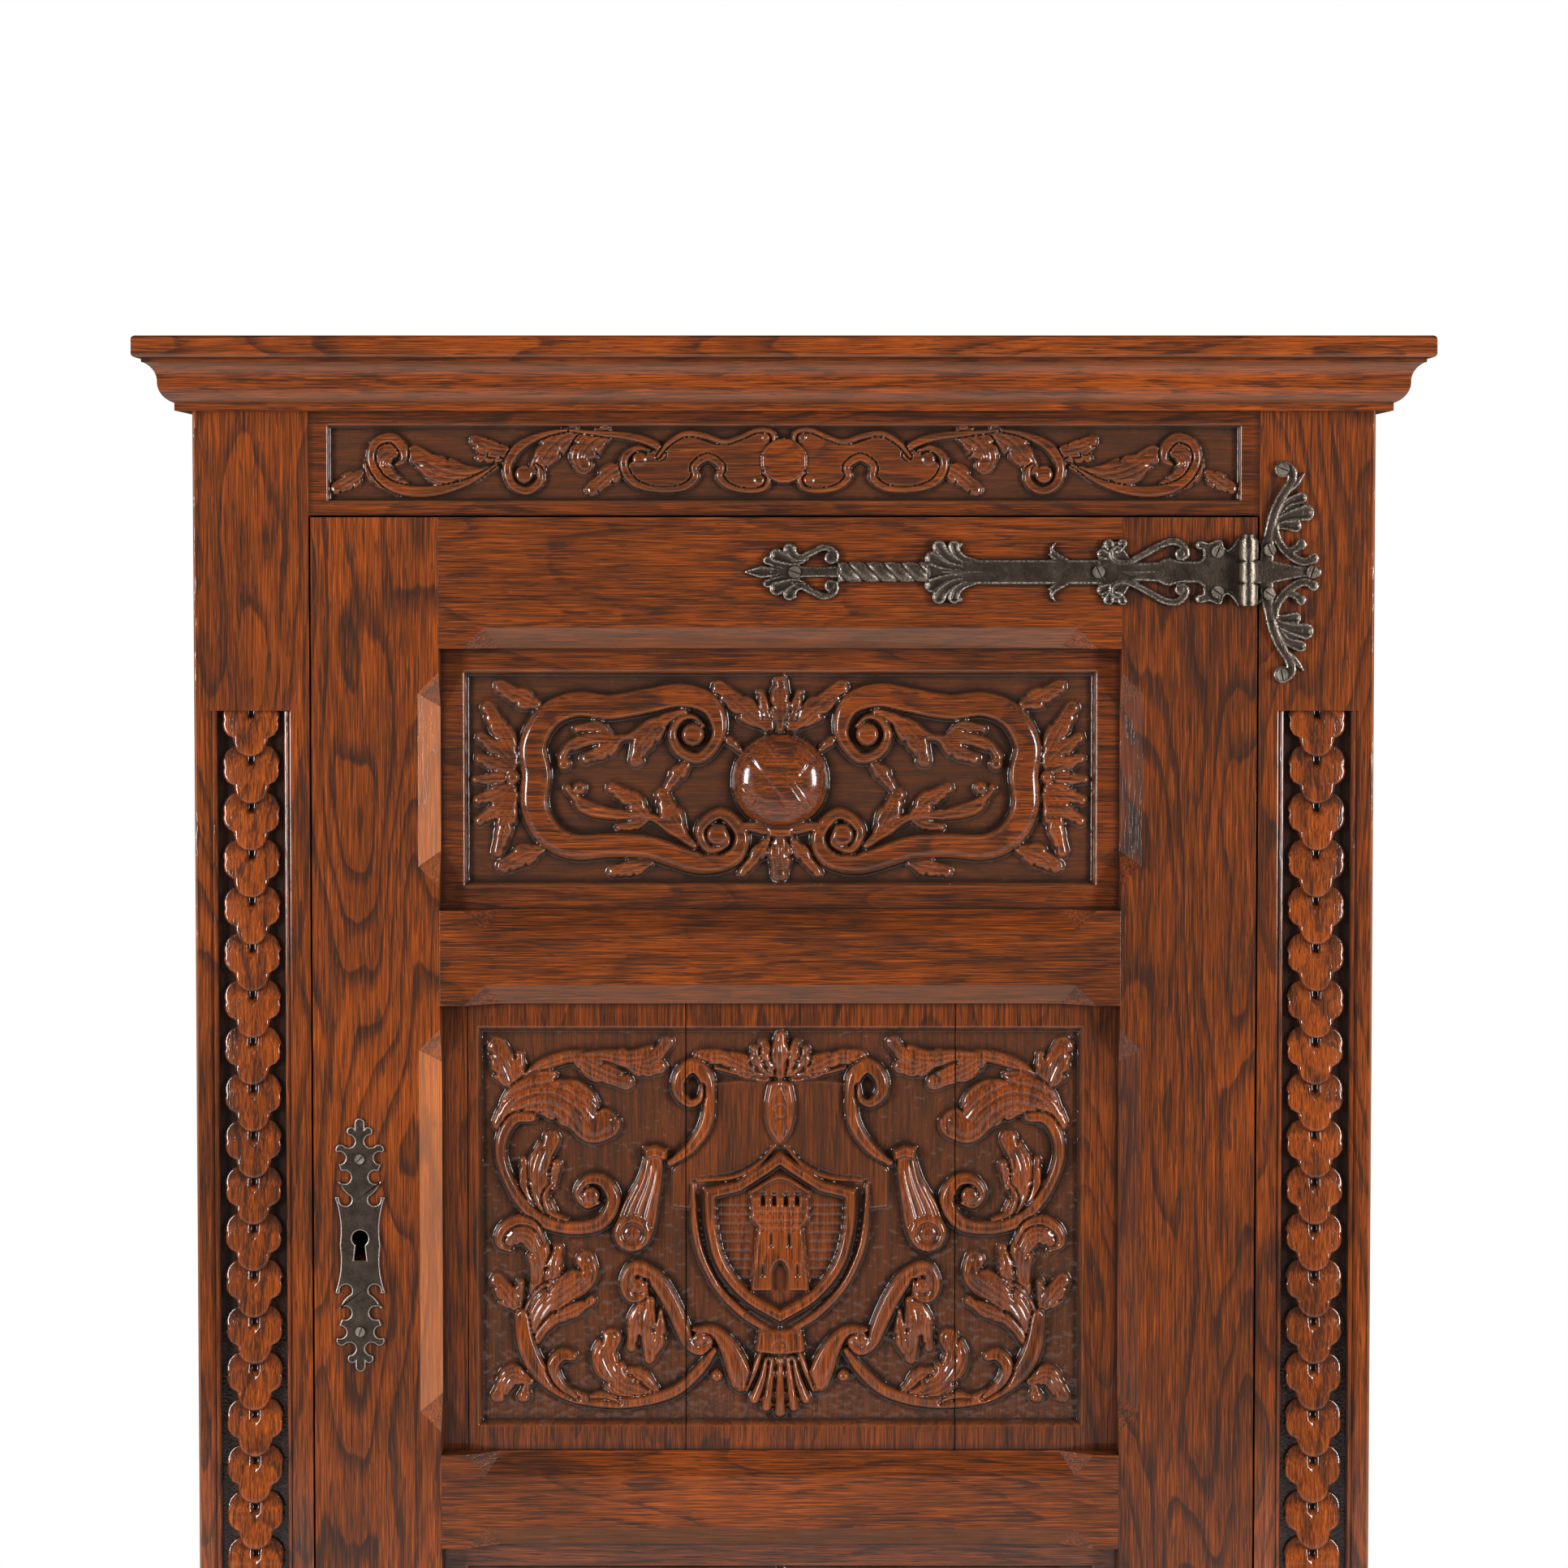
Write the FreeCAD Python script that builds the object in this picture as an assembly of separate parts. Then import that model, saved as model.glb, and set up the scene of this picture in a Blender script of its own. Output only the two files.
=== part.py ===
import FreeCAD, Part
import math
import os

os.makedirs("parts", exist_ok=True)

# A single-door oak bonnetiere: a tall joined cupboard with one framed door, a drawer and iron fittings.
# Millimetres. +X is right when facing the door, -Y is the front, +Z is up.
# The origin lies under the middle of the whole piece, on the floor.

# ---- Driving dimensions ----

# Carcase
body_width = 900.0
body_depth = 440.0
post_width = 88.0
post_depth = 60.0
back_post_size = 60.0
front_thickness = 35.0
side_thickness = 24.0
side_panel_thickness = 12.0
back_rail_thickness = 22.0
back_board_thickness = 10.0
back_rail_height = 70.0
back_board_count = 5

# Heights, from the floor up
foot_height = 90.0
base_rail_height = 120.0
drawer_opening_height = 190.0
drawer_rail_height = 50.0
frieze_height = 79.0
side_middle_rail_height = 60.0

# Joinery
tenon_thickness = 10.0
tenon_length = 34.0
tenon_shoulder = 8.0
joint_clearance = 0.2
groove_depth = 9.0
tongue_length = 8.0

# Cornice
cornice_reach = 38.4
cornice_board_thickness = 16.4
cornice_edge_radius = 3.0
cornice_quirk_height = 3.2
cornice_quirk_reach = 32.0
cornice_top_reach = 31.1
cornice_bottom_reach = 11.2
cornice_cyma_height = 29.8
cornice_fillet_height = 5.7

# Base moulding
base_reach = 22.0
base_block_height = 42.0
base_ovolo_height = 16.0
base_top_reach = 6.0
base_fillet_height = 4.0

# Feet
foot_radius = 45.0
foot_sole_radius = 27.0
foot_neck_radius = 25.0
foot_collar_radius = 36.0
foot_collar_height = 9.0
foot_pin_radius = 11.0
foot_pin_length = 32.0
foot_inset = 34.0

# Door
door_thickness = 34.0
door_gap = 1.6
closing_bevel = 1.5
lock_stile_width = 97.0
hinge_stile_width = 103.0
top_rail_height = 100.0
middle_rail_height = 73.0
small_panel_height = 200.5
large_panel_height = 347.0
door_tenon_length = 45.0
chamfer_width = 16.0
chamfer_depth = 13.5
chamfer_corner_gap = 18.0
chamfer_stop_face_length = 16.0
chamfer_stop_edge_length = 27.0

# Door panels
panel_thickness = 14.0
panel_set_back = 15.5
sunk_depth = 6.0
small_field_margin = 17.5
large_field_margin_side = 13.5
large_field_margin_end = 18.5
boss_radius = 35.0
boss_height = 15.0
panel_board_gap = 0.8
panel_first_board_width = 20.0
panel_second_board_width = 168.0
panel_third_board_width = 208.0

# Coat of arms on the large panel
shield_half_width = 56.0
shield_top_rise = 61.0
shield_shoulder_rise = 41.0
shield_foot_drop = 64.0
shield_height = 13.0
shield_field_inset = 0.84
shield_field_depth = 3.0

# Frieze carving bed
frieze_field_width = 694.6
frieze_field_height = 57.9
frieze_field_depth = 5.5
frieze_boss_radius = 17.0

# Scale chain on the front posts
chain_width = 62.0
chain_outer_margin = 11.5
chain_length = 799.6
chain_depth = 9.0
scale_pitch = 36.0
scale_gap = 1.0
scale_lobe_radius = 12.0
scale_half_width = 22.5
scale_root_height = 2.5

# Hinges
hinge_axis_inset = 8.0
hinge_axis_proud = 8.5
knuckle_radius = 7.4
knuckle_height = 17.0
knuckle_gap = 0.3
hinge_pin_radius = 3.0
hinge_pin_clearance = 0.05
hinge_pin_head_radius = 5.2
hinge_pin_head_height = 2.5
strap_drop = 41.5
strap_length = 380.8
strap_thickness = 4.4
strap_bar_half = 10.0
strap_twist_half = 8.0
strap_twist_thickness = 9.0
jamb_leaf_half = 84.0
jamb_leaf_reach = 53.0
jamb_curl_radius = 6.0
jamb_curl_x = 26.3
leaf_clearance = 0.5

# Screws
screw_head_radius = 4.6
screw_head_height = 1.8
screw_shank_radius = 2.0
screw_length = 17.0
screw_slot_width = 1.0
screw_slot_depth = 0.9
small_screw_head_radius = 3.7
small_screw_shank_radius = 1.5
small_screw_length = 13.0

# Lock
lock_edge_distance = 35.4
lock_drop = 10.4
lock_plate_half_height = 97.8
lock_plate_thickness = 2.2
keyhole_radius = 6.2
keyhole_rise = 5.2
keyhole_drop = 12.2
keyhole_neck_width = 5.6
keyhole_foot_width = 9.4
keyhole_wood_margin = 1.5
lock_case_width = 68.0
lock_case_height = 92.0
lock_case_depth = 18.0
lock_case_wall = 1.6
lock_edge_set_back = 2.2
bolt_height = 20.0
bolt_thickness = 8.0
bolt_length = 52.0
bolt_rise = 20.0
bolt_clearance = 0.4
bolt_throw = 10.0
keeper_thickness = 1.6
keeper_height = 64.0
keeper_depth = 20.0
keeper_screw_rise = 25.0
pocket_depth = 14.0
spring_thickness = 0.8

# Inside
floor_thickness = 20.0
floor_rise = 12.0
shelf_thickness = 18.0
shelf_count = 3
shelf_front_set_back = 68.0
cleat_width = 15.0
cleat_height = 24.0
stop_width = 16.0
stop_drop = 14.0
bottom_board_thickness = 14.0
runner_width = 60.0
runner_height = 20.0
guide_height = 22.0
slide_clearance = 0.8

# Drawer
drawer_front_thickness = 24.0
drawer_side_thickness = 12.0
drawer_side_inset = 1.4
drawer_side_height = 150.0
drawer_depth = 370.0
drawer_bottom_thickness = 8.0
drawer_bottom_rise = 9.0
drawer_joint_depth = 8.0
drawer_field_width = 380.0
drawer_field_height = 92.0
drawer_field_depth = 5.5

# Drop pulls
pull_inset = 100.4
pull_rise = 14.0
pull_plate_radius = 24.0
pull_plate_thickness = 2.6
pull_lug_spacing = 9.0
pull_lug_thickness = 3.0
pull_lug_radius = 5.0
pull_pin_radius = 1.6
pull_pin_proud = 9.0
pull_drop_length = 46.0
pull_drop_radius = 8.5
pull_tip_radius = 2.5
pull_stem_radius = 3.0

# ---- Sizes that follow ----

front_y = (cornice_reach - body_depth) / 2
back_y = front_y + body_depth
half_width = body_width / 2
opening_half = half_width - post_width
back_post_inner = half_width - back_post_size
side_inner = half_width - side_thickness
side_length_start = front_y + post_depth
side_length_end = back_y - back_post_size

base_rail_top = foot_height + base_rail_height
drawer_rail_bottom = base_rail_top + drawer_opening_height
door_opening_bottom = drawer_rail_bottom + drawer_rail_height
door_bottom = door_opening_bottom + door_gap
door_height = 2 * top_rail_height + 2 * middle_rail_height + 2 * small_panel_height + large_panel_height
door_top = door_bottom + door_height
frieze_bottom = door_top + door_gap
frieze_top = frieze_bottom + frieze_height
cornice_moulding_height = cornice_quirk_height + cornice_cyma_height + cornice_fillet_height
carcase_top = frieze_top + cornice_moulding_height
total_height = carcase_top + cornice_board_thickness
door_middle = (door_bottom + door_top) / 2

door_left = -opening_half + door_gap
door_right = opening_half - door_gap
panel_left = door_left + lock_stile_width
panel_right = door_right - hinge_stile_width
panel_middle = (panel_left + panel_right) / 2
panel_face = front_y + panel_set_back
door_back = front_y + door_thickness

upper_panel_top = door_top - top_rail_height
upper_panel_bottom = upper_panel_top - small_panel_height
middle_panel_top = upper_panel_bottom - middle_rail_height
middle_panel_bottom = middle_panel_top - large_panel_height
lower_panel_top = middle_panel_bottom - middle_rail_height
lower_panel_bottom = lower_panel_top - small_panel_height

hinge_axis_x = door_right - hinge_axis_inset
hinge_axis_y = front_y - hinge_axis_proud
hinge_levels = (door_top - strap_drop, door_bottom + strap_drop)
knuckle_half = 1.5 * knuckle_height

lock_x = door_left + lock_edge_distance
lock_z = door_middle - lock_drop
keyhole_z = lock_z + keyhole_rise
lock_case_left = door_left + lock_edge_set_back
lock_case_back = door_back + lock_case_depth
bolt_z = keyhole_z + bolt_rise
bolt_y = door_back + lock_case_depth / 2

drawer_half = opening_half - door_gap
drawer_bottom_z = base_rail_top + door_gap
drawer_top_z = drawer_rail_bottom - door_gap
drawer_side_outer = drawer_half - drawer_side_inset
drawer_side_bottom = base_rail_top + slide_clearance
drawer_back_y = front_y + drawer_depth
drawer_middle_z = (drawer_bottom_z + drawer_top_z) / 2


# ---- Shape helpers ----

def point(x, y, z):
    return FreeCAD.Vector(x, y, z)


def block(x0, x1, y0, y1, z0, z1):
    """A box between two corners."""
    return Part.makeBox(x1 - x0, y1 - y0, z1 - z0, point(x0, y0, z0))


def rod(start, radius, length, direction):
    """A cylinder that runs from start along direction."""
    return Part.makeCylinder(radius, length, point(*start), point(*direction))


def joined(solids):
    """One solid from pieces that meet or overlap."""
    return solids[0].multiFuse(solids[1:]).removeSplitter() if len(solids) > 1 else solids[0]


def cut_away(solid, tools):
    """The solid with every tool taken out of it."""
    return solid.cut(Part.makeCompound(tools)) if tools else solid


def edges_through(start, steps, place):
    """Edges from start through steps: a pair is a straight run, two pairs are an arc by its middle and end."""
    edges = []
    here = place(start)
    for step in steps:
        if isinstance(step[0], tuple):
            end = place(step[1])
            edges.append(Part.Arc(here, place(step[0]), end).toShape())
        else:
            end = place(step)
            edges.append(Part.LineSegment(here, end).toShape())
        here = end
    return edges


def plate(start, steps, y_front, y_back):
    """An outline in X and Z, made solid from y_front to y_back."""
    edges = edges_through(start, steps, lambda p: point(p[0], y_front, p[1]))
    return Part.Face(Part.Wire(edges)).extrude(point(0, y_back - y_front, 0))


def polygon_plate(points, y_front, y_back):
    """A straight-sided outline in X and Z, made solid from y_front to y_back."""
    return plate(points[0], points[1:] + [points[0]], y_front, y_back)


def side_prism(points, x0, x1):
    """A straight-sided outline in Y and Z, made solid from x0 to x1."""
    wire = Part.makePolygon([point(x0, y, z) for y, z in points + [points[0]]])
    return Part.Face(wire).extrude(point(x1 - x0, 0, 0))


def disc(x, z, radius, y_front, y_back):
    """A round plate standing on a front-facing surface."""
    return rod((x, y_front, z), radius, y_back - y_front, (0, 1, 0))


def link(a, b, width, y_front, y_back):
    """A round-ended bar between two points of a front-facing surface."""
    run = math.hypot(b[0] - a[0], b[1] - a[1])
    bar = Part.makeBox(run, y_back - y_front, width, point(0, y_front, -width / 2))
    bar.rotate(point(0, 0, 0), point(0, 1, 0), -math.degrees(math.atan2(b[1] - a[1], b[0] - a[0])))
    bar.translate(point(a[0], 0, a[1]))
    ends = [disc(x, z, width / 2, y_front, y_back) for x, z in (a, b)]
    return joined([bar] + ends)


def chain_of_links(points, width, y_front, y_back):
    """Links through a row of points."""
    return [link(a, b, width, y_front, y_back) for a, b in zip(points, points[1:])]


def mirrored_x(shape, x=0.0):
    """The shape seen in a mirror that stands across X."""
    return shape.mirror(point(x, 0, 0), point(1, 0, 0))


def mirrored_z(shape, z):
    """The shape turned upside down in a level mirror."""
    return shape.mirror(point(0, 0, z), point(0, 0, 1))


def revolved(start, steps, x, y):
    """A profile of radius and height, turned about an upright axis at x and y."""
    edges = edges_through(start, steps, lambda p: point(x + p[0], y, p[1]))
    return Part.Face(Part.Wire(edges)).revolve(point(x, y, 0), point(0, 0, 1), 360)


def polyhedron(corners, faces):
    """A flat-faced solid from its corners and the corner numbers of each face."""
    skins = [Part.Face(Part.makePolygon([corners[i] for i in face + face[:1]])) for face in faces]
    solid = Part.Solid(Part.Shell(skins))
    if solid.Volume < 0:
        solid.reverse()
    return solid


def screw(x, y, z, direction, turn, head, shank, length):
    """A slotted wood screw whose head stands on the surface at y and whose shank runs along direction."""
    axis = point(0, direction, 0)
    body = rod((x, y, z), shank, length, (0, direction, 0))
    cap = rod((x, y, z), head, screw_head_height, (0, -direction, 0))
    top = y - direction * screw_head_height
    slot_y = min(top, top + direction * screw_slot_depth)
    slot = block(x - head, x + head, slot_y, slot_y + screw_slot_depth,
                 z - screw_slot_width / 2, z + screw_slot_width / 2)
    slot.rotate(point(x, y, z), axis, turn)
    return joined([cap, body]).cut(slot)


def screw_hole(x, y, z, direction, shank, length):
    """The hole that a screw of that size fills."""
    reach = length + joint_clearance
    return rod((x, y, z), shank + joint_clearance, reach, (0, direction, 0))


def save(name, solids):
    """Write one node, from one solid or several that stay apart."""
    shape = solids if isinstance(solids, Part.Shape) else Part.makeCompound(solids)
    for solid in shape.Solids:
        if not solid.isValid() or solid.Volume <= 0:
            raise ValueError(name + " holds a bad solid")
    shape.exportStep("parts/" + name + ".step")


# ---- Joinery ----

def end_tenons(x0, x1, z0, z1, y_middle, length, thickness, shoulder):
    """The two tenons of a level rail, one past each end."""
    y0 = y_middle - thickness / 2
    y1 = y_middle + thickness / 2
    left = block(x0 - length, x0, y0, y1, z0 + shoulder, z1 - shoulder)
    right = block(x1, x1 + length, y0, y1, z0 + shoulder, z1 - shoulder)
    return [left, right]


def grown(solid, by):
    """A box a little larger than the box that holds the solid."""
    b = solid.BoundBox
    return block(b.XMin - by, b.XMax + by, b.YMin - by, b.YMax + by, b.ZMin - by, b.ZMax + by)


def mortises(tenons):
    """The holes that tenons fill."""
    return [grown(tenon, joint_clearance) for tenon in tenons]


front_tenon_y = front_y + front_thickness / 2
front_rail_spans = {
    "frieze_rail": (frieze_bottom, carcase_top),
    "drawer_rail": (drawer_rail_bottom, door_opening_bottom),
    "base_rail": (foot_height, base_rail_top),
}


def front_tenons(name):
    z0, z1 = front_rail_spans[name]
    return end_tenons(-opening_half, opening_half, z0, z1, front_tenon_y,
                      tenon_length, tenon_thickness, tenon_shoulder)


side_rail_spans = [
    (foot_height, base_rail_top),
    (drawer_rail_bottom, door_opening_bottom),
    (door_middle - side_middle_rail_height / 2, door_middle + side_middle_rail_height / 2),
    (frieze_bottom, carcase_top),
]


def side_tenons():
    """Tenons of the right-hand side rails, into the front and back posts."""
    tenons = []
    x0 = half_width - side_thickness / 2 - tenon_thickness / 2
    x1 = x0 + tenon_thickness
    for z0, z1 in side_rail_spans:
        for y0, y1 in ((side_length_start - tenon_length * 0.7, side_length_start),
                       (side_length_end, side_length_end + tenon_length * 0.7)):
            tenons.append(block(x0, x1, y0, y1, z0 + tenon_shoulder, z1 - tenon_shoulder))
    return tenons


back_rail_spans = [
    (foot_height, foot_height + back_rail_height),
    (door_middle - back_rail_height / 2, door_middle + back_rail_height / 2),
    (carcase_top - back_rail_height, carcase_top),
]


def back_tenons():
    """Tenons of the back rails, into the back posts."""
    tenons = []
    for z0, z1 in back_rail_spans:
        tenons += end_tenons(-back_post_inner, back_post_inner, z0, z1, back_y - back_rail_thickness / 2,
                             tenon_length * 0.7, tenon_thickness, tenon_shoulder)
    return tenons


side_panel_x0 = half_width - side_thickness / 2 - side_panel_thickness / 2
side_panel_x1 = side_panel_x0 + side_panel_thickness


def side_panel_groove(y0, y1, z0, z1):
    """The groove that holds the right-hand side panels, cut where it runs through one piece."""
    return block(side_panel_x0 - joint_clearance, side_panel_x1 + joint_clearance, y0, y1, z0, z1)


# ---- Feet ----

foot_centers = {
    corner + "_" + hand: (side * (half_width - foot_inset), y)
    for hand, side in (("left", -1), ("right", 1))
    for corner, y in (("front", front_y + foot_inset), ("back", back_y - foot_radius))
}


def bun_foot(x, y):
    """A ball on a small flat sole, with a neck, a collar and a pin that goes up into its post."""
    collar_bottom = foot_height - foot_collar_height
    ball_center = math.sqrt(foot_radius ** 2 - foot_sole_radius ** 2)
    swell = (foot_radius, ball_center)
    neck = (foot_neck_radius, ball_center + math.sqrt(foot_radius ** 2 - foot_neck_radius ** 2))
    steps = [
        (foot_sole_radius, 0),
        (swell, neck),
        (foot_neck_radius, collar_bottom),
        (foot_collar_radius, collar_bottom),
        (foot_collar_radius, foot_height),
        (foot_pin_radius, foot_height),
        (foot_pin_radius, foot_height + foot_pin_length),
        (0, foot_height + foot_pin_length),
        (0, 0),
    ]
    return revolved((0, 0), steps, x, y)


def foot_sockets():
    """The holes for the pins of the feet."""
    depth = foot_pin_length + joint_clearance
    return [rod((x, y, foot_height), foot_pin_radius + joint_clearance, depth, (0, 0, 1))
            for x, y in foot_centers.values()]


for foot_place, (foot_x, foot_y) in foot_centers.items():
    save("bun_foot_" + foot_place, bun_foot(foot_x, foot_y))


# ---- Scale chain ----

chain_center = half_width - chain_outer_margin - chain_width / 2
chain_top = door_middle + chain_length / 2
chain_bottom = door_middle - chain_length / 2
scale_count = int(chain_length / scale_pitch)
scale_start = door_middle + scale_count * scale_pitch / 2


def scale_outline(x, top):
    """A three-lobed leaf that hangs from top."""
    shoulder = top - scale_pitch * 0.42
    tip = top - scale_pitch + scale_gap + scale_lobe_radius
    lobe_x = scale_half_width - scale_lobe_radius
    ground = front_y + chain_depth
    lobes = [disc(x + side * lobe_x, shoulder, scale_lobe_radius, front_y, ground) for side in (-1, 1)]
    lobes.append(disc(x, tip, scale_lobe_radius, front_y, ground))
    lobes.append(block(x - lobe_x, x + lobe_x, front_y, ground, tip, shoulder + scale_lobe_radius))
    return joined(lobes)


def scale(x, top):
    """One scale: it leans out of the channel, low at its root and level with the post at its tip."""
    bottom = top - scale_pitch
    ground = front_y + chain_depth
    wedge = side_prism([(ground, top), (ground, bottom), (front_y, bottom), (ground - scale_root_height, top)],
                       x - scale_half_width, x + scale_half_width)
    return scale_outline(x, top).common(wedge)


def scale_chain(x):
    """The row of scales down one post."""
    first = scale(x, scale_start)
    copies = []
    for i in range(scale_count):
        copy = first.copy()
        copy.translate(point(0, 0, -i * scale_pitch))
        copies.append(copy)
    return copies


# ---- Posts ----

def keeper_tools():
    """What the lock keeper and the thrown bolt take out of the left front post."""
    half_depth = keeper_depth / 2
    seat = block(-opening_half - keeper_thickness, -opening_half, bolt_y - half_depth, bolt_y + half_depth,
                 bolt_z - keeper_height / 2, bolt_z + keeper_height / 2)
    pocket = block(-opening_half - pocket_depth, -opening_half, bolt_y - bolt_thickness / 2 - 2 * bolt_clearance,
                   bolt_y + bolt_thickness / 2 + 2 * bolt_clearance, bolt_z - bolt_height / 2 - 2 * bolt_clearance,
                   bolt_z + bolt_height / 2 + 2 * bolt_clearance)
    return [seat, pocket] + [
        rod((-opening_half, bolt_y, z), small_screw_shank_radius + joint_clearance,
            small_screw_length + joint_clearance, (-1, 0, 0))
        for z in (bolt_z - keeper_screw_rise, bolt_z + keeper_screw_rise)
    ]


jamb_curl_z = jamb_leaf_half - jamb_curl_radius
jamb_screw_places = [
    (hinge_axis_x + jamb_curl_x, jamb_curl_z),
    (hinge_axis_x + 16.5, 16.8),
    (hinge_axis_x + 49.0, 0.0),
    (hinge_axis_x + 16.5, -16.8),
    (hinge_axis_x + jamb_curl_x, -jamb_curl_z),
]


def jamb_screw_holes():
    return [
        screw_hole(x, front_y, level + z, 1, screw_shank_radius, screw_length - strap_thickness)
        for level in hinge_levels for x, z in jamb_screw_places
    ]


def front_post(side):
    """A front post with its carved channel, mortises and side groove. side is -1 for left and 1 for right."""
    post = block(opening_half, half_width, front_y, front_y + post_depth, foot_height, carcase_top)
    channel = block(chain_center - chain_width / 2, chain_center + chain_width / 2,
                    front_y, front_y + chain_depth, chain_bottom, chain_top)
    groove = side_panel_groove(side_length_start - groove_depth, side_length_start,
                               base_rail_top - groove_depth, frieze_bottom + groove_depth)
    front_ends = [front_tenons(name)[1] for name in front_rail_spans]
    tools = [channel, groove] + mortises(front_ends + side_tenons()) + foot_sockets()
    post = joined([cut_away(post, tools)] + scale_chain(chain_center))
    if side < 0:
        post = cut_away(mirrored_x(post), keeper_tools())
    else:
        post = cut_away(post, jamb_screw_holes())
    return post


def back_post(side):
    """A back post with its mortises and side groove."""
    post = block(back_post_inner, half_width, back_y - back_post_size, back_y, foot_height, carcase_top)
    groove = side_panel_groove(side_length_end, side_length_end + groove_depth,
                               base_rail_top - groove_depth, frieze_bottom + groove_depth)
    board_groove = block(back_post_inner, back_post_inner + groove_depth, back_board_y0 - joint_clearance,
                         back_board_y1 + joint_clearance, foot_height + back_rail_height - groove_depth,
                         carcase_top - back_rail_height + groove_depth)
    post = cut_away(post, [groove, board_groove] + mortises(side_tenons() + back_tenons()[1::2]) + foot_sockets())
    return mirrored_x(post) if side < 0 else post


back_board_y0 = back_y - (back_rail_thickness + back_board_thickness) / 2
back_board_y1 = back_board_y0 + back_board_thickness

save("front_post_left", front_post(-1))
save("front_post_right", front_post(1))
save("back_post_left", back_post(-1))
save("back_post_right", back_post(1))


# ---- Front rails ----

def carving_bed(x, z, width, height, depth):
    """The shallow sunk field that a carving stands in."""
    return block(x - width / 2, x + width / 2, front_y, front_y + depth, z - height / 2, z + height / 2)


def front_rail(name, extra):
    z0, z1 = front_rail_spans[name]
    rail = block(-opening_half, opening_half, front_y, front_y + front_thickness, z0, z1)
    return cut_away(joined([rail] + front_tenons(name)), extra)


frieze_middle_z = frieze_bottom + frieze_height / 2
frieze_ground = front_y + frieze_field_depth
frieze_boss = disc(0, frieze_middle_z, frieze_boss_radius, front_y, frieze_ground)
frieze_bed = carving_bed(0, frieze_middle_z, frieze_field_width, frieze_field_height, frieze_field_depth)
save("frieze_rail", joined([front_rail("frieze_rail", [frieze_bed]), frieze_boss]))
save("drawer_rail", front_rail("drawer_rail", []))
save("base_rail", front_rail("base_rail", []))


# ---- Sides ----

def side_rails():
    """The right-hand side rails, with tenons and the grooves for the panels."""
    rails = []
    tenons = side_tenons()
    for i, (z0, z1) in enumerate(side_rail_spans):
        rail = block(side_inner, half_width, side_length_start, side_length_end, z0, z1)
        rail = joined([rail] + tenons[2 * i:2 * i + 2])
        grooves = []
        if i > 0:
            grooves.append(side_panel_groove(side_length_start - tenon_length, side_length_end + tenon_length,
                                             z0, z0 + groove_depth))
        if i < len(side_rail_spans) - 1:
            grooves.append(side_panel_groove(side_length_start - tenon_length, side_length_end + tenon_length,
                                             z1 - groove_depth, z1))
        rails.append(cut_away(rail, grooves))
    return rails


def side_panels():
    """The right-hand side panels, loose in their grooves."""
    panels = []
    for (_, z0), (z1, _) in zip(side_rail_spans, side_rail_spans[1:]):
        panels.append(block(side_panel_x0, side_panel_x1, side_length_start - tongue_length,
                            side_length_end + tongue_length, z0 - tongue_length, z1 + tongue_length))
    return panels


save("side_rails_right", side_rails())
save("side_rails_left", [mirrored_x(rail) for rail in side_rails()])
save("side_panels_right", side_panels())
save("side_panels_left", [mirrored_x(panel) for panel in side_panels()])


# ---- Back ----

def back_rails():
    rails = []
    tenons = back_tenons()
    for i, (z0, z1) in enumerate(back_rail_spans):
        rail = block(-back_post_inner, back_post_inner, back_y - back_rail_thickness, back_y, z0, z1)
        rail = joined([rail] + tenons[2 * i:2 * i + 2])
        slots = []
        if i > 0:
            slots.append((z0, z0 + groove_depth))
        if i < len(back_rail_spans) - 1:
            slots.append((z1 - groove_depth, z1))
        grooves = [
            block(-back_post_inner, back_post_inner, back_board_y0 - joint_clearance,
                  back_board_y1 + joint_clearance, s0, s1)
            for s0, s1 in slots
        ]
        rails.append(cut_away(rail, grooves))
    return rails


def back_boards():
    """Upright boards between the back rails, with a hairline gap between neighbours."""
    boards = []
    left = -back_post_inner - tongue_length
    pitch = (2 * (back_post_inner + tongue_length) + panel_board_gap) / back_board_count
    for (_, z0), (z1, _) in zip(back_rail_spans, back_rail_spans[1:]):
        for i in range(back_board_count):
            x0 = left + i * pitch
            boards.append(block(x0, x0 + pitch - panel_board_gap, back_board_y0, back_board_y1,
                                z0 - tongue_length, z1 + tongue_length))
    return boards


save("back_rails", back_rails())
save("back_boards", back_boards())


# ---- Cornice and base moulding ----

def wrapped_moulding(start, steps, reach):
    """A moulding round the front and both sides, mitred at the front corners.
    The profile gives how far it stands out from the carcase, and its height."""
    long_reach = reach + 1
    front_face = Part.Face(Part.Wire(edges_through(start, steps, lambda p: point(0, front_y - p[0], p[1]))))
    front = front_face.extrude(point(half_width + long_reach, 0, 0))
    front = joined([front, mirrored_x(front)])
    side_face = Part.Face(Part.Wire(edges_through(start, steps, lambda p: point(half_width + p[0], back_y, p[1]))))
    side = side_face.extrude(point(0, front_y - back_y - long_reach, 0))
    z0 = side.BoundBox.ZMin - 1
    height = side.BoundBox.ZMax + 1 - z0
    corners = [(-half_width, front_y), (-half_width - long_reach, front_y - long_reach),
               (half_width + long_reach, front_y - long_reach), (half_width, front_y)]
    wire = Part.makePolygon([point(x, y, z0) for x, y in corners + corners[:1]])
    wedge = Part.Face(wire).extrude(point(0, 0, height))
    right = side.cut(wedge)
    return [front.common(wedge), right, mirrored_x(right)]


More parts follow.
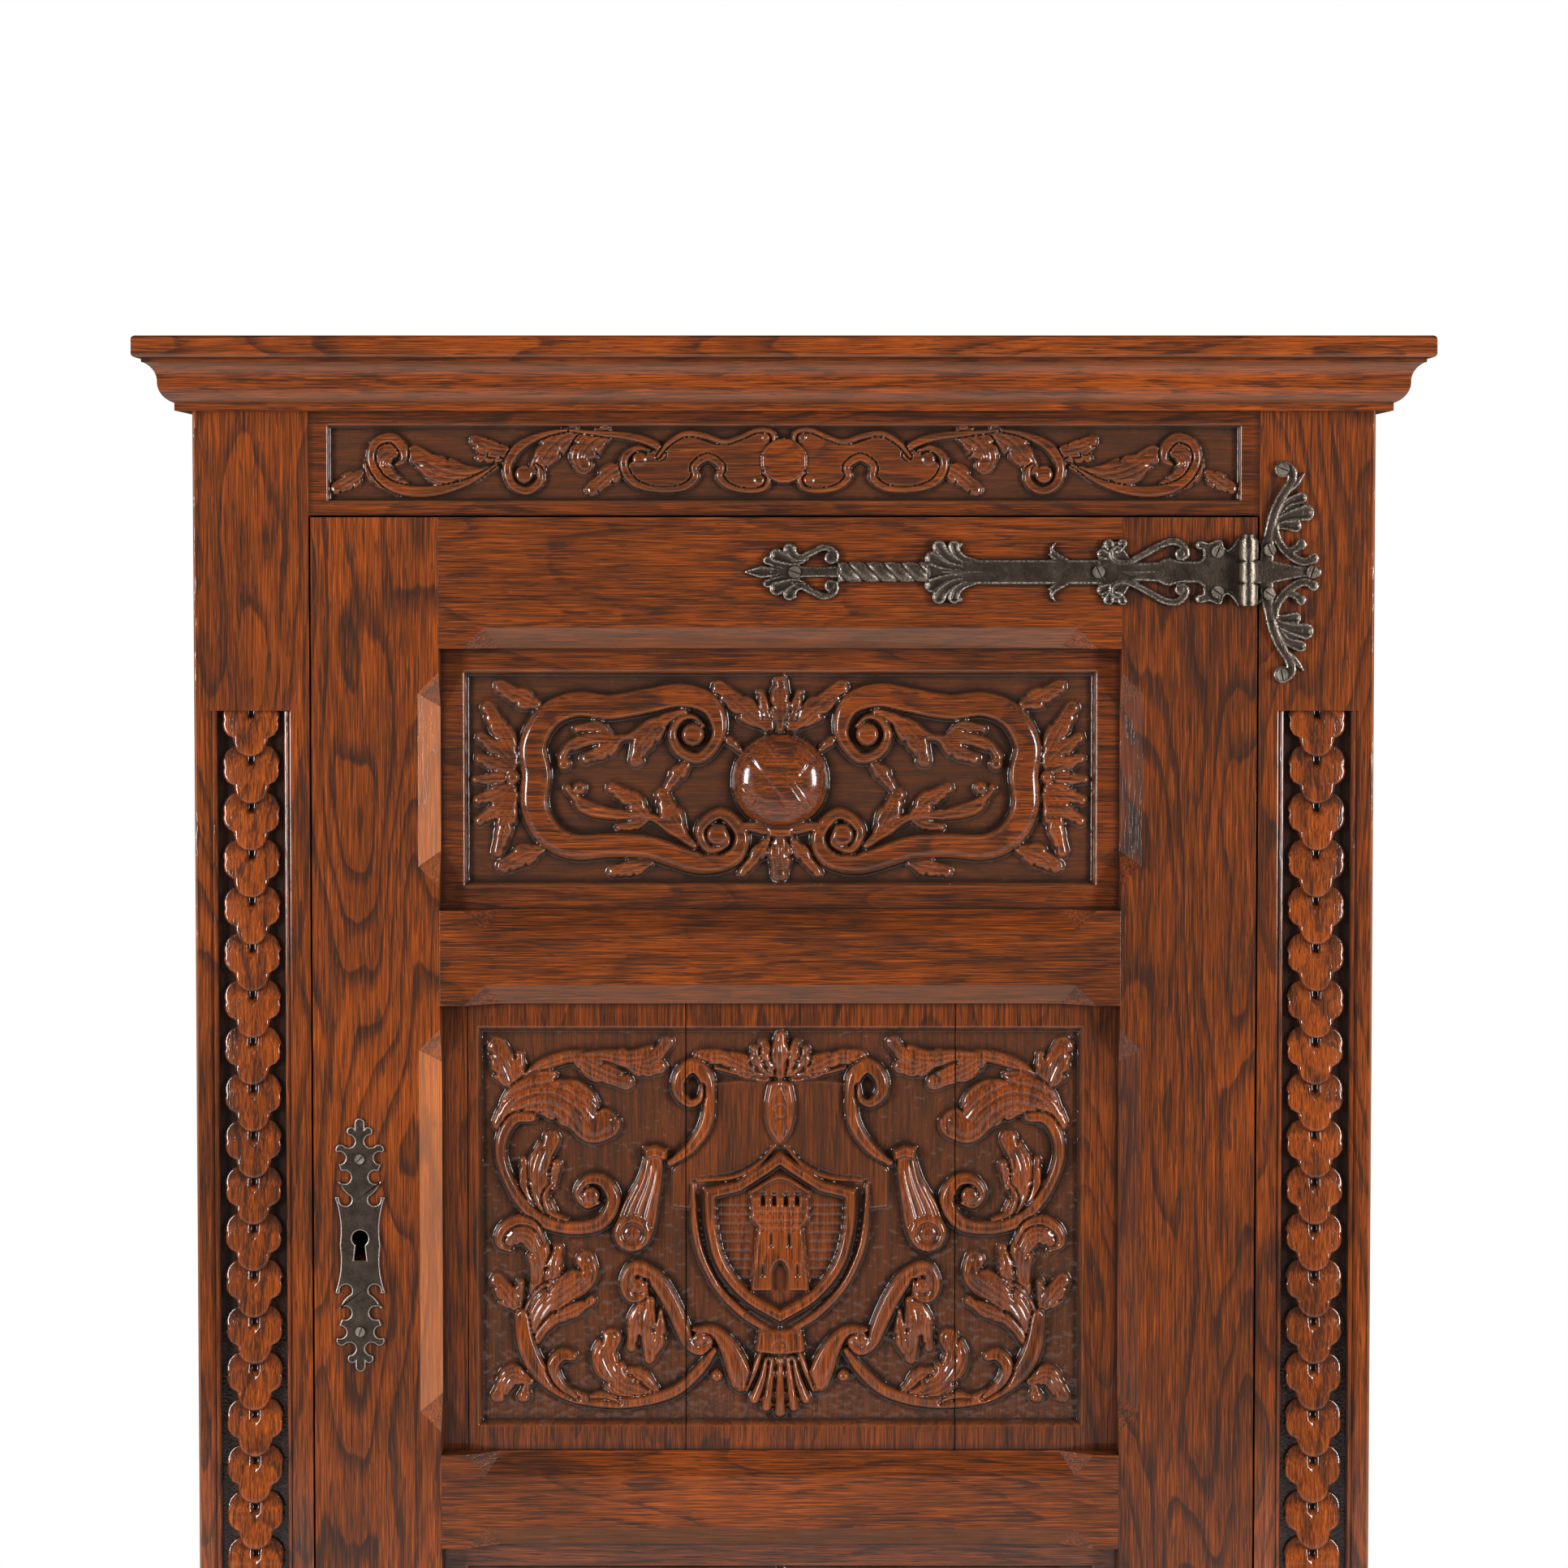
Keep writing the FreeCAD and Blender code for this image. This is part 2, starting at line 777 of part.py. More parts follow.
def cornice_profile():
    """Quirk, hollow, round and fillet, from the top down."""
    top = carcase_top
    cyma_top = top - cornice_quirk_height
    cyma_bottom = cyma_top - cornice_cyma_height
    waist = (cornice_top_reach - 9.0, cyma_top - cornice_cyma_height * 0.46)
    hollow = (cornice_top_reach - 6.8, cyma_top - cornice_cyma_height * 0.2)
    swell = (cornice_bottom_reach + 8.0, cyma_bottom + cornice_cyma_height * 0.2)
    return (0, top), [
        (cornice_quirk_reach, top),
        (cornice_quirk_reach, cyma_top),
        (cornice_top_reach, cyma_top),
        (hollow, waist),
        (swell, (cornice_bottom_reach, cyma_bottom)),
        (cornice_bottom_reach, cyma_bottom - cornice_fillet_height),
        (0, cyma_bottom - cornice_fillet_height),
        (0, top),
    ]


def base_profile():
    """Plinth block, ovolo and fillet, from the bottom up."""
    block_top = foot_height + base_block_height
    ovolo_top = block_top + base_ovolo_height
    round_middle = (base_reach - 5.0, block_top + base_ovolo_height * 0.68)
    return (0, foot_height), [
        (base_reach, foot_height),
        (base_reach, block_top),
        (round_middle, (base_top_reach + 3.0, ovolo_top)),
        (base_top_reach, ovolo_top),
        (base_top_reach, ovolo_top + base_fillet_height),
        (0, ovolo_top + base_fillet_height),
        (0, foot_height),
    ]


def cornice_board():
    """The top board, with its front and side edges rounded."""
    board = block(-half_width - cornice_reach, half_width + cornice_reach, front_y - cornice_reach, back_y,
                  carcase_top, total_height)
    level_edges = [edge for edge in board.Edges
                   if abs(edge.BoundBox.ZLength) < 0.01 and edge.BoundBox.YMin < back_y - 1]
    return board.makeFillet(cornice_edge_radius, level_edges)


save("cornice_board", cornice_board())
save("cornice_moulding", wrapped_moulding(*cornice_profile(), cornice_reach))
save("base_moulding", wrapped_moulding(*base_profile(), base_reach))


# ---- Inside of the cupboard ----

def notched_board(y0, z0, z1):
    """A board that fills the carcase behind y0, notched round the posts that it meets."""
    board = block(-side_inner, side_inner, y0, back_y - back_rail_thickness, z0, z1)
    notches = []
    for side in (-1, 1):
        x0, x1 = sorted((side * (back_post_inner - joint_clearance), side * half_width))
        notches.append(block(x0, x1, side_length_end - joint_clearance, back_y, z0, z1))
        x0, x1 = sorted((side * (opening_half - joint_clearance), side * half_width))
        notches.append(block(x0, x1, front_y, side_length_start + joint_clearance, z0, z1))
    return cut_away(board, notches)


floor_top = door_opening_bottom + floor_rise
shelf_room = frieze_bottom - floor_top
shelf_levels = [floor_top + shelf_room * (i + 1) / (shelf_count + 1) for i in range(shelf_count)]
save("cabinet_floor", notched_board(front_y + front_thickness, floor_top - floor_thickness, floor_top))
save("shelves", [notched_board(front_y + shelf_front_set_back, z, z + shelf_thickness) for z in shelf_levels])
bottom_board_top = base_rail_top - runner_height
save("bottom_board", notched_board(front_y + front_thickness, bottom_board_top - bottom_board_thickness,
                                   bottom_board_top))


def cleats(levels):
    """Bearers under boards, fixed to the sides between the posts."""
    pieces = []
    for z in levels:
        cleat = block(side_inner - cleat_width, side_inner, side_length_start, side_length_end, z - cleat_height, z)
        pieces += [cleat, mirrored_x(cleat)]
    return pieces


save("shelf_cleats", cleats(shelf_levels + [floor_top - floor_thickness]))

stop_front = front_y + front_thickness
save("door_stop", block(-opening_half + door_gap, opening_half - door_gap, stop_front, stop_front + stop_width,
                        frieze_bottom - stop_drop, frieze_bottom + stop_drop))


def drawer_runner():
    """The right-hand L-shaped runner: the drawer side slides on its flat and along its upright."""
    guide_x = drawer_side_outer + slide_clearance
    flat = block(opening_half - runner_width, side_inner, stop_front, back_y - back_rail_thickness,
                 base_rail_top - runner_height, base_rail_top)
    upright = block(guide_x, side_inner, stop_front, back_y - back_rail_thickness,
                    base_rail_top, base_rail_top + guide_height)
    post_space = [
        block(opening_half - joint_clearance, half_width, front_y, side_length_start + joint_clearance,
              foot_height, drawer_rail_bottom),
        block(back_post_inner - joint_clearance, half_width, side_length_end - joint_clearance, back_y,
              foot_height, drawer_rail_bottom),
    ]
    return cut_away(joined([flat, upright]), post_space)


save("drawer_runners", [drawer_runner(), mirrored_x(drawer_runner())])


# ---- Door frame ----

door_openings = [
    (upper_panel_bottom, upper_panel_top),
    (middle_panel_bottom, middle_panel_top),
    (lower_panel_bottom, lower_panel_top),
]
door_tenon_y = panel_face + panel_thickness / 2


def stopped_chamfer(corner, run, along, away):
    """The wedge that a stopped chamfer takes off one edge of a panel opening. The cut starts as a point on the
    edge, opens to its full width and depth, and closes in the same way at the other end."""
    first = chamfer_corner_gap
    face_start = first + chamfer_stop_face_length
    edge_start = first + chamfer_stop_edge_length

    def place(u, v, w):
        return point(corner[0] + along[0] * u + away[0] * v, front_y + w, corner[1] + along[1] * u + away[1] * v)

    corners = [
        place(first, 0, 0), place(face_start, chamfer_width, 0), place(edge_start, 0, chamfer_depth),
        place(run - first, 0, 0), place(run - face_start, chamfer_width, 0),
        place(run - edge_start, 0, chamfer_depth),
    ]
    return polyhedron(corners, [[0, 1, 2], [3, 5, 4], [0, 3, 4, 1], [0, 2, 5, 3], [1, 4, 5, 2]])


panel_width = panel_right - panel_left


def rail_tools(below, above):
    """Chamfers and grooves of a door rail. below and above tell whether a panel lies on that side, by its edge."""
    tools = []
    y0 = panel_face - joint_clearance
    y1 = panel_face + panel_thickness + joint_clearance
    reach = door_tenon_length + 1
    if below is not None:
        tools.append(stopped_chamfer((panel_left, below), panel_width, (1, 0), (0, 1)))
        tools.append(block(panel_left - reach, panel_right + reach, y0, y1, below, below + groove_depth))
    if above is not None:
        tools.append(stopped_chamfer((panel_left, above), panel_width, (1, 0), (0, -1)))
        tools.append(block(panel_left - reach, panel_right + reach, y0, y1, above - groove_depth, above))
    return tools


def door_tenons(z0, z1):
    return end_tenons(panel_left, panel_right, z0, z1, door_tenon_y, door_tenon_length, tenon_thickness,
                      groove_depth + joint_clearance)


door_rails = {
    "door_top_rail": (upper_panel_top, door_top, upper_panel_top, None),
    "door_upper_rail": (middle_panel_top, upper_panel_bottom, middle_panel_top, upper_panel_bottom),
    "door_lower_rail": (lower_panel_top, middle_panel_bottom, lower_panel_top, middle_panel_bottom),
    "door_bottom_rail": (door_bottom, lower_panel_bottom, None, lower_panel_bottom),
}

strap_screw_places = [
    (hinge_axis_x - strap_length + 36.4, 0.0),
    (hinge_axis_x - 113.3, 0.0),
    (hinge_axis_x - 22.9, 15.4),
    (hinge_axis_x - 22.9, -15.4),
]


def strap_screw_holes():
    return [
        screw_hole(x, front_y, level + z, 1, screw_shank_radius, screw_length - strap_thickness)
        for level in hinge_levels for x, z in strap_screw_places
    ]


def door_rail(name):
    z0, z1, below, above = door_rails[name]
    rail = joined([block(panel_left, panel_right, front_y, door_back, z0, z1)] + door_tenons(z0, z1))
    return cut_away(rail, rail_tools(below, above) + strap_screw_holes())


def stile_tools(edge_x, away):
    """Chamfers, panel grooves and mortises of a stile whose inner edge is at edge_x."""
    tools = []
    y0 = panel_face - joint_clearance
    y1 = panel_face + panel_thickness + joint_clearance
    for z0, z1 in door_openings:
        tools.append(stopped_chamfer((edge_x, z0), z1 - z0, (0, 1), (away, 0)))
        x0, x1 = sorted((edge_x, edge_x + away * groove_depth))
        tools.append(block(x0, x1, y0, y1, z0 - groove_depth, z1 + groove_depth))
    for z0, z1, _, _ in door_rails.values():
        tools += mortises(door_tenons(z0, z1))
    return tools


def keyhole(margin, y0, y1):
    """A keyhole: a round top and a slot that widens downwards. margin makes it larger all round."""
    top = disc(lock_x, keyhole_z, keyhole_radius + margin, y0, y1)
    neck = keyhole_neck_width / 2 + margin
    foot = keyhole_foot_width / 2 + margin
    drop = lock_z - keyhole_drop - margin
    slot = polygon_plate([(lock_x - neck, keyhole_z), (lock_x + neck, keyhole_z), (lock_x + foot, drop),
                          (lock_x - foot, drop)], y0, y1)
    return joined([top, slot])


lock_screw_rise = 66.6
case_screw_places = [
    (lock_case_left + 0.18 * lock_case_width, -0.4 * lock_case_height),
    (lock_case_left + 0.18 * lock_case_width, 0.44 * lock_case_height),
    (lock_case_left + 0.85 * lock_case_width, -0.4 * lock_case_height),
    (lock_case_left + 0.85 * lock_case_width, 0.44 * lock_case_height),
]


def lock_stile():
    stile = block(door_left, panel_left, front_y, door_back, door_bottom, door_top)
    bevel = polyhedron(
        [point(door_left, front_y, z) for z in (door_bottom, door_top)]
        + [point(door_left, door_back, z) for z in (door_bottom, door_top)]
        + [point(door_left + closing_bevel, door_back, z) for z in (door_bottom, door_top)],
        [[0, 1, 3, 2], [0, 4, 5, 1], [2, 3, 5, 4], [0, 2, 4], [1, 5, 3]])
    tools = stile_tools(panel_left, -1) + [bevel, keyhole(keyhole_wood_margin, front_y, door_back)]
    for rise in (lock_screw_rise, -lock_screw_rise):
        tools.append(screw_hole(lock_x, front_y, lock_z + rise, 1, small_screw_shank_radius, small_screw_length))
    for x, rise in case_screw_places:
        tools.append(screw_hole(x, door_back, keyhole_z + rise, -1, small_screw_shank_radius, small_screw_length))
    return cut_away(stile, tools)


def hinge_stile():
    stile = block(panel_right, door_right, front_y, door_back, door_bottom, door_top)
    return cut_away(stile, stile_tools(panel_right, 1) + strap_screw_holes())


for rail_name in door_rails:
    save(rail_name, door_rail(rail_name))
save("door_lock_stile", lock_stile())
save("door_hinge_stile", hinge_stile())


# ---- Door panels ----

ground_y = panel_face + sunk_depth


def panel_board(x0, x1, z0, z1):
    return block(x0, x1, panel_face, panel_face + panel_thickness, z0, z1)


def dome(x, z, radius, height, base_y):
    """A boss: the cap of a ball, standing on base_y."""
    ball_radius = (radius * radius + height * height) / (2 * height)
    ball = Part.makeSphere(ball_radius, point(x, base_y - height + ball_radius, z))
    return ball.common(disc(x, z, radius, base_y - height - 1, base_y))


def small_panel(z0, z1):
    """A carved panel in one board: a sunk field with a round boss in its middle."""
    board = panel_board(panel_left - tongue_length, panel_right + tongue_length, z0 - tongue_length,
                        z1 + tongue_length)
    field = block(panel_left + small_field_margin, panel_right - small_field_margin, panel_face, ground_y,
                  z0 + small_field_margin, z1 - small_field_margin)
    boss = dome(panel_middle, (z0 + z1) / 2, boss_radius, boss_height, ground_y)
    return joined([cut_away(board, [field]), boss])


def shield(x, z, size, y_front, y_back):
    """A heater shield with a peaked top. size scales its outline."""
    w = shield_half_width * size
    top = shield_top_rise * size
    shoulder = shield_shoulder_rise * size
    foot = -shield_foot_drop * size
    right_dip = (x + 0.5 * w, z + (shoulder + top) / 2 - 0.07 * w)
    left_dip = (x - 0.5 * w, z + (shoulder + top) / 2 - 0.07 * w)
    right_belly = (x + 0.82 * w, z + foot * 0.3)
    left_belly = (x - 0.82 * w, z + foot * 0.3)
    steps = [
        (right_dip, (x + w, z + shoulder)),
        (right_belly, (x, z + foot)),
        (left_belly, (x - w, z + shoulder)),
        (left_dip, (x, z + top)),
    ]
    return plate((x, z + top), steps, y_front, y_back)


def tower(x, z, y_front, y_back):
    """The plain tower on the shield: a tapering shaft, a wider head and three merlons."""
    shaft = polygon_plate([(x - 16, z - 34), (x + 16, z - 34), (x + 10, z + 12), (x - 10, z + 12)], y_front, y_back)
    head = polygon_plate([(x - 10, z + 12), (x + 10, z + 12), (x + 17, z + 18), (x + 17, z + 25),
                          (x - 17, z + 25), (x - 17, z + 18)], y_front, y_back)
    merlons = [polygon_plate([(x + i * 13.5 - 3.5, z + 25), (x + i * 13.5 + 3.5, z + 25),
                              (x + i * 13.5 + 3.5, z + 31), (x + i * 13.5 - 3.5, z + 31)], y_front, y_back)
               for i in (-1, 0, 1)]
    return joined([shaft, head] + merlons)


def large_panel():
    """The tall carved panel, glued up from four upright boards, with the shield on the third."""
    z0 = middle_panel_bottom
    z1 = middle_panel_top
    left = panel_left - tongue_length
    right = panel_right + tongue_length
    first_seam = panel_left + panel_first_board_width
    second_seam = first_seam + panel_second_board_width
    third_seam = second_seam + panel_third_board_width
    field = block(panel_left + large_field_margin_side * 2, panel_right - large_field_margin_side * 2, panel_face,
                  ground_y, z0 + large_field_margin_end, z1 - large_field_margin_end)
    arms_x = panel_middle
    arms_z = (z0 + z1) / 2
    raised = shield(arms_x, arms_z, 1.0, ground_y - shield_height, ground_y)
    face = ground_y - shield_height
    hollow = shield(arms_x, arms_z, shield_field_inset, face, face + shield_field_depth)
    charge = tower(arms_x, arms_z, face, face + shield_field_depth)
    arms = joined([raised.cut(hollow), charge])
    boards = []
    edges = [left, first_seam, second_seam, third_seam, right]
    for i, (x0, x1) in enumerate(zip(edges, edges[1:])):
        x_end = x1 - (panel_board_gap if i < len(edges) - 2 else 0)
        board = cut_away(panel_board(x0, x_end, z0 - tongue_length, z1 + tongue_length), [field])
        if x0 < arms_x < x1:
            board = joined([board, arms])
        boards.append(board)
    return boards


save("door_upper_panel", small_panel(upper_panel_bottom, upper_panel_top))
save("door_middle_panel", large_panel())
save("door_lower_panel", small_panel(lower_panel_bottom, lower_panel_top))


# ---- Hinges ----

def knuckle(z0, z1):
    """One barrel of a hinge, bored for the pin."""
    barrel = rod((hinge_axis_x, hinge_axis_y, z0), knuckle_radius, z1 - z0, (0, 0, 1))
    bore = rod((hinge_axis_x, hinge_axis_y, z0), hinge_pin_radius + hinge_pin_clearance, z1 - z0, (0, 0, 1))
    return barrel, bore


def pair(place, width, y0, y1, level):
    """Round-ended bars through a row of points, and the same row turned over below the strap's middle line."""
    upper = chain_of_links([(x, level + z) for x, z in place], width, y0, y1)
    lower = chain_of_links([(x, level - z) for x, z in place], width, y0, y1)
    return upper + lower


def strap_hinge(level):
    """The long strap on the door: spear, scrolls, twisted bar, fan, flat bar, heart scrolls, plate and knuckles."""
    tip = hinge_axis_x - strap_length
    y0 = front_y - strap_thickness
    y1 = front_y
    spear = polygon_plate([(tip, level), (tip + 14, level + 5.5), (tip + 30, level + 4.5), (tip + 68, level + 4.5),
                           (tip + 68, level - 4.5), (tip + 30, level - 4.5), (tip + 14, level - 5.5)], y0, y1)
    twist = block(tip + 66, tip + 140, front_y - strap_twist_thickness, y1,
                  level - strap_twist_half, level + strap_twist_half)
    bar = block(tip + 138, tip + 270, y0, y1, level - strap_bar_half, level + strap_bar_half)
    plate_left = tip + 262
    plate_right = hinge_axis_x - 2
    leaf = polygon_plate([(plate_left, level - 7), (plate_left + 44, level - 12), (plate_left + 58, level - 12),
                          (plate_left + 66, level - 22), (plate_left + 84, level - 20),
                          (plate_right, level - knuckle_half), (plate_right, level + knuckle_half),
                          (plate_left + 84, level + 20), (plate_left + 66, level + 22),
                          (plate_left + 58, level + 12), (plate_left + 44, level + 12),
                          (plate_left, level + 7)], y0, y1)
    pieces = [spear, twist, bar, leaf]
    pieces += pair([(tip + 16, 6), (tip + 26, 14), (tip + 35, 18)], 9, y0, y1, level)
    pieces += pair([(tip + 34, 9), (tip + 44, 11), (tip + 58, 18), (tip + 66, 16), (tip + 67.5, 10)], 5, y0, y1, level)
    pieces += pair([(tip + 144, 6), (tip + 142, 12)], 11, y0, y1, level)
    pieces += pair([(tip + 152, 7), (tip + 150, 20), (tip + 160, 21)], 10, y0, y1, level)
    pieces += pair([(tip + 236, 9), (tip + 235, 16), (tip + 240, 21)], 4, y0, y1, level)
    pieces += pair([(tip + 276, 11), (tip + 280, 16)], 20, y0, y1, level)
    pieces += pair([(tip + 284, 10), (tip + 308, 20), (tip + 326, 24), (tip + 337, 19), (tip + 333, 13)], 5.5,
                   y0, y1, level)
    bores = []
    for start in (-knuckle_half, knuckle_half - knuckle_height):
        barrel, bore = knuckle(level + start, level + start + knuckle_height - knuckle_gap)
        pieces.append(barrel)
        bores.append(bore)
    room = block(plate_right - knuckle_radius - 6, hinge_axis_x + knuckle_radius + 1,
                 front_y - 3 * knuckle_radius, front_y, level - knuckle_height / 2 - knuckle_gap,
                 level + knuckle_height / 2 + knuckle_gap)
    holes = [screw_hole(x, y0 - 1, level + z, 1, screw_shank_radius, strap_thickness + 1)
             for x, z in strap_screw_places]
    return cut_away(joined(pieces), [room] + bores + holes)


def jamb_leaf(level):
    """The upright leaf on the post: two tall leafy scrolls about a short spear, and the middle knuckle."""
    x = hinge_axis_x
    y0 = front_y - strap_thickness - leaf_clearance
    y1 = front_y
    arm = block(x, opening_half + 8, y0, y1, level - knuckle_height / 2 + knuckle_gap,
                level + knuckle_height / 2 - knuckle_gap)
    spear = polygon_plate([(opening_half + 2, level - 12), (x + 49, level - 4), (x + jamb_leaf_reach, level),
                           (x + 49, level + 4), (opening_half + 2, level + 12)], y0, y1)
    pieces = [arm, spear]
    pieces += pair([(x + 17.7, 10), (x + 17.7, 38), (x + 23.6, 54), (x + 33, 68), (x + jamb_curl_x, jamb_curl_z)],
                   8, y0, y1, level)
    pieces += pair([(x + 24, 40), (x + 40, 46)], 12, y0, y1, level)
    pieces += pair([(x + 26, 48), (x + 40, 56)], 9, y0, y1, level)
    pieces += pair([(x + 22, 34), (x + 38, 37)], 9, y0, y1, level)
    pieces += pair([(x + 20, 30), (x + 30, 18), (x + 44, 8)], 6, y0, y1, level)
    pieces += pair([(x + 34, 15), (x + 40.5, 21)], 6, y0, y1, level)
    pieces += [disc(x + jamb_curl_x, level + side * jamb_curl_z, jamb_curl_radius, y0, y1) for side in (-1, 1)]
    barrel, bore = knuckle(level - knuckle_height / 2 + knuckle_gap / 2, level + knuckle_height / 2 - knuckle_gap)
    leaf = joined(pieces + [barrel])
    over_door = block(x, opening_half, front_y - leaf_clearance, front_y, level - jamb_leaf_half,
                      level + jamb_leaf_half)
    holes = [screw_hole(sx, y0 - 1, level + sz, 1, screw_shank_radius, strap_thickness + 1 + leaf_clearance)
             for sx, sz in jamb_screw_places]
    return cut_away(leaf, [over_door, bore] + holes)


def hinge_pin(level):
    """The loose pin, dropped in from the top and held by its head."""
    top = level + knuckle_half + knuckle_gap
    pin = rod((hinge_axis_x, hinge_axis_y, level - knuckle_half), hinge_pin_radius, 2 * knuckle_half + knuckle_gap,
              (0, 0, 1))
    head = rod((hinge_axis_x, hinge_axis_y, top), hinge_pin_head_radius, hinge_pin_head_height, (0, 0, 1))
    return joined([pin, head])


upper_level, lower_level = hinge_levels
save("strap_hinge_upper", strap_hinge(upper_level))
save("strap_hinge_lower", strap_hinge(lower_level))
save("jamb_hinge_upper", jamb_leaf(upper_level))
save("jamb_hinge_lower", jamb_leaf(lower_level))
save("hinge_pins", [hinge_pin(level) for level in hinge_levels])

screw_turns = (20, 65, 110, 35, 80)
strap_face = front_y - strap_thickness
leaf_face = strap_face - leaf_clearance
save("strap_hinge_screws", [
    screw(x, strap_face, level + z, 1, turn, screw_head_radius, screw_shank_radius, screw_length)
    for level in hinge_levels for (x, z), turn in zip(strap_screw_places, screw_turns)])
save("jamb_hinge_screws", [
    screw(x, leaf_face, level + z, 1, turn, screw_head_radius, screw_shank_radius, screw_length)
    for level in hinge_levels for (x, z), turn in zip(jamb_screw_places, screw_turns)])


# ---- Lock ----

def lock_plate():
    """The fretted keyhole plate. Its outline is one quarter, turned over across and then down."""
    top = lock_z + lock_plate_half_height
    quarter = [  # distance out from the middle line, and drop below the top
        ((2.8, 1.2), (3.9, 3.9)),
        (3.9, 7.8),
        ((9.8, 9.2), (8.5, 12.8)),
        ((5.2, 14.2), (3.6, 17.4)),
        ((6.2, 21.9), (12.0, 21.0)),
        ((17.3, 21.2), (17.9, 26.4)),
        ((10.9, 31.3), (16.4, 35.2)),
        (14.2, 40.9),
        ((6.8, 45.8), (16.2, 48.0)),
        ((12.8, 55.0), (7.1, 60.1)),
        ((10.7, 67.4), (15.3, 60.6)),
        (19.4, 60.6),
        ((16.5, 70.8), (15.7, lock_plate_half_height)),
    ]
    y0 = front_y - lock_plate_thickness
    edges = edges_through((0, 0), quarter, lambda p: point(lock_x + p[0], y0, top - p[1]))
    middle = [point(lock_x, y0, lock_z), point(lock_x, y0, top)]
    across = Part.LineSegment(edges[-1].Vertexes[-1].Point, middle[0]).toShape()
    down = Part.LineSegment(middle[0], middle[1]).toShape()
    corner = Part.Face(Part.Wire(edges + [across, down])).extrude(point(0, lock_plate_thickness, 0))
    half = joined([corner, mirrored_x(corner, lock_x)])
    whole = joined([half, mirrored_z(half, lock_z)])
    holes = [screw_hole(lock_x, y0 - 1, lock_z + rise, 1, small_screw_shank_radius, lock_plate_thickness + 1)
             for rise in (lock_screw_rise, -lock_screw_rise)]
    return cut_away(whole, [keyhole(0, y0, front_y)] + holes)


def lock_case():
    """The pressed box of the lock, open towards the door, with the way out for the bolt."""
    x0 = lock_case_left
    x1 = x0 + lock_case_width
    z0 = keyhole_z - lock_case_height / 2
    z1 = keyhole_z + lock_case_height / 2
    wall = lock_case_wall
    outer = block(x0, x1, door_back + wall, lock_case_back, z0, z1)
    inner = block(x0 + wall, x1 - wall, door_back + wall, lock_case_back - wall, z0 + wall, z1 - wall)
    gap = bolt_clearance
    bolt_way = block(x0, x0 + wall, bolt_y - bolt_thickness / 2 - gap, bolt_y + bolt_thickness / 2 + gap,
                     bolt_z - bolt_height / 2 - gap, bolt_z + bolt_height / 2 + gap)
    screw_posts = [rod((x, door_back + wall, keyhole_z + rise), 3.4, lock_case_depth - wall, (0, 1, 0))
                   for x, rise in case_screw_places]
    holes = [rod((x, door_back, keyhole_z + rise), small_screw_shank_radius + joint_clearance,
                 lock_case_depth + 1, (0, 1, 0)) for x, rise in case_screw_places]
    return cut_away(joined([outer.cut(inner)] + screw_posts), [bolt_way] + holes)


def lock_cover():
    """The plate between the lock box and the wood, with its own keyhole."""
    cover = block(lock_case_left, lock_case_left + lock_case_width, door_back, door_back + lock_case_wall,
                  keyhole_z - lock_case_height / 2, keyhole_z + lock_case_height / 2)
    holes = [screw_hole(x, door_back, keyhole_z + rise, 1, small_screw_shank_radius, lock_case_wall)
             for x, rise in case_screw_places]
    return cut_away(cover, [keyhole(0.5, door_back, door_back + lock_case_wall)] + holes)


bolt_left = lock_case_left + lock_case_wall / 2


def lock_bolt():
    """The bolt: a square head, and a tail with the notch that the key turns against."""
    head = block(bolt_left, bolt_left + bolt_length * 0.4, bolt_y - bolt_thickness / 2, bolt_y + bolt_thickness / 2,
                 bolt_z - bolt_height / 2, bolt_z + bolt_height / 2)
    tail = block(bolt_left + bolt_length * 0.4, bolt_left + bolt_length, bolt_y - bolt_thickness / 4,
                 bolt_y + bolt_thickness / 4, bolt_z - bolt_height / 2, bolt_z + bolt_height * 0.3)
    notch = block(lock_x - 5, lock_x + 6, bolt_y - bolt_thickness, bolt_y + bolt_thickness,
                  bolt_z - bolt_height / 2, bolt_z - bolt_height * 0.2)
    return joined([head, tail]).cut(notch)


def lock_spring():
    """A bowed leaf above the bolt that keeps it from rattling."""
    z = bolt_z + bolt_height / 2 + bolt_clearance
    x0 = lock_case_left + lock_case_width * 0.3
    x1 = lock_case_left + lock_case_width * 0.75
    rise = 3.0
    outer = ((x0 + x1) / 2, z)
    inner = ((x0 + x1) / 2, z + spring_thickness)
    steps = [(outer, (x1, z + rise)), (x1, z + rise + spring_thickness), (inner, (x0, z + rise + spring_thickness)),
             (x0, z + rise)]
    return plate((x0, z + rise), steps, bolt_y - bolt_thickness / 2, bolt_y + bolt_thickness / 2)


def lock_keeper():
    """The plate let into the post, with the hole that the bolt goes through."""
    x0 = -opening_half - keeper_thickness
    keeper = block(x0, -opening_half, bolt_y - keeper_depth / 2, bolt_y + keeper_depth / 2,
                   bolt_z - keeper_height / 2, bolt_z + keeper_height / 2)
    gap = 2 * bolt_clearance
    hole = block(x0, -opening_half, bolt_y - bolt_thickness / 2 - gap, bolt_y + bolt_thickness / 2 + gap,
                 bolt_z - bolt_height / 2 - gap, bolt_z + bolt_height / 2 + gap)
    screw_holes = [rod((x0, bolt_y, bolt_z + rise), small_screw_shank_radius + joint_clearance, keeper_thickness,
                       (1, 0, 0)) for rise in (keeper_screw_rise, -keeper_screw_rise)]
    return cut_away(keeper, [hole] + screw_holes)


def keeper_screw(z):
    """A countersunk screw whose head lies level with the keeper."""
    x = -opening_half
    return rod((x, bolt_y, z), small_screw_shank_radius, small_screw_length, (-1, 0, 0))


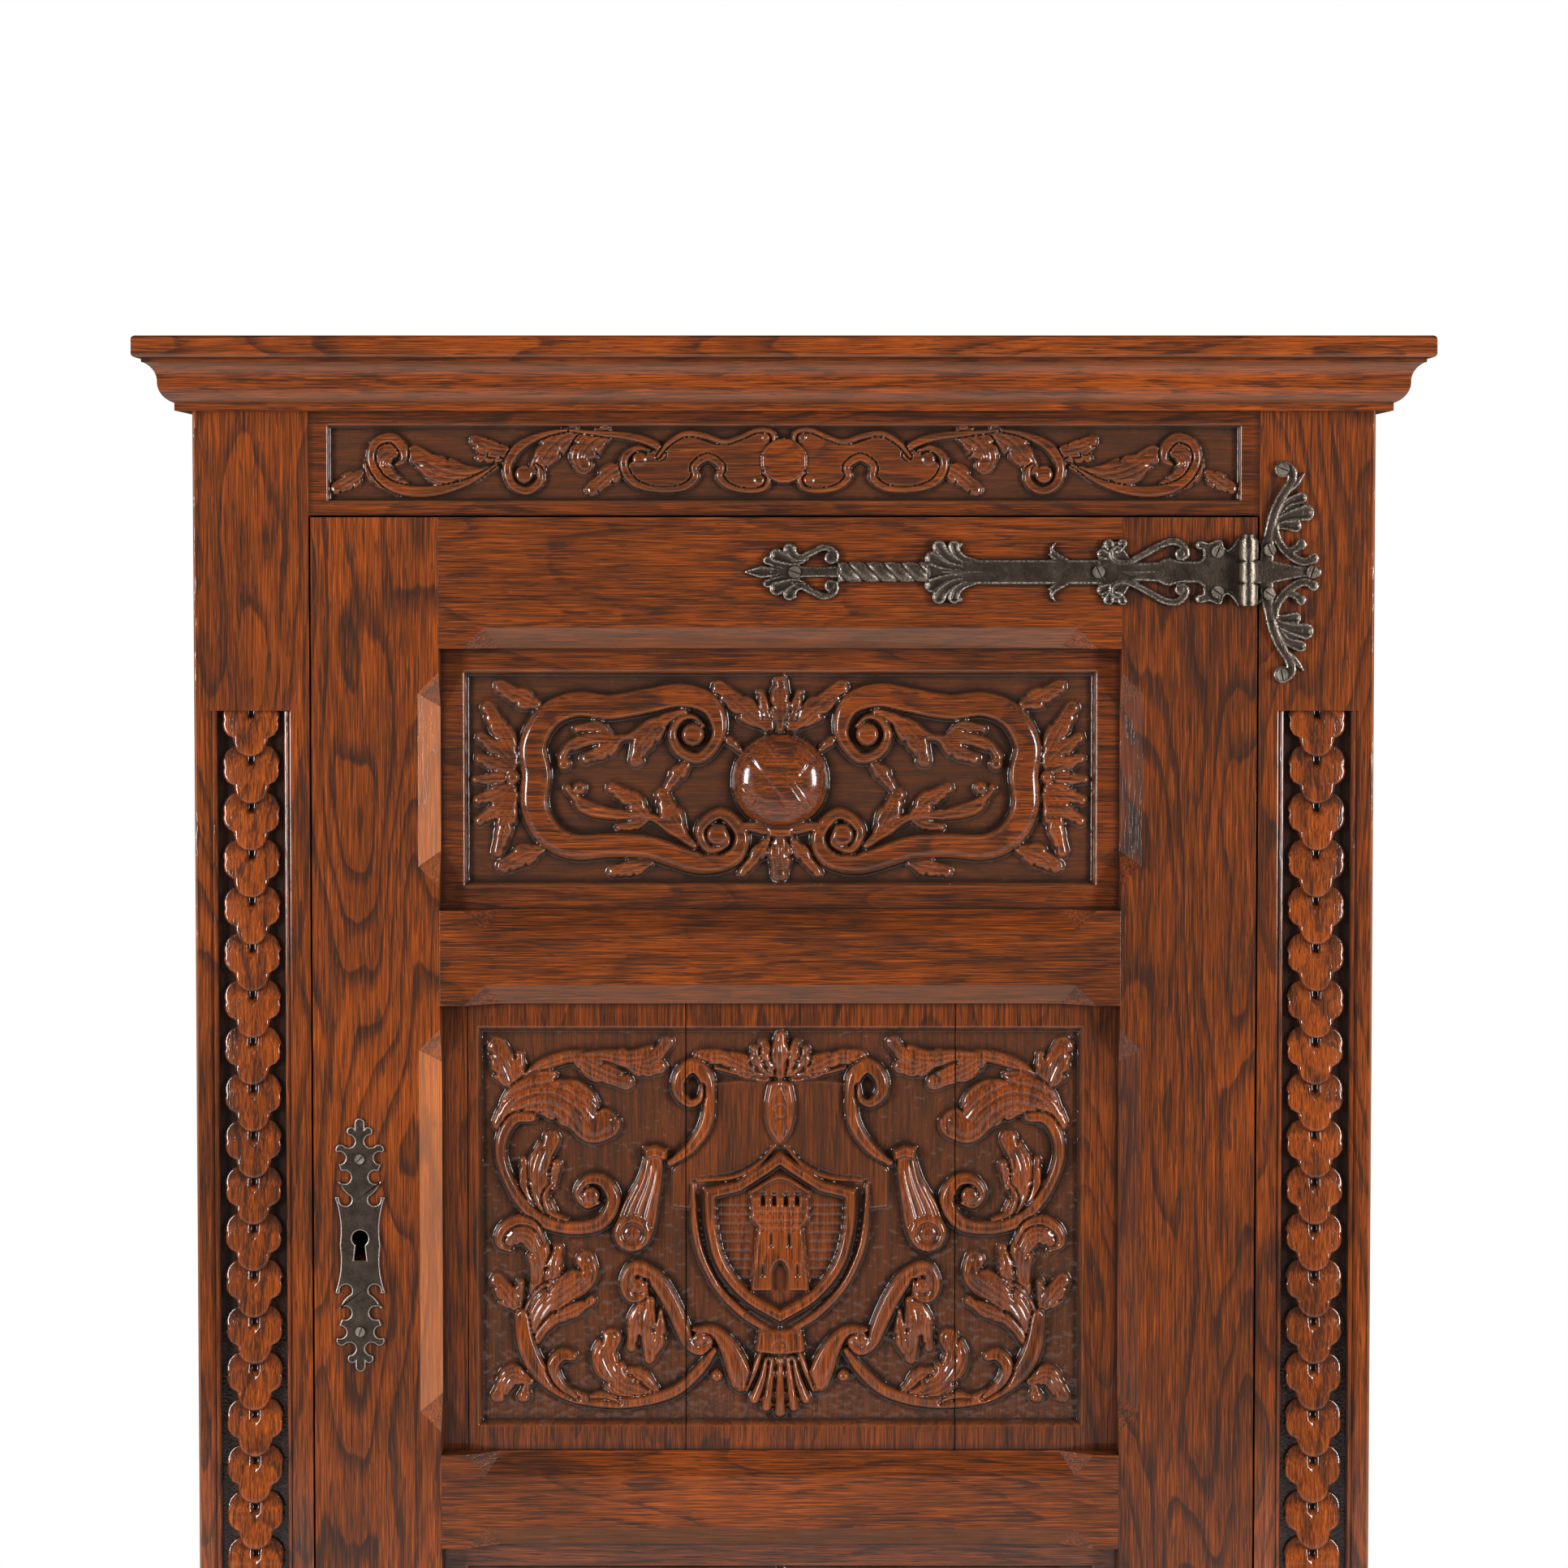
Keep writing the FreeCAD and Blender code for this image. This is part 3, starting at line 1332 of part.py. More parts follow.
save("lock_plate", lock_plate())
save("lock_plate_screws", [
    screw(lock_x, front_y - lock_plate_thickness, lock_z + rise, 1, turn, small_screw_head_radius,
          small_screw_shank_radius, small_screw_length)
    for rise, turn in ((lock_screw_rise, -45), (-lock_screw_rise, -70))])
save("lock_case", lock_case())
save("lock_cover", lock_cover())
save("lock_bolt", lock_bolt())
save("lock_spring", lock_spring())
save("lock_case_screws", [
    screw(x, lock_case_back, keyhole_z + rise, -1, screw_turns[0], small_screw_head_radius, small_screw_shank_radius,
          lock_case_depth + small_screw_length - 1)
    for x, rise in case_screw_places])
save("lock_keeper", lock_keeper())
save("lock_keeper_screws", [keeper_screw(bolt_z + rise) for rise in (keeper_screw_rise, -keeper_screw_rise)])


# ---- Drawer ----

drawer_side_inner = drawer_side_outer - drawer_side_thickness
drawer_side_top = drawer_side_bottom + drawer_side_height
drawer_floor = drawer_side_bottom + drawer_bottom_rise
drawer_floor_top = drawer_floor + drawer_bottom_thickness
joint_y = front_y + drawer_front_thickness - drawer_joint_depth
drawer_groove = drawer_side_thickness / 2


def drawer_floor_space(gap):
    """The room that the drawer's bottom board takes in its grooves."""
    return block(-drawer_side_inner - drawer_groove, drawer_side_inner + drawer_groove, joint_y, drawer_back_y,
                 drawer_floor - gap, drawer_floor_top + gap)


pull_places = [(side * (drawer_half - pull_inset), drawer_middle_z + pull_rise) for side in (-1, 1)]


def drawer_front():
    front = block(-drawer_half, drawer_half, front_y, front_y + drawer_front_thickness, drawer_bottom_z,
                  drawer_top_z)
    bed = carving_bed(0, drawer_middle_z, drawer_field_width, drawer_field_height, drawer_field_depth)
    side_slots = [grown(side, joint_clearance) for side in drawer_sides()]
    stem_holes = [rod((x, front_y, z), pull_stem_radius + joint_clearance, drawer_front_thickness, (0, 1, 0))
                  for x, z in pull_places]
    front = cut_away(front, [bed] + side_slots + stem_holes + [drawer_floor_space(joint_clearance)])
    boss = disc(0, drawer_middle_z, frieze_boss_radius, front_y, front_y + drawer_field_depth)
    return joined([front, boss])


def drawer_sides():
    side = block(drawer_side_inner, drawer_side_outer, joint_y, drawer_back_y, drawer_side_bottom, drawer_side_top)
    side = side.cut(drawer_floor_space(joint_clearance))
    return [side, mirrored_x(side)]


save("drawer_front", drawer_front())
save("drawer_sides", drawer_sides())
save("drawer_back", block(-drawer_side_inner, drawer_side_inner, drawer_back_y - drawer_side_thickness,
                          drawer_back_y, drawer_floor_top + joint_clearance, drawer_side_top))
save("drawer_bottom", drawer_floor_space(0))


# ---- Drop pulls ----

def pull_mount(x, z):
    """A scalloped back plate with two lugs, the pin between them, and the stem that goes through the drawer."""
    y1 = front_y
    y0 = y1 - pull_plate_thickness
    core = disc(x, z, pull_plate_radius * 0.7, y0, y1)
    petals = [disc(x + pull_plate_radius * 0.68 * math.cos(a), z + pull_plate_radius * 0.68 * math.sin(a),
                   pull_plate_radius * 0.32, y0, y1)
              for a in [2 * math.pi * i / 8 for i in range(8)]]
    pin_y = front_y - pull_pin_proud
    pieces = [core] + petals
    for side in (-1, 1):
        lug_x = x + side * pull_lug_spacing / 2 - pull_lug_thickness / 2
        pieces.append(rod((lug_x, pin_y, z), pull_lug_radius, pull_lug_thickness, (1, 0, 0)))
        pieces.append(block(lug_x, lug_x + pull_lug_thickness, pin_y, y1, z - pull_lug_radius, z + pull_lug_radius))
    pieces.append(rod((x - pull_lug_spacing / 2, pin_y, z), pull_pin_radius, pull_lug_spacing, (1, 0, 0)))
    pieces.append(rod((x, y0, z), pull_stem_radius, drawer_front_thickness + pull_plate_thickness, (0, 1, 0)))
    return joined(pieces)


def pull_drop(x, z):
    """A pear-shaped drop on an eye that turns on the pin."""
    pin_y = front_y - pull_pin_proud
    eye_width = pull_lug_spacing - pull_lug_thickness - 2 * slide_clearance
    eye = rod((x - eye_width / 2, pin_y, z), pull_lug_radius, eye_width, (1, 0, 0))
    neck_z = z - pull_lug_radius * 0.7
    tip_z = z - pull_drop_length
    belly_z = tip_z + pull_drop_radius * 1.1
    neck = 0.4 * eye_width
    steps = [
        (neck, neck_z),
        (neck, neck_z - 6),
        ((neck + 2.4, belly_z + 11), (pull_drop_radius, belly_z)),
        ((pull_drop_radius * 0.78, tip_z + 2.6), (pull_tip_radius, tip_z)),
        (0, tip_z),
        (0, neck_z),
    ]
    drop = revolved((0, neck_z), steps, x, pin_y)
    bore = rod((x - eye_width, pin_y, z), pull_pin_radius + hinge_pin_clearance, 2 * eye_width, (1, 0, 0))
    return joined([eye, drop]).cut(bore)


save("pull_plates", [pull_mount(x, z) for x, z in pull_places])
for pull_name, (pull_x, pull_z) in zip(("drop_pull_left", "drop_pull_right"), pull_places):
    save(pull_name, pull_drop(pull_x, pull_z))

print("height", round(total_height, 1), "door", round(door_right - door_left, 1), "by", round(door_height, 1))
print("hinge axis", round(hinge_axis_x, 2), round(hinge_axis_y, 2), "drawer depth", drawer_depth)
print("bolt", round(bolt_left, 2), round(bolt_y, 2), round(bolt_z, 2), "keyhole", round(lock_x, 2), round(keyhole_z, 2))
print("pulls", [(round(x, 2), round(front_y - pull_pin_proud, 2), round(z, 2)) for x, z in pull_places])
print("levels", round(floor_top, 1), [round(z, 1) for z in shelf_levels], "rails", round(base_rail_top, 1))
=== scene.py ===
import math
import bmesh
import bpy
import numpy as np
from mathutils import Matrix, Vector


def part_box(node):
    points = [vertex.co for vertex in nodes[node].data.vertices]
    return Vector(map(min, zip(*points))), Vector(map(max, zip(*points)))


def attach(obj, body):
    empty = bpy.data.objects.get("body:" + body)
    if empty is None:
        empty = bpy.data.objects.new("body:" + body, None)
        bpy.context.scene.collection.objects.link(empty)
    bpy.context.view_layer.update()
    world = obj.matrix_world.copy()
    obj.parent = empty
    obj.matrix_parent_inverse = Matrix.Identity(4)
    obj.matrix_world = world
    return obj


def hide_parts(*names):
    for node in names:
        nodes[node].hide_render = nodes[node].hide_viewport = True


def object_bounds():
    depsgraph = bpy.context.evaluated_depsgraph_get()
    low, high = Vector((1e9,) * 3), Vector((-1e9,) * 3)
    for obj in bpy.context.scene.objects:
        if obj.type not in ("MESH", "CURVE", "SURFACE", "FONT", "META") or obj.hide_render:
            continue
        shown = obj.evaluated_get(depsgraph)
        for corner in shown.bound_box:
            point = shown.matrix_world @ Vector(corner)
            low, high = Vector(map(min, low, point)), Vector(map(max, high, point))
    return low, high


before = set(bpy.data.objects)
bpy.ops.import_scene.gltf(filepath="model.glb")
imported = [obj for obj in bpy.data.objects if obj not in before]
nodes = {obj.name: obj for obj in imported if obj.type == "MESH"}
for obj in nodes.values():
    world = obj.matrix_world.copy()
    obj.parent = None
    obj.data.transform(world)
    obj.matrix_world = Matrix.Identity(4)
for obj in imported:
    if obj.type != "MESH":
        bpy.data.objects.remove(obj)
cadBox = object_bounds()
mm = 0.001
print("frame loaded:", len(nodes), "nodes")

studio = {
    "imagePixels": 1932,  # side of the square render
    "focalPixels": 3912,
    "axisRise": 151,  # how far the lens axis stands above the middle of the render, in its pixels
    "sensor": 36,
    "distance": 2.418,  # from the lens to the front of the cabinet
    "eyeDrop": 0.1584,  # from the top of the cornice down to the lens
    "tilt": 2.06,  # degrees down
    "aim": 0.6,  # the lamps point at this share of the height
    "sideLamp": {"size": (0.6, 1.3), "watts": 128, "place": (2.8, -2.2, 1.5)},
    "frontLamp": {"size": (2.4, 1.0), "watts": 36, "place": (0.0, -2.8, 3.3)},
    "backdropStrength": 1.0,
    "ambientStrength": 0.18,
    "glossStrength": 0.06,
    "floorReach": (3.0, 3.0, 1.0),  # to each side, before and behind the middle
    "floorShade": (0.8, 0.8, 0.8, 1),
    "floorRoughness": 0.8,
    "floorGloss": 1.0,  # how bright the floor stands in a reflection
}


def newNode(tree, kind, inputs=None, **settings):
    node = tree.nodes.new(kind)
    for name, value in settings.items():
        setattr(node, name, value)
    for name, value in (inputs or {}).items():
        if isinstance(value, bpy.types.NodeSocket):
            tree.links.new(value, node.inputs[name])
        else:
            node.inputs[name].default_value = value
    return node


def newMaterial(name):
    material = bpy.data.materials.new(name)
    material.use_nodes = True
    return material, material.node_tree, material.node_tree.nodes["Principled BSDF"]


def link(name, data):
    thing = bpy.data.objects.new(name, data)
    bpy.context.scene.collection.objects.link(thing)
    return thing


def addLamp(name, plan, place, target):
    data = bpy.data.lights.new(name, "AREA")
    data.shape = "RECTANGLE"
    data.size, data.size_y = plan["size"]
    data.energy = plan["watts"]
    lamp = link(name, data)
    lamp.location = place
    lamp.rotation_euler = (Vector(target) - Vector(place)).to_track_quat("-Z", "Y").to_euler()
    return lamp


def setCamera(plan, frontY, top):
    data = bpy.data.cameras.new("camera")
    data.sensor_width = plan["sensor"]
    data.lens = plan["sensor"] * plan["focalPixels"] / plan["imagePixels"]
    data.shift_y = -plan["axisRise"] / plan["imagePixels"]
    camera = link("camera", data)
    camera.location = (0, frontY - plan["distance"], top - plan["eyeDrop"])
    camera.rotation_euler = (math.radians(90 - plan["tilt"]), 0, 0)
    bpy.context.scene.camera = camera


def setLamps(plan, frontY, top):
    target = (0, frontY, top * plan["aim"])
    x, y, z = plan["sideLamp"]["place"]
    addLamp("left_lamp", plan["sideLamp"], (-x, y, z), target)
    addLamp("right_lamp", plan["sideLamp"], (x, y, z), target)
    frontLamp = addLamp("front_lamp", plan["frontLamp"], plan["frontLamp"]["place"], target)
    frontLamp.visible_glossy = False


def setWorld(plan):
    # white to the lens, dim to the object
    world = bpy.data.worlds.new("studio")
    world.use_nodes = True
    tree = world.node_tree
    tree.nodes.clear()
    path = newNode(tree, "ShaderNodeLightPath")
    unseen = newNode(tree, "ShaderNodeMapRange", {
        "Value": path.outputs["Is Glossy Ray"],
        "To Min": plan["ambientStrength"], "To Max": plan["glossStrength"]})
    strength = newNode(tree, "ShaderNodeMapRange", {
        "Value": path.outputs["Is Camera Ray"],
        "To Min": unseen.outputs[0], "To Max": plan["backdropStrength"]})
    sky = newNode(tree, "ShaderNodeBackground", {"Color": (1, 1, 1, 1), "Strength": strength.outputs[0]})
    newNode(tree, "ShaderNodeOutputWorld", {"Surface": sky.outputs[0]})
    bpy.context.scene.world = world


def layFloor(plan):
    # it takes the shadow, and stands white in the varnish and the iron
    material, tree, shader = newMaterial("pale_floor")
    shader.inputs["Base Color"].default_value = plan["floorShade"]
    shader.inputs["Roughness"].default_value = plan["floorRoughness"]
    path = newNode(tree, "ShaderNodeLightPath")
    bright = newNode(tree, "ShaderNodeEmission", {"Strength": plan["floorGloss"]})
    mixed = newNode(tree, "ShaderNodeMixShader", {
        0: path.outputs["Is Glossy Ray"], 1: shader.outputs[0], 2: bright.outputs[0]})
    tree.links.new(mixed.outputs[0], tree.nodes["Material Output"].inputs["Surface"])
    mesh = bpy.data.meshes.new("floor")
    side, near, far = plan["floorReach"]
    corners = [(-side, -near, 0), (side, -near, 0), (side, far, 0), (-side, far, 0)]
    mesh.from_pydata(corners, [], [(0, 1, 2, 3)])
    mesh.materials.append(material)
    link("floor", mesh)


bpy.context.scene.view_settings.view_transform = "Standard"
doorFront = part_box("door_lock_stile")[0].y
corniceTop = Vector(cadBox[1]).z
setCamera(studio, doorFront, corniceTop)
setLamps(studio, doorFront, corniceTop)
setWorld(studio)
layFloor(studio)
print("studio set")

oak = {
    "grainAxes": {"x": (2, 0, 1), "y": (0, 1, 2), "z": (0, 2, 1)},  # what runs across, along and through
    "shades": [(0.0, (0.030, 0.0108, 0.0056)), (0.30, (0.092, 0.0215, 0.0050)),
               (0.55, (0.194, 0.0385, 0.0052)), (0.80, (0.298, 0.0640, 0.0070)),
               (1.0, (0.400, 0.1020, 0.0150))],
    # how fine each pattern is across, along and through the board, then its detail and roughness
    "patterns": {
        "bend": ((8.0, 1.7, 8.0), 2.0, 0.55),
        "waver": ((45.0, 9.0, 45.0), 2.0, 0.55),
        "lines": ((520.0, 9.0, 520.0), 2.0, 0.6),
        "dashes": ((560.0, 34.0, 560.0), 2.0, 0.6),
        "streaks": ((640.0, 11.0, 640.0), 4.0, 0.7),
        "clouds": ((13.0, 5.0, 13.0), 4.0, 0.62),
        "fibre": ((1100.0, 26.0, 1100.0), 3.0, 0.65),
    },
    "weights": {"streaks": 0.64, "clouds": 0.65, "fibre": 1.45},
    "rings": (19.0, 1.1),  # how many, from the bend and from the waver
    "earlyWood": (0.07, 0.42, 0.10),  # where in a ring it is full, gone, and starts to go
    "lineLimits": (0.555, 0.625),
    "lineShade": -0.13,
    "middleShade": 0.42,
    "poreLimits": (0.600, -0.095, 0.05),  # in late wood, what early wood adds, and how soft
    "poreShare": 0.66,
    "pore": (0.022, 0.0105, 0.0075, 1),
    "ground": ((0.040, 0.0172, 0.0090, 1), 0.74),  # colour, and how much of it
    "shadowGround": ((0.010, 0.0062, 0.0048, 1), 0.9),  # painted shade beside and under the scales
    "groundLimits": (0.25, 0.80),  # of the relief; past the ground's own darker colour it darkens the lower relief too, as painted shade
    "groundRoughness": 0.22,
    "stipple": (520.0, 2.0, 5.0),  # fineness, detail and height
    # the colour of painted shade and grime in hollows and nooks
    "shadeAndGrimeTint": (0.011, 0.0058, 0.0042, 1),
    # the paler colour of crests: wear, and partly a painted highlight
    "wornAndLit": (0.30, 0.115, 0.045, 1),
    "nookReach": 0.006,
    "nook": (0.45, 0.92, 0.85, 0.0),  # light that reaches a corner, and the painted shade and grime there
    "underSheen": (0.130, 0.069, 0.042, 1),  # painted reflection of the pale floor on the undersides
    "underSheenLimits": (-0.35, -0.66),
    "underSheenAmount": 0.42,
    "sheen": (0.47, 0.158, 0.050, 1),  # painted light: a chamfer turned to the right, painted pale as if lit
    "sheenGain": (2.0, 2.5, 4.5, 1),
    "sheenShare": 0.40,
    "sheenLimits": (-0.28, -0.46),
    "roughness": (0.44, 0.60),
    "carvedVarnish": (0.80, 0.13),  # weight and roughness
    "plainVarnish": (0.52, 0.20),
    "gloss": 0.05,
    "woodBump": (0.6, 0.0002),  # strength and height of the grain in the wood, and in the varnish over it
    "varnishBump": (0.3, 0.0001),
}


midRange = (0.3, 0.7)  # where most of a noise pattern lies
nookRays = 6


def reckon(tree, operation, a, b=0.0, c=0.0):
    return newNode(tree, "ShaderNodeMath", {0: a, 1: b, 2: c}, operation=operation).outputs[0]


def ramp(tree, value, low, high, start=0.0, end=1.0):
    return newNode(tree, "ShaderNodeMapRange", {
        "Value": value, "From Min": low, "From Max": high, "To Min": start, "To Max": end}).outputs[0]


def noise(tree, place, scale, detail, roughness):
    return newNode(tree, "ShaderNodeTexNoise", {
        "Vector": place, "Scale": scale, "Detail": detail, "Roughness": roughness}).outputs["Fac"]


def readMarks(tree, *labels):
    return [newNode(tree, "ShaderNodeAttribute", attribute_name=label).outputs["Fac"] for label in labels]


def nookShadeAndGrime(tree, plan):
    # painted shade and grime where little light comes
    nook = newNode(tree, "ShaderNodeAmbientOcclusion", {"Distance": plan["nookReach"]}, samples=nookRays)
    return ramp(tree, nook.outputs["AO"], *plan["nook"])


def addBump(tree, height, amount, socket):
    strength, distance = amount
    bump = newNode(tree, "ShaderNodeBump", {"Height": height, "Strength": strength, "Distance": distance})
    tree.links.new(bump.outputs[0], socket)


def blend(tree, amount, under, over, way="MIX"):
    mixed = newNode(tree, "ShaderNodeMix", {0: amount, 6: under, 7: over}, data_type="RGBA", blend_type=way)
    return mixed.outputs[2]


def oakFigureGroup(plan):
    # the grain of one log; each board is cut from another place of it
    tree = bpy.data.node_groups.new("oak_figure", "ShaderNodeTree")
    sockets = {"INPUT": {"Place": "Vector", "Tone": "Float", "Figure": "Float"},
               "OUTPUT": {"Color": "Color", "Pores": "Float", "Fibre": "Float"}}
    for way, kinds in sockets.items():
        for name, kind in kinds.items():
            tree.interface.new_socket(name, in_out=way, socket_type="NodeSocket" + kind)
    given = newNode(tree, "NodeGroupInput")
    made = {}
    for name, (fineness, detail, roughness) in plan["patterns"].items():
        stretched = newNode(tree, "ShaderNodeVectorMath", {
            0: given.outputs["Place"], 1: fineness}, operation="MULTIPLY")
        made[name] = noise(tree, stretched.outputs[0], 1.0, detail, roughness)
    ringCount, wavering = plan["rings"]
    bent = reckon(tree, "MULTIPLY", made["bend"], ringCount)
    rings = reckon(tree, "MULTIPLY_ADD", made["waver"], wavering, bent)
    part = reckon(tree, "FRACT", rings)
    full, gone, going = plan["earlyWood"]
    early = reckon(tree, "MULTIPLY", ramp(tree, part, 0.0, full), ramp(tree, part, gone, going))
    figure = reckon(tree, "MULTIPLY", given.outputs["Figure"], -1.0)
    amount = reckon(tree, "MULTIPLY_ADD", early, figure, plan["middleShade"])
    for name, weight in plan["weights"].items():
        amount = reckon(tree, "MULTIPLY_ADD", reckon(tree, "SUBTRACT", made[name], 0.5), weight, amount)
    lines = ramp(tree, made["lines"], *plan["lineLimits"])
    amount = reckon(tree, "MULTIPLY_ADD", lines, plan["lineShade"], amount)
    amount = reckon(tree, "ADD", amount, given.outputs["Tone"])
    shades = newNode(tree, "ShaderNodeValToRGB", {0: amount})
    band = shades.color_ramp
    while len(band.elements) < len(plan["shades"]):
        band.elements.new(0.5)
    for element, (position, shade) in zip(band.elements, plan["shades"]):
        element.position = position
        element.color = shade + (1,)
    late, earlier, softness = plan["poreLimits"]
    limit = reckon(tree, "MULTIPLY_ADD", early, earlier, late)
    pores = ramp(tree, reckon(tree, "SUBTRACT", made["dashes"], limit), 0.0, softness)
    dark = blend(tree, reckon(tree, "MULTIPLY", pores, plan["poreShare"]), shades.outputs[0], plan["pore"])
    newNode(tree, "NodeGroupOutput", {"Color": dark, "Pores": pores, "Fibre": made["fibre"]})
    return tree


oakFigure = oakFigureGroup(oak)


# painted light: chamfers turned to the right are painted pale, as if a lamp there lit them
def litChamfers(tree, color, plan):
    # a chamfer's normal points as far sideways as forwards, so that x times y is about -0.5
    normal = newNode(tree, "ShaderNodeTexCoord").outputs["Normal"]
    turns = newNode(tree, "ShaderNodeSeparateXYZ", {0: normal})
    slant = reckon(tree, "MULTIPLY", turns.outputs[0], turns.outputs[1])
    pale = ramp(tree, slant, *plan["sheenLimits"])
    bright = blend(tree, pale, color, plan["sheenGain"], "MULTIPLY")
    return blend(tree, reckon(tree, "MULTIPLY", pale, plan["sheenShare"]), bright, plan["sheen"])


def oakMaterial(name, axis, tone, figure, cut, carved=False, black=False, sheen=False, plan=oak):
    # axis is the way the grain runs, and cut is the place in the log
    material, tree, shader = newMaterial(name)
    place = newNode(tree, "ShaderNodeTexCoord").outputs["Object"]
    shifted = newNode(tree, "ShaderNodeVectorMath", {0: place, 1: cut}, operation="ADD")
    parts = newNode(tree, "ShaderNodeSeparateXYZ", {0: shifted.outputs[0]})
    order = plan["grainAxes"][axis]
    turned = newNode(tree, "ShaderNodeCombineXYZ", {i: parts.outputs[order[i]] for i in range(3)})
    grain = newNode(tree, "ShaderNodeGroup", {"Place": turned.outputs[0], "Tone": tone, "Figure": figure},
                    node_tree=oakFigure)
    color, pores, fibre = (grain.outputs[label] for label in ("Color", "Pores", "Fibre"))
    rough = ramp(tree, fibre, *midRange, *plan["roughness"])
    height = reckon(tree, "MULTIPLY_ADD", fibre, 0.5, reckon(tree, "MULTIPLY", pores, -1.0))
    if carved:
        relief, hollow, crest = readMarks(tree, "relief", "hollow", "crest")
        ground, darkness = plan["shadowGround" if black else "ground"]
        deep = ramp(tree, relief, *plan["groundLimits"], darkness, 0.0)
        # the ground's own darker colour, painted shade and grime in hollows, and wear with a painted
        # highlight on crests
        tints = [(deep, ground), (hollow, plan["shadeAndGrimeTint"]), (crest, plan["wornAndLit"])]
        fineness, detail, pitHeight = plan["stipple"]
        pits = reckon(tree, "MULTIPLY", noise(tree, place, fineness, detail, 0.5), deep)
        height = reckon(tree, "MULTIPLY_ADD", pits, pitHeight, height)
        shade = reckon(tree, "MAXIMUM", deep, hollow)
        rough = reckon(tree, "MULTIPLY_ADD", shade, plan["groundRoughness"], rough)
    else:
        # painted shade and grime in nooks, from ambient occlusion
        shadeAndGrime = nookShadeAndGrime(tree, plan)
        # painted reflection of the pale floor on faces turned down
        facing = newNode(tree, "ShaderNodeSeparateXYZ", {
            0: newNode(tree, "ShaderNodeNewGeometry").outputs["Normal"]})
        under = ramp(tree, facing.outputs[2], *plan["underSheenLimits"], 0.0, plan["underSheenAmount"])
        tints = [(under, plan["underSheen"]), (shadeAndGrime, plan["shadeAndGrimeTint"])]
        if sheen:
            color = litChamfers(tree, color, plan)
    for amount, tint in tints:
        color = blend(tree, amount, color, tint)
    addBump(tree, height, plan["woodBump"], shader.inputs["Normal"])
    addBump(tree, height, plan["varnishBump"], shader.inputs["Coat Normal"])
    tree.links.new(color, shader.inputs["Base Color"])
    tree.links.new(rough, shader.inputs["Roughness"])
    varnish = plan["carvedVarnish" if carved else "plainVarnish"]
    shader.inputs["Coat Weight"].default_value, shader.inputs["Coat Roughness"].default_value = varnish
    shader.inputs["Specular IOR Level"].default_value = plan["gloss"]
    return material


iron = {
    # base colour, its clouds, roughness, how fine the pits are, and how metallic
    "cast_iron": ((0.026, 0.0185, 0.0135, 1), (0.095, 0.066, 0.047, 1), 0.30, 700, 0.75),
    "pale_steel": ((0.20, 0.155, 0.120, 1), (0.50, 0.42, 0.35, 1), 0.30, 700, 0.9),
    "knuckle_iron": ((0.055, 0.043, 0.034, 1), (0.20, 0.160, 0.130, 1), 0.28, 700, 0.9),
    "worn_iron": ((0.27, 0.225, 0.19, 1), (0.27, 0.225, 0.19, 1), 0.40, 900, 0.7),
    "clouds": (110.0, 4.0, 0.65),  # fineness, detail and roughness of the pattern
    "pits": (3.0, 0.6),  # detail and roughness
    "pitLimits": (0.40, 0.62),
    # paler iron on crests: wear, and a painted glint
    "wornAndLit": (0.46, 0.40, 0.34, 1),
    # painted shade in hollows and nooks
    "paintedShade": (0.008, 0.0065, 0.0055, 1),
    "nookReach": 0.0022,
    "nook": (0.35, 0.85, 0.95, 0.0),
    "polish": (-0.08, 0.12),  # how far the roughness strays
    "gloss": 0.8,
    "bump": (0.7, 0.0005),  # strength and height
}


def metalMaterial(name, plan):
    base, cloud, roughness, fineness, metallic = plan[name]
    material, tree, shader = newMaterial(name)
    place = newNode(tree, "ShaderNodeTexCoord").outputs["Object"]
    clouds = noise(tree, place, *plan["clouds"])
    pits = noise(tree, place, fineness, *plan["pits"])
    crest, hollow = readMarks(tree, "crest", "hollow")
    # painted glint and wear on crests
    sheen = reckon(tree, "MULTIPLY", crest, ramp(tree, pits, *plan["pitLimits"]))
    # painted shade and grime in nooks, from ambient occlusion
    shadeAndGrime = nookShadeAndGrime(tree, plan)
    color = blend(tree, clouds, base, cloud)
    for amount, tint in ((sheen, plan["wornAndLit"]), (hollow, plan["paintedShade"]), (shadeAndGrime, plan["paintedShade"])):
        color = blend(tree, amount, color, tint)
    rough = ramp(tree, clouds, *midRange, *(roughness + change for change in plan["polish"]))
    addBump(tree, pits, plan["bump"], shader.inputs["Normal"])
    tree.links.new(color, shader.inputs["Base Color"])
    tree.links.new(rough, shader.inputs["Roughness"])
    shader.inputs["Metallic"].default_value = metallic
    shader.inputs["Specular IOR Level"].default_value = plan["gloss"]
    return material


castIron, paleSteel, knuckleIron, wornIron = (
    metalMaterial(name, iron) for name in ("cast_iron", "pale_steel", "knuckle_iron", "worn_iron"))
print("oak and iron mixed")

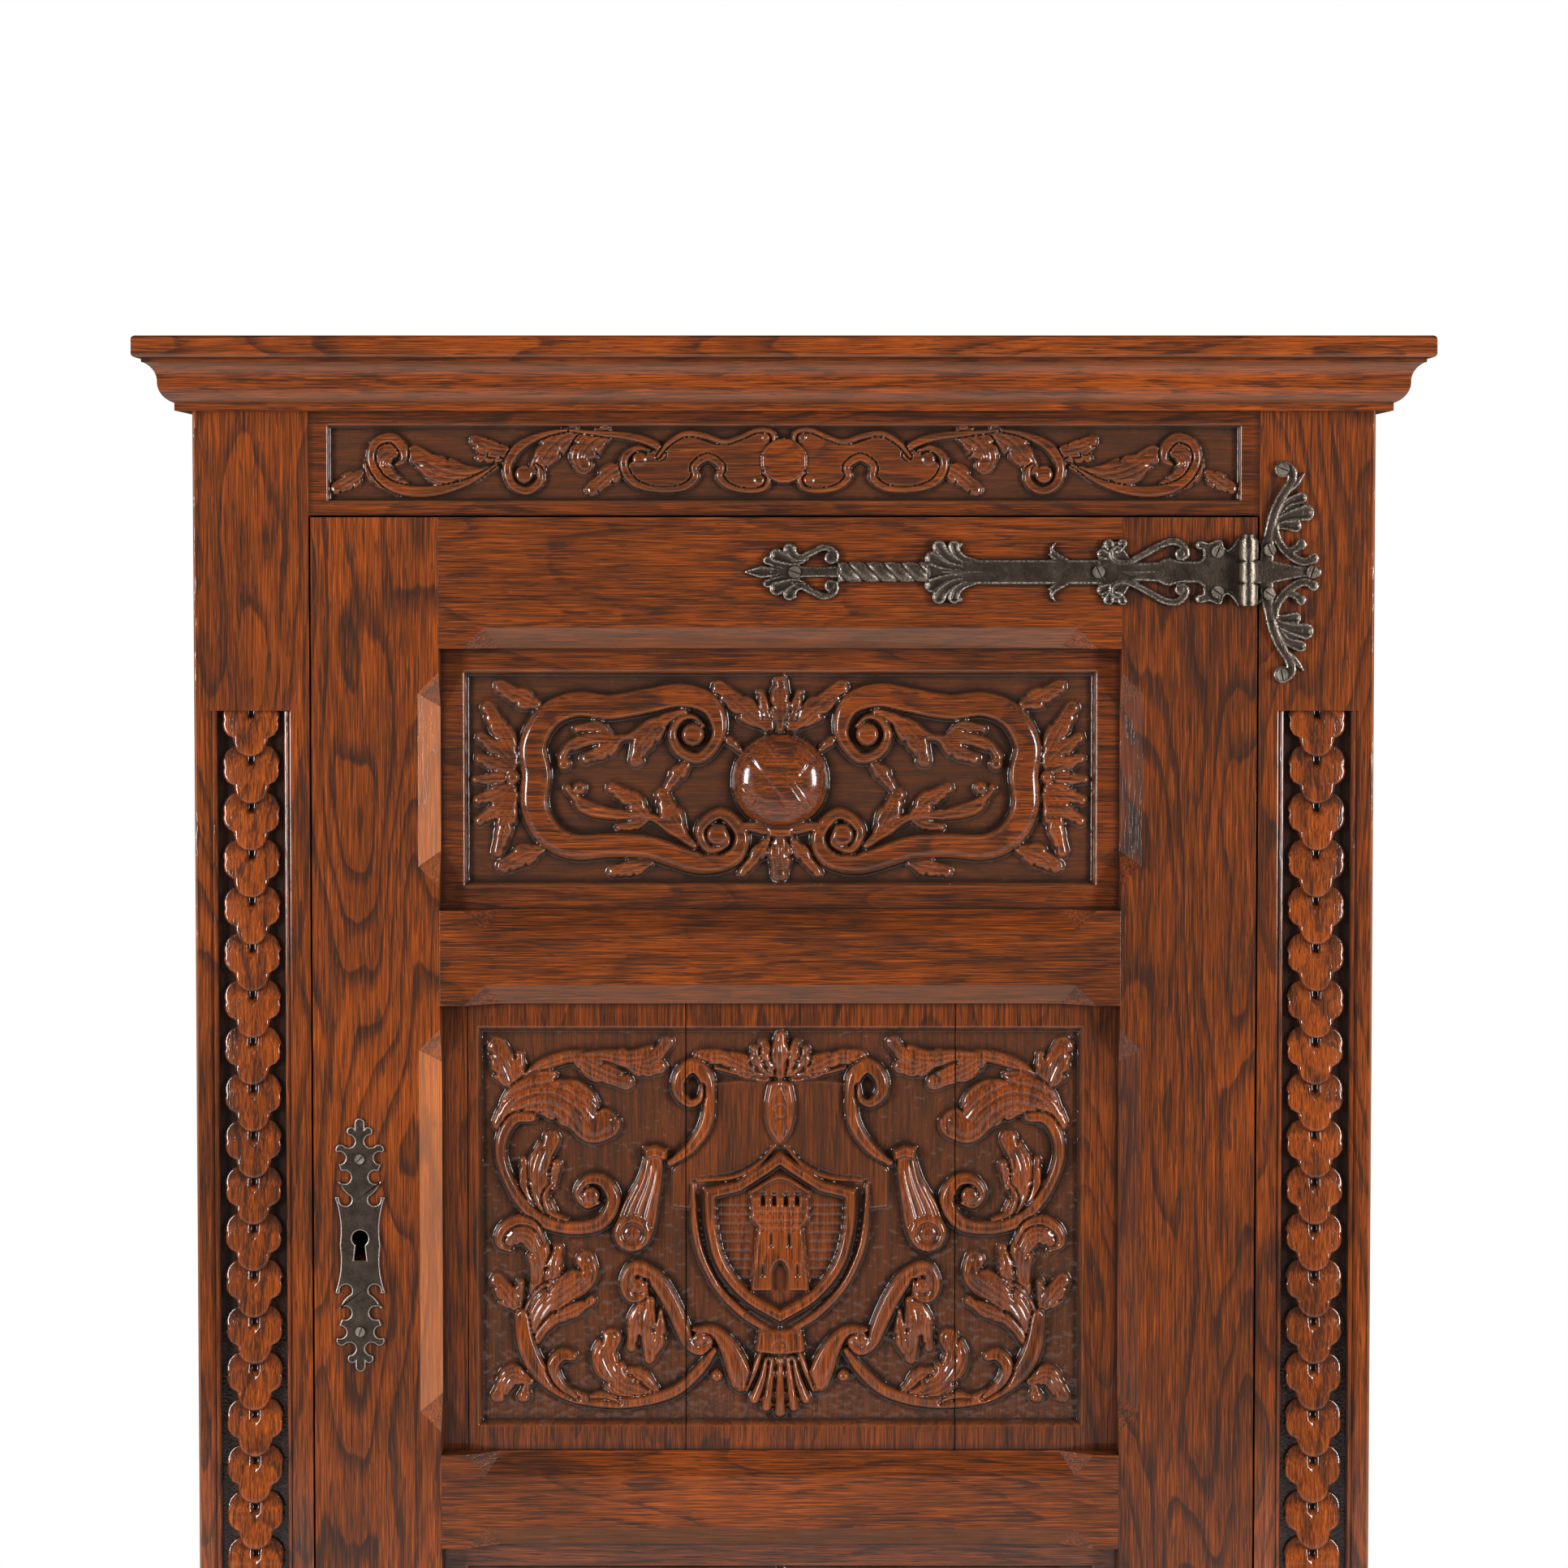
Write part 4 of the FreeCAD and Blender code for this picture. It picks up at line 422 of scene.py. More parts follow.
gouge = {
    # how a carver's gouge shapes a leaf and marks the ground; lengths in millimetres, the rest as shares
    "pitch": 3.5,
    "depth": 1.4,
    "pitchShare": 0.42,  # of the leaf's half-width, where that is wider
    "fullness": 1.12,
    "tipShare": 0.70,
    "tip": (0.45, 0.3),  # where along the leaf it starts to fill out, and over what stretch
    "depthPower": 0.6,
    "turns": (1.15, 0.12, 0.42),  # of its edge: to a lobe, from side to side, and from the middle outwards
    "onset": 5,
    "notchPower": 3.5,
    "notchShare": (0.75, 0.25),  # on both sides, and more or less of it by the side
    "notch": (0.40, 0.22),  # how far it cuts in from the side, and down
    "fall": 0.36,  # from the middle to the edge
    "fallPower": 2.2,
    "vein": 0.9,
    "veinOnset": 4,
    "veinEnd": (0.95, -0.2),
    "flute": 0.8,
    "markSpread": 6,  # rounds of blurring of the marks on the ground
    "markFade": 1.2,
}


def smoothCurve(points, step=1.2):
    # a Catmull-Rom curve through all the points
    columns = [np.array(p, float) for p in points]
    columns = [2 * columns[0] - columns[1]] + columns + [2 * columns[-1] - columns[-2]]
    line = []
    for a, b, c, d in zip(columns, columns[1:], columns[2:], columns[3:]):
        count = max(3, int(math.hypot(*(c - b)[:2]) / step))
        for t in np.arange(count) / count:
            line.append(0.5 * (2 * b + (c - a) * t + (2 * a - 5 * b + 4 * c - d) * t ** 2
                               + (3 * b - a - 3 * c + d) * t ** 3))
    line.append(columns[-2])
    return np.array(line)


def smoothStep(value):
    value = np.clip(value, 0, 1)
    return value * value * (3 - 2 * value)


def eased(value, start, stretch):
    # from 0 at the start to 1 a stretch further, downwards where that is negative
    return smoothStep((value - start) / stretch)


def rounded(across, foot=0.0):
    # a half-round section, 1 in the middle and down to its foot at the edge
    return foot + (1 - foot) * np.sqrt(np.clip(1 - across ** 2, 0, 1))


def blurred(field, rounds=1):
    for _ in range(rounds):
        padded = np.pad(field, 1, mode="edge")
        field = (padded[:-2, 1:-1] + 2 * padded[1:-1, 1:-1] + padded[2:, 1:-1]) / 4
        padded = np.pad(field, 1, mode="edge")
        field = (padded[1:-1, :-2] + 2 * padded[1:-1, 1:-1] + padded[1:-1, 2:]) / 4
    return field


def leafShape(plan, widest, away, side, run, width, rise, lobes):
    width = plan["fullness"] * np.maximum(width, plan["tipShare"] * widest * eased(run, *plan["tip"]))
    pitch = max(plan["pitch"], plan["pitchShare"] * widest)
    depth = plan["depth"] * (pitch / plan["pitch"]) ** plan["depthPower"]
    onset = smoothStep(run * plan["onset"])
    perLobe, sideways, outwards = plan["turns"]
    turn = np.abs(np.sin(math.pi * (perLobe * lobes * run + sideways * side - outwards * away / width)))
    even, uneven = plan["notchShare"]
    notch = (1 - turn) ** plan["notchPower"] * onset * (even + uneven * side)
    inwards, downwards = plan["notch"]
    width = width * (1 - inwards * notch)
    across = away / width
    vein = np.exp(-(away / plan["vein"]) ** 2) * smoothStep(run * plan["veinOnset"])
    vein = vein * eased(run, *plan["veinEnd"])
    flute = (0.5 + 0.5 * np.cos(2 * math.pi * away / pitch)) ** 3 * smoothStep(away - 1)
    height = rise * (1 - plan["fall"] * across ** plan["fallPower"] - downwards * notch * across)
    return width, height - depth * (vein + plan["flute"] * flute * (1 - 0.5 * run) * onset)


# sections that stay the same all along: the share of the rise, from 0 at the middle line to 1 at the edge
evenSections = {
    "lobe": lambda across: rounded(across, 0.60),
    "round": lambda across: rounded(across, 0.35),
    "ridge": lambda across: 1 - 0.22 * across,
    "cup": lambda across: 0.55 + 0.45 * smoothStep((across - 0.22) / 0.5),
    "flat": lambda across: np.ones_like(across),
}


def section(kind, away, side, run, width, rise, lobes):
    across = away / width
    if kind == "strap":
        outer = 0.42 * smoothStep((across - 0.25) / 0.75) ** 1.5
        inner = 0.10 * smoothStep((across - 0.8) / 0.2) - 0.06 * smoothStep((across - 0.3) / 0.4)
        return rise * (1 - np.where(side < 0, outer, inner))
    if kind == "gouged":
        flutes = np.cos(math.pi * lobes * across * side)
        return rise * (0.88 - 0.28 * across ** 2 + 0.15 * flutes * smoothStep(run * 4))
    if kind == "petal":
        vein = np.exp(-away ** 2) * smoothStep((0.8 - run) / 0.2)
        return rise * (1 - 0.45 * across ** 2) - 1.2 * vein
    return rise * evenSections[kind](across)


farOff = 1e6


class Carving:
    # a board as heights over a grid, painted with strokes, domes, outlines and grooves
    def __init__(self, halfWidth, halfHeight, cell):
        columns = int(round(halfWidth / cell))
        rows = int(round(halfHeight / cell))
        self.x = np.linspace(-halfWidth, halfWidth, 2 * columns + 1)
        self.z = np.linspace(-halfHeight, halfHeight, 2 * rows + 1)
        self.height = np.zeros((len(self.z), len(self.x)))

    def window(self, x0, x1, z0, z1):
        left, right = np.searchsorted(self.x, [x0, x1])
        low, high = np.searchsorted(self.z, [z0, z1])
        return (slice(low, high), slice(left, right)), self.x[left:right], self.z[low:high]

    def put(self, place, height, inside, how):
        part = self.height[place]
        if how == "highest":
            height = np.maximum(part, height)
        elif how == "cut":
            height = np.minimum(part, height)
        part[inside] = height[inside]

    def mirror(self):
        middle = len(self.x) // 2
        self.height[:, middle] = self.height[:, middle - 1]
        self.height[:, middle + 1:] = self.height[:, :middle][:, ::-1]

    def mirrorDown(self):
        middle = len(self.z) // 2
        self.height[:middle] = self.height[middle + 1:][::-1]

    def along(self, line, margin):
        # for each cell near the line: how far off it is, on which side, how far along, and its width and rise
        reach = line[:, 2].max() + margin
        x0, z0 = line[:, :2].min(0) - reach
        x1, z1 = line[:, :2].max(0) + reach
        place, xs, zs = self.window(x0, x1, z0, z1)
        shape = (len(zs), len(xs))
        away = np.full(shape, farOff)
        side, run, width, rise = (np.zeros(shape) for _ in range(4))
        lengths = np.hypot(*np.diff(line[:, :2], axis=0).T)
        starts = np.concatenate([[0], np.cumsum(lengths)])
        for a, b, length, start in zip(line, line[1:], lengths, starts):
            near = max(a[2], b[2]) + margin
            i0, i1 = np.searchsorted(xs, [min(a[0], b[0]) - near, max(a[0], b[0]) + near])
            j0, j1 = np.searchsorted(zs, [min(a[1], b[1]) - near, max(a[1], b[1]) + near])
            if i0 >= i1 or j0 >= j1:
                continue
            gx, gz = np.meshgrid(xs[i0:i1] - a[0], zs[j0:j1] - a[1])
            dx, dz = b[:2] - a[:2]
            t = np.clip((gx * dx + gz * dz) / max(length ** 2, 1e-9), 0, 1)
            distance = np.hypot(gx - t * dx, gz - t * dz)
            here = (slice(j0, j1), slice(i0, i1))
            closer = distance < away[here]
            found = ((away, distance), (side, np.sign(dx * gz - dz * gx)), (run, start + t * length),
                     (width, a[2] + (b[2] - a[2]) * t), (rise, a[3] + (b[3] - a[3]) * t))
            for field, values in found:
                field[here][closer] = values[closer]
        return place, away, side, run / max(starts[-1], 1e-9), np.maximum(width, 0.05), rise

    def stroke(self, points, kind="strap", how="over", lobes=2, edge=1.5):
        line = smoothCurve(points)
        widest = line[:, 2].max()
        place, away, side, run, width, rise = self.along(line, 0.8 * widest if kind == "leaf" else 0.5)
        if kind == "leaf":
            width, height = leafShape(gouge, widest, away, side, run, width, rise, lobes)
        else:
            height = section(kind, away, side, run, width, rise, lobes)
        wall = smoothStep((width - away) / np.minimum(edge, 0.75 * width))
        self.put(place, height * wall, away < width, how)

    def strokes(self, lines, *kind, **settings):
        for line in lines:
            self.stroke(line, *kind, **settings)

    def dome(self, x, z, radius, rise, how="over", lift=0.0, flat=0.0):
        place, xs, zs = self.window(x - radius, x + radius, z - radius, z + radius)
        gx, gz = np.meshgrid(xs - x, zs - z)
        across = np.hypot(gx, gz) / radius
        bulge = rounded(np.clip((across - flat) / (1 - flat), 0, 1))
        self.put(place, lift + rise * bulge, across < 1, how)

    def buttons(self, spots, bulge=0.5, lift=0.5, flat=0.0):
        for x, z, radius, rise in spots:
            self.dome(x, z, radius, rise * bulge, "highest", lift=rise * lift, flat=flat)

    def groove(self, points, depth, width):
        line = smoothCurve([(x, z, width, depth) for x, z in points])
        place, away = self.along(line, 0.5)[:2]
        cut = depth * np.exp(-(away / (0.55 * width)) ** 2)
        self.height[place] -= np.where(away < 2.5 * width, cut, 0)

    def ring(self, x, z, radius, depth, width):
        turns = np.linspace(0, 2 * math.pi, 25)
        self.groove([(x + radius * math.cos(t), z + radius * math.sin(t)) for t in turns], depth, width)

    def outline(self, corners, how="over", rise=3.0, edge=1.5, curved=False):
        if curved:
            corners = smoothCurve(corners + corners[:1], 2)[:-1]
        corners = np.array(corners, float)
        x0, z0 = corners.min(0)
        x1, z1 = corners.max(0)
        place, xs, zs = self.window(x0, x1, z0, z1)
        gx, gz = np.meshgrid(xs, zs)
        inside = np.zeros(gx.shape, bool)
        away = np.full(gx.shape, farOff)
        for a, b in zip(corners, np.roll(corners, -1, axis=0)):
            d = b - a
            crosses = (a[1] > gz) != (b[1] > gz)
            slope = d[0] / d[1] if d[1] else 0
            inside ^= crosses & (gx < a[0] + slope * (gz - a[1]))
            t = np.clip(((gx - a[0]) * d[0] + (gz - a[1]) * d[1]) / max(d @ d, 1e-9), 0, 1)
            away = np.minimum(away, np.hypot(gx - a[0] - t * d[0], gz - a[1] - t * d[1]))
        below = self.height[place]
        self.put(place, below + (rise - below) * smoothStep(away / edge), inside, how)
        return place, inside, away


def boxMm(name):
    low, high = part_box(name)
    return low / mm, high / mm


def frontOf(node):
    # the box of a board, the middle of its front, and its sides, foot and top
    low, high = boxMm(node)
    return low, high, ((low.x + high.x) / 2, (low.z + high.z) / 2), (low.x, high.x, low.z, high.z)


def claim(piece, node, body):
    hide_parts(node)
    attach(piece, body)


def setMark(mesh, label, values):
    # what a material reads on the surface, from 0 to 1
    layer = mesh.attributes.new(label, "FLOAT", "POINT")
    layer.data.foreach_set("value", np.asarray(values, np.float32))


def newMesh(name, points, corners, starts, smooth, material):
    mesh = bpy.data.meshes.new(name)
    mesh.vertices.add(len(points))
    mesh.vertices.foreach_set("co", (points * mm).ravel())
    mesh.loops.add(len(corners))
    mesh.loops.foreach_set("vertex_index", corners)
    mesh.polygons.add(len(starts))
    mesh.polygons.foreach_set("loop_start", starts)
    mesh.update(calc_edges=True)
    mesh.polygons.foreach_set("use_smooth", smooth)
    mesh.materials.append(material)
    return mesh


def wholeCells(points):
    # the cells whose four corners are all set
    return points[:-1, :-1] & points[:-1, 1:] & points[1:, :-1] & points[1:, 1:]


def cellCorners(rows, columns):
    grid = np.arange(rows * columns).reshape(rows, columns)
    return np.stack([grid[:-1, :-1], grid[:-1, 1:], grid[1:, 1:], grid[1:, :-1]], -1)


def reliefMesh(name, xs, zs, height, faces, depth, material, marks, smooth=True):
    # a closed board: the carved face, a wall round it and a fan of triangles behind
    faceY, backY = faces
    rows, columns = height.shape
    grid = np.arange(rows * columns).reshape(rows, columns)
    loop = np.concatenate([grid[0, :-1], grid[:-1, -1], grid[-1, :0:-1], grid[:0:-1, 0]])
    count = len(loop)
    gx, gz = np.meshgrid(xs, zs)
    front = np.column_stack([gx.ravel(), (faceY + depth - height).ravel(), gz.ravel()])
    back = front[loop].copy()
    back[:, 1] = backY
    points = np.vstack([front, back, [(xs[0] + xs[-1]) / 2, backY, (zs[0] + zs[-1]) / 2]])
    quads = cellCorners(rows, columns).reshape(-1, 4)
    behind = rows * columns + np.arange(count)
    after = np.roll(np.arange(count), -1)
    walls = np.column_stack([loop[after], loop, behind, behind[after]])
    fan = np.column_stack([behind[after], behind, np.full(count, len(points) - 1)])
    corners = np.concatenate([quads.ravel(), walls.ravel(), fan.ravel()])
    fourSided = len(quads) + count
    starts = np.concatenate([np.arange(fourSided) * 4, 4 * fourSided + np.arange(count) * 3])
    mesh = newMesh(name, points, corners, starts, (np.arange(len(starts)) < len(quads)) & smooth, material)
    ends = np.empty(2 * len(mesh.edges), int)
    mesh.edges.foreach_get("vertices", ends)
    onRim = np.isin(ends, loop).reshape(-1, 2).all(1)
    mesh.attributes.new("sharp_edge", "BOOLEAN", "EDGE").data.foreach_set("value", onRim)
    for label, field in marks.items():
        rim = 1 if label == "relief" else 0
        setMark(mesh, label, np.concatenate([field.ravel(), np.full(count + 1, rim)]))
    return link(name, mesh)


# painted shade and grime in hollows, painted shade on the flat margin, a painted shadow cast by the frame,
# and wear with a painted highlight on crests
shadeAndGrime = {
    "reach": 5.0,  # how far the painted shadow of the frame reaches onto the panel
    "frame": 0.78,
    "margin": 0.30,  # painted shade on the flat round the carving
    "hollow": (0.30, 1.7, 0.88),  # painted shade and grime in hollows: how deep it starts, how much deeper it is full, and how dark
    "crest": (0.30, 0.4, 0.14),
    "spread": 40,  # rounds of blurring that tell a hollow, and a crest
    "sharpness": 3,
}


def boardMarks(xs, zs, height, depth, sight, margin, plan=shadeAndGrime):
    gx, gz = np.meshgrid(xs, zs)
    gap = np.minimum(np.minimum(gx - sight[0], sight[1] - gx), np.minimum(gz - sight[2], sight[3] - gz))
    start, fade, darkness = plan["hollow"]
    # painted shade and grime in hollows, painted shade on the margin, and a painted shadow near the frame
    hollow = darkness * np.clip((blurred(height, plan["spread"]) - height - start) / fade, 0, 1)
    hollow = np.maximum(hollow, plan["margin"] * margin)
    hollow = np.maximum(hollow, plan["frame"] * np.clip(1 - gap / plan["reach"], 0, 1))
    # a paler crest: wear, and a painted highlight
    scale, threshold, wearAndHighlight = plan["crest"]
    crest = wearAndHighlight * np.clip((height - blurred(height, plan["sharpness"])) / scale - threshold, 0, 1)
    return {"relief": np.clip(height / depth, 0, 1), "hollow": hollow, "crest": crest}


marginCount = 4  # steps on each side of a carving


def marginSteps(edge, seen, foot, reach):
    # steps from a board's edge, past the frame that hides it, to the foot of the carving
    gap = foot - edge
    if abs(gap) < 2 * reach:
        return edge + gap * np.linspace(0, 1, marginCount, endpoint=False)
    shares = [0, (seen - edge) / gap, (seen - edge) / gap + reach / abs(gap), 1 - 0.5 / abs(gap)]
    # in order, and a little apart
    lowest = 0.001 * np.arange(marginCount)
    return edge + gap * np.sort(np.clip(shares, lowest, 0.9 + 20 * lowest))


def framed(steps, edges, seen):
    feet = (steps[0], steps[-1])
    before, behind = (marginSteps(*places, shadeAndGrime["reach"]) for places in zip(edges, seen, feet))
    return np.concatenate([before, steps, behind[::-1]])


def finishBoard(board, plan, seed):
    # the marks of the tools, deepest on the ground, and the flat frame that is left round it
    if plan["gain"]:
        board.height = blurred(board.height) * plan["gain"]
    marks = blurred(np.random.default_rng(seed).random(board.height.shape), gouge["markSpread"]) - 0.5
    marks = plan["toolMarks"] * marks / max(marks.std(), 1e-6)
    board.height += marks * np.exp(-np.maximum(board.height, 0) / gouge["markFade"])
    halfWidth, halfHeight = plan["field"]
    gx, gz = np.meshgrid(np.abs(board.x) - halfWidth, np.abs(board.z) - halfHeight)
    board.margin = np.clip(np.maximum(gx, gz) / plan["bevel"] + 1, 0, 1)
    board.height = np.maximum(board.height, board.margin * plan["depth"])


def carvedBoard(name, board, middle, span, faces, depth, material, sight=None):
    # sight is what the frame round the board lets one see of it
    x0, x1, z0, z1 = span
    sight = sight or span
    inner = (board.x + middle[0] > x0) & (board.x + middle[0] < x1)
    if inner.any():
        xs = board.x[inner] + middle[0]
        height = board.height[:, inner]
        margin = board.margin[:, inner]
    else:
        # a narrow board beside the carving
        xs = np.array([x0 + 1, x1 - 1])
        height = np.full((len(board.z), 2), depth)
        margin = np.ones_like(height)
    xs = framed(xs, (x0, x1), (max(sight[0], x0), min(sight[1], x1)))
    zs = framed(board.z + middle[1], (z0, z1), sight[2:])
    height, margin = (np.pad(field, marginCount, mode="edge") for field in (height, margin))
    marks = boardMarks(xs, zs, height, depth, sight, margin)
    return reliefMesh(name, xs, zs, height, faces, depth, material, marks)


def openingRound(level):
    # the opening of the door frame at that level
    rails = [boxMm("door_%s_rail" % place) for place in ("bottom", "lower", "upper", "top")]
    below = max(high.z for low, high in rails if high.z < level)
    above = min(low.z for low, high in rails if low.z > level)
    return boxMm("door_lock_stile")[1].x, boxMm("door_hinge_stile")[0].x, below, above


def mirrored(points):
    return [(-x, *rest) for x, *rest in points]


def halfTurned(corners):
    return corners + [(-x, z) for x, z in reversed(corners) if abs(x) > 1e-6]


smallCarving = {
    # the left half; x and z from the middle of the panel, then half-width and height of each stroke there
    "cell": 1.0,
    "halfWidth": 246,
    "halfHeight": 86,
    "field": (242.9, 82.7),  # half-width and half-height of the sunk ground
    "bevel": 3.2,
    "depth": 6.0,
    "gain": 1.28,
    "toolMarks": 0.16,
    "seeds": {"door_upper_panel": 4, "door_lower_panel": 5},
    "thickness": 14,
    "oak": ("x", -0.05, 0.15, (3.1, 0, 1.7)),
    "boss": (0, -2, 35, 15),
    "strap": [
        (-58.5, 40, 1.6, 5), (-67, 47.3, 2.2, 5), (-77, 45, 3, 5.2), (-83, 34, 4, 5.4),
        (-77, 20.5, 4.4, 5.6),
        (-61, 15.6, 5, 5.8), (-47, 34, 5.6, 6), (-53, 56, 8.5, 6.2), (-75, 64, 9.5, 6.2), (-100, 60, 10, 6),
        (-130, 55, 10, 6), (-157, 57, 10, 6), (-179, 47, 10.5, 6), (-190.5, 25, 10.8, 6),
        (-188, 3, 11.8, 6),
        (-189, -22, 10.8, 6), (-178, -43, 11, 6), (-158, -53, 10.5, 6), (-130, -52, 9.8, 6),
        (-100, -54, 9.8, 6), (-62, -65.5, 8.8, 6), (-36, -61, 7.2, 6), (-29.5, -43, 5.8, 6),
        (-45, -27, 5, 5.8),
        (-61.5, -39, 4.4, 5.4), (-55, -55, 3.6, 5.2), (-40, -50, 2.4, 5), (-43, -36, 1.4, 5)],
    "buttons": [(-67, 33.5, 8.6, 5.6), (-48.3, -43.5, 8.4, 5.6), (-166, 11, 4.6, 4.6),
                (-154, -7.5, 4.8, 4.6), (-205, 1, 5, 5.2)],
    "leaves": [
        # from the upper volute, running in and down to a berry
        [(-128, 33, 1.5, 3.6), (-141, 40, 5.2, 4.6), (-156, 38, 1.5, 3.4)],
        [(-122, 31, 3, 4), (-135, 22, 7.2, 4.8), (-149, 15, 2, 3.6)],
        [(-86, 48, 3.5, 4.2), (-98, 36, 8.5, 5.2), (-107, 25, 7.5, 5), (-110, 14, 2.5, 3.8)],
        [(-74, 51, 3.5, 4.4), (-97, 42, 5.5, 5), (-118, 31, 3, 4.6), (-142, 31, 4.8, 4.8),
         (-160, 25, 4.8, 4.6), (-168, 16, 2.2, 4)],
        [(-72, 11, 4, 4), (-79, 3, 6, 4.6), (-86, -7, 1.5, 3.4)],
        # from the lower volute, running in and up to a berry
        [(-74, -44, 3.5, 4.2), (-84, -28, 8.6, 5.4), (-91, -13, 1.6, 3.8)],
        [(-101, -29, 2.6, 4), (-114, -17, 7.4, 5), (-129, -8, 1.6, 3.6)],
        [(-66, -52, 3, 4.4), (-82, -40, 5, 4.8), (-100, -30, 3, 4.4), (-125, -28, 4.6, 4.8),
         (-150, -22, 5.4, 4.8), (-163, -8, 2, 4)],
        [(-102, -33, 1.5, 3.4), (-113, -36, 5, 4.2), (-124, -38, 1.2, 3.2)],
        # outside the strap
        [(-99, -66, 2, 3.4), (-113, -68.5, 7.4, 4.4), (-128, -72, 1.8, 3.2)],
        [(-186, 56, 3.8, 3.8), (-199, 62, 8.2, 4.6), (-215, 70, 1.8, 3.2)],
        [(-184, -55, 3.8, 3.8), (-198, -60, 9, 4.6), (-212, -68, 1.8, 3.2)],
        [(-203, 12, 3, 4), (-212, 32, 8.4, 5), (-225, 54, 2.8, 3.6)],
        [(-204, 9, 2.6, 4), (-216, 22, 7, 4.8), (-230, 31, 2.8, 3.6)],
        [(-205, 5, 2.4, 4), (-218, 11, 6.6, 4.8), (-231, 15, 2.8, 3.6)],
        [(-207, 1, 2.4, 4), (-220, 0, 5.6, 4.6), (-234, -1, 2.4, 3.4)],
        [(-205, -4, 2.4, 4), (-218, -11, 6.6, 4.8), (-232, -17, 2.6, 3.6)],
        [(-204, -8, 2.4, 4), (-216, -22, 6.8, 4.8), (-231, -33, 2.6, 3.6)],
        [(-203, -12, 2.6, 4), (-211, -34, 7.2, 4.8), (-217, -57, 2.4, 3.4)],
        # by the boss
        [(-45, 33, 1.2, 3.6), (-38, 28, 4, 4.6), (-31, 22, 1.2, 3.4)],
        [(-10, 38, 3, 3.6), (-27, 53, 9.2, 5.2), (-47, 69, 2.6, 3.6)],
        [(-6, 38, 2.4, 4), (-11, 53, 4.6, 5), (-15, 66, 3, 4)],
        [(-9, -47, 2.4, 4), (-17, -58, 6, 5), (-29, -73, 1.6, 3.4)],
    ],
    "middleLeaves": [
        [(0, 38, 3.6, 4.6), (0, 57, 8, 6), (0, 74, 4.4, 4.4)],
        [(0, -46, 5, 4.6), (0, -58, 9.6, 6), (0, -74, 4.6, 4.4)],
    ],
    "neck": [(-11, -34), (-9, -42), (-14, -46), (14, -46), (9, -42), (11, -34)],
    "bossGroove": (1.1, 1.6),
    "bossLines": [[(-24, 17), (-6, -6), (10, -29)], [(-13, 26), (5, 1), (22, -24)], [(-9, 28), (9, 3),
                  (25, -20)], [(14, 22), (22, 12), (16, 3)], [(-27, -6), (-20, -14), (-24, -22)]],
    "pedestal": [(-34, -33), (-28, -41), (-14, -44), (0, -45), (14, -44), (28, -41), (34, -33)],
}


def carveScrolls(plan):
    board = Carving(plan["halfWidth"], plan["halfHeight"], plan["cell"])
    board.strokes(plan["leaves"], "leaf", "highest")
    board.stroke(plan["strap"], edge=1.3)
    board.buttons(plan["buttons"], bulge=0.45, lift=0.65, flat=0.55)
    board.mirror()
    return board


def dressSmallPanel(node, seed, plan, material):
    board = carveScrolls(plan)
    board.outline(plan["pedestal"], rise=4.5, edge=2)
    board.strokes(plan["middleLeaves"], "leaf")
    board.outline(plan["neck"], rise=6, edge=2)
    x, z, radius, rise = plan["boss"]
    board.dome(x, z, radius + 1.8, rise=2.4, lift=2.6, flat=0.9)
    board.dome(x, z, radius, rise=rise * 0.8, lift=rise * 0.2)
    for line in plan["bossLines"]:
        board.groove(line, *plan["bossGroove"])
    finishBoard(board, plan, seed)
    _, high, middle, span = frontOf(node)
    piece = carvedBoard("carved_" + node, board, middle, span, (high.y - plan["thickness"], high.y),
                        plan["depth"], material, openingRound(middle[1]))
    claim(piece, node, "door")


panelOak = oakMaterial("panel_oak", *smallCarving["oak"], carved=True)
for panel, seed in smallCarving["seeds"].items():
    dressSmallPanel(panel, seed, smallCarving, panelOak)
print("upper and lower panel carved")

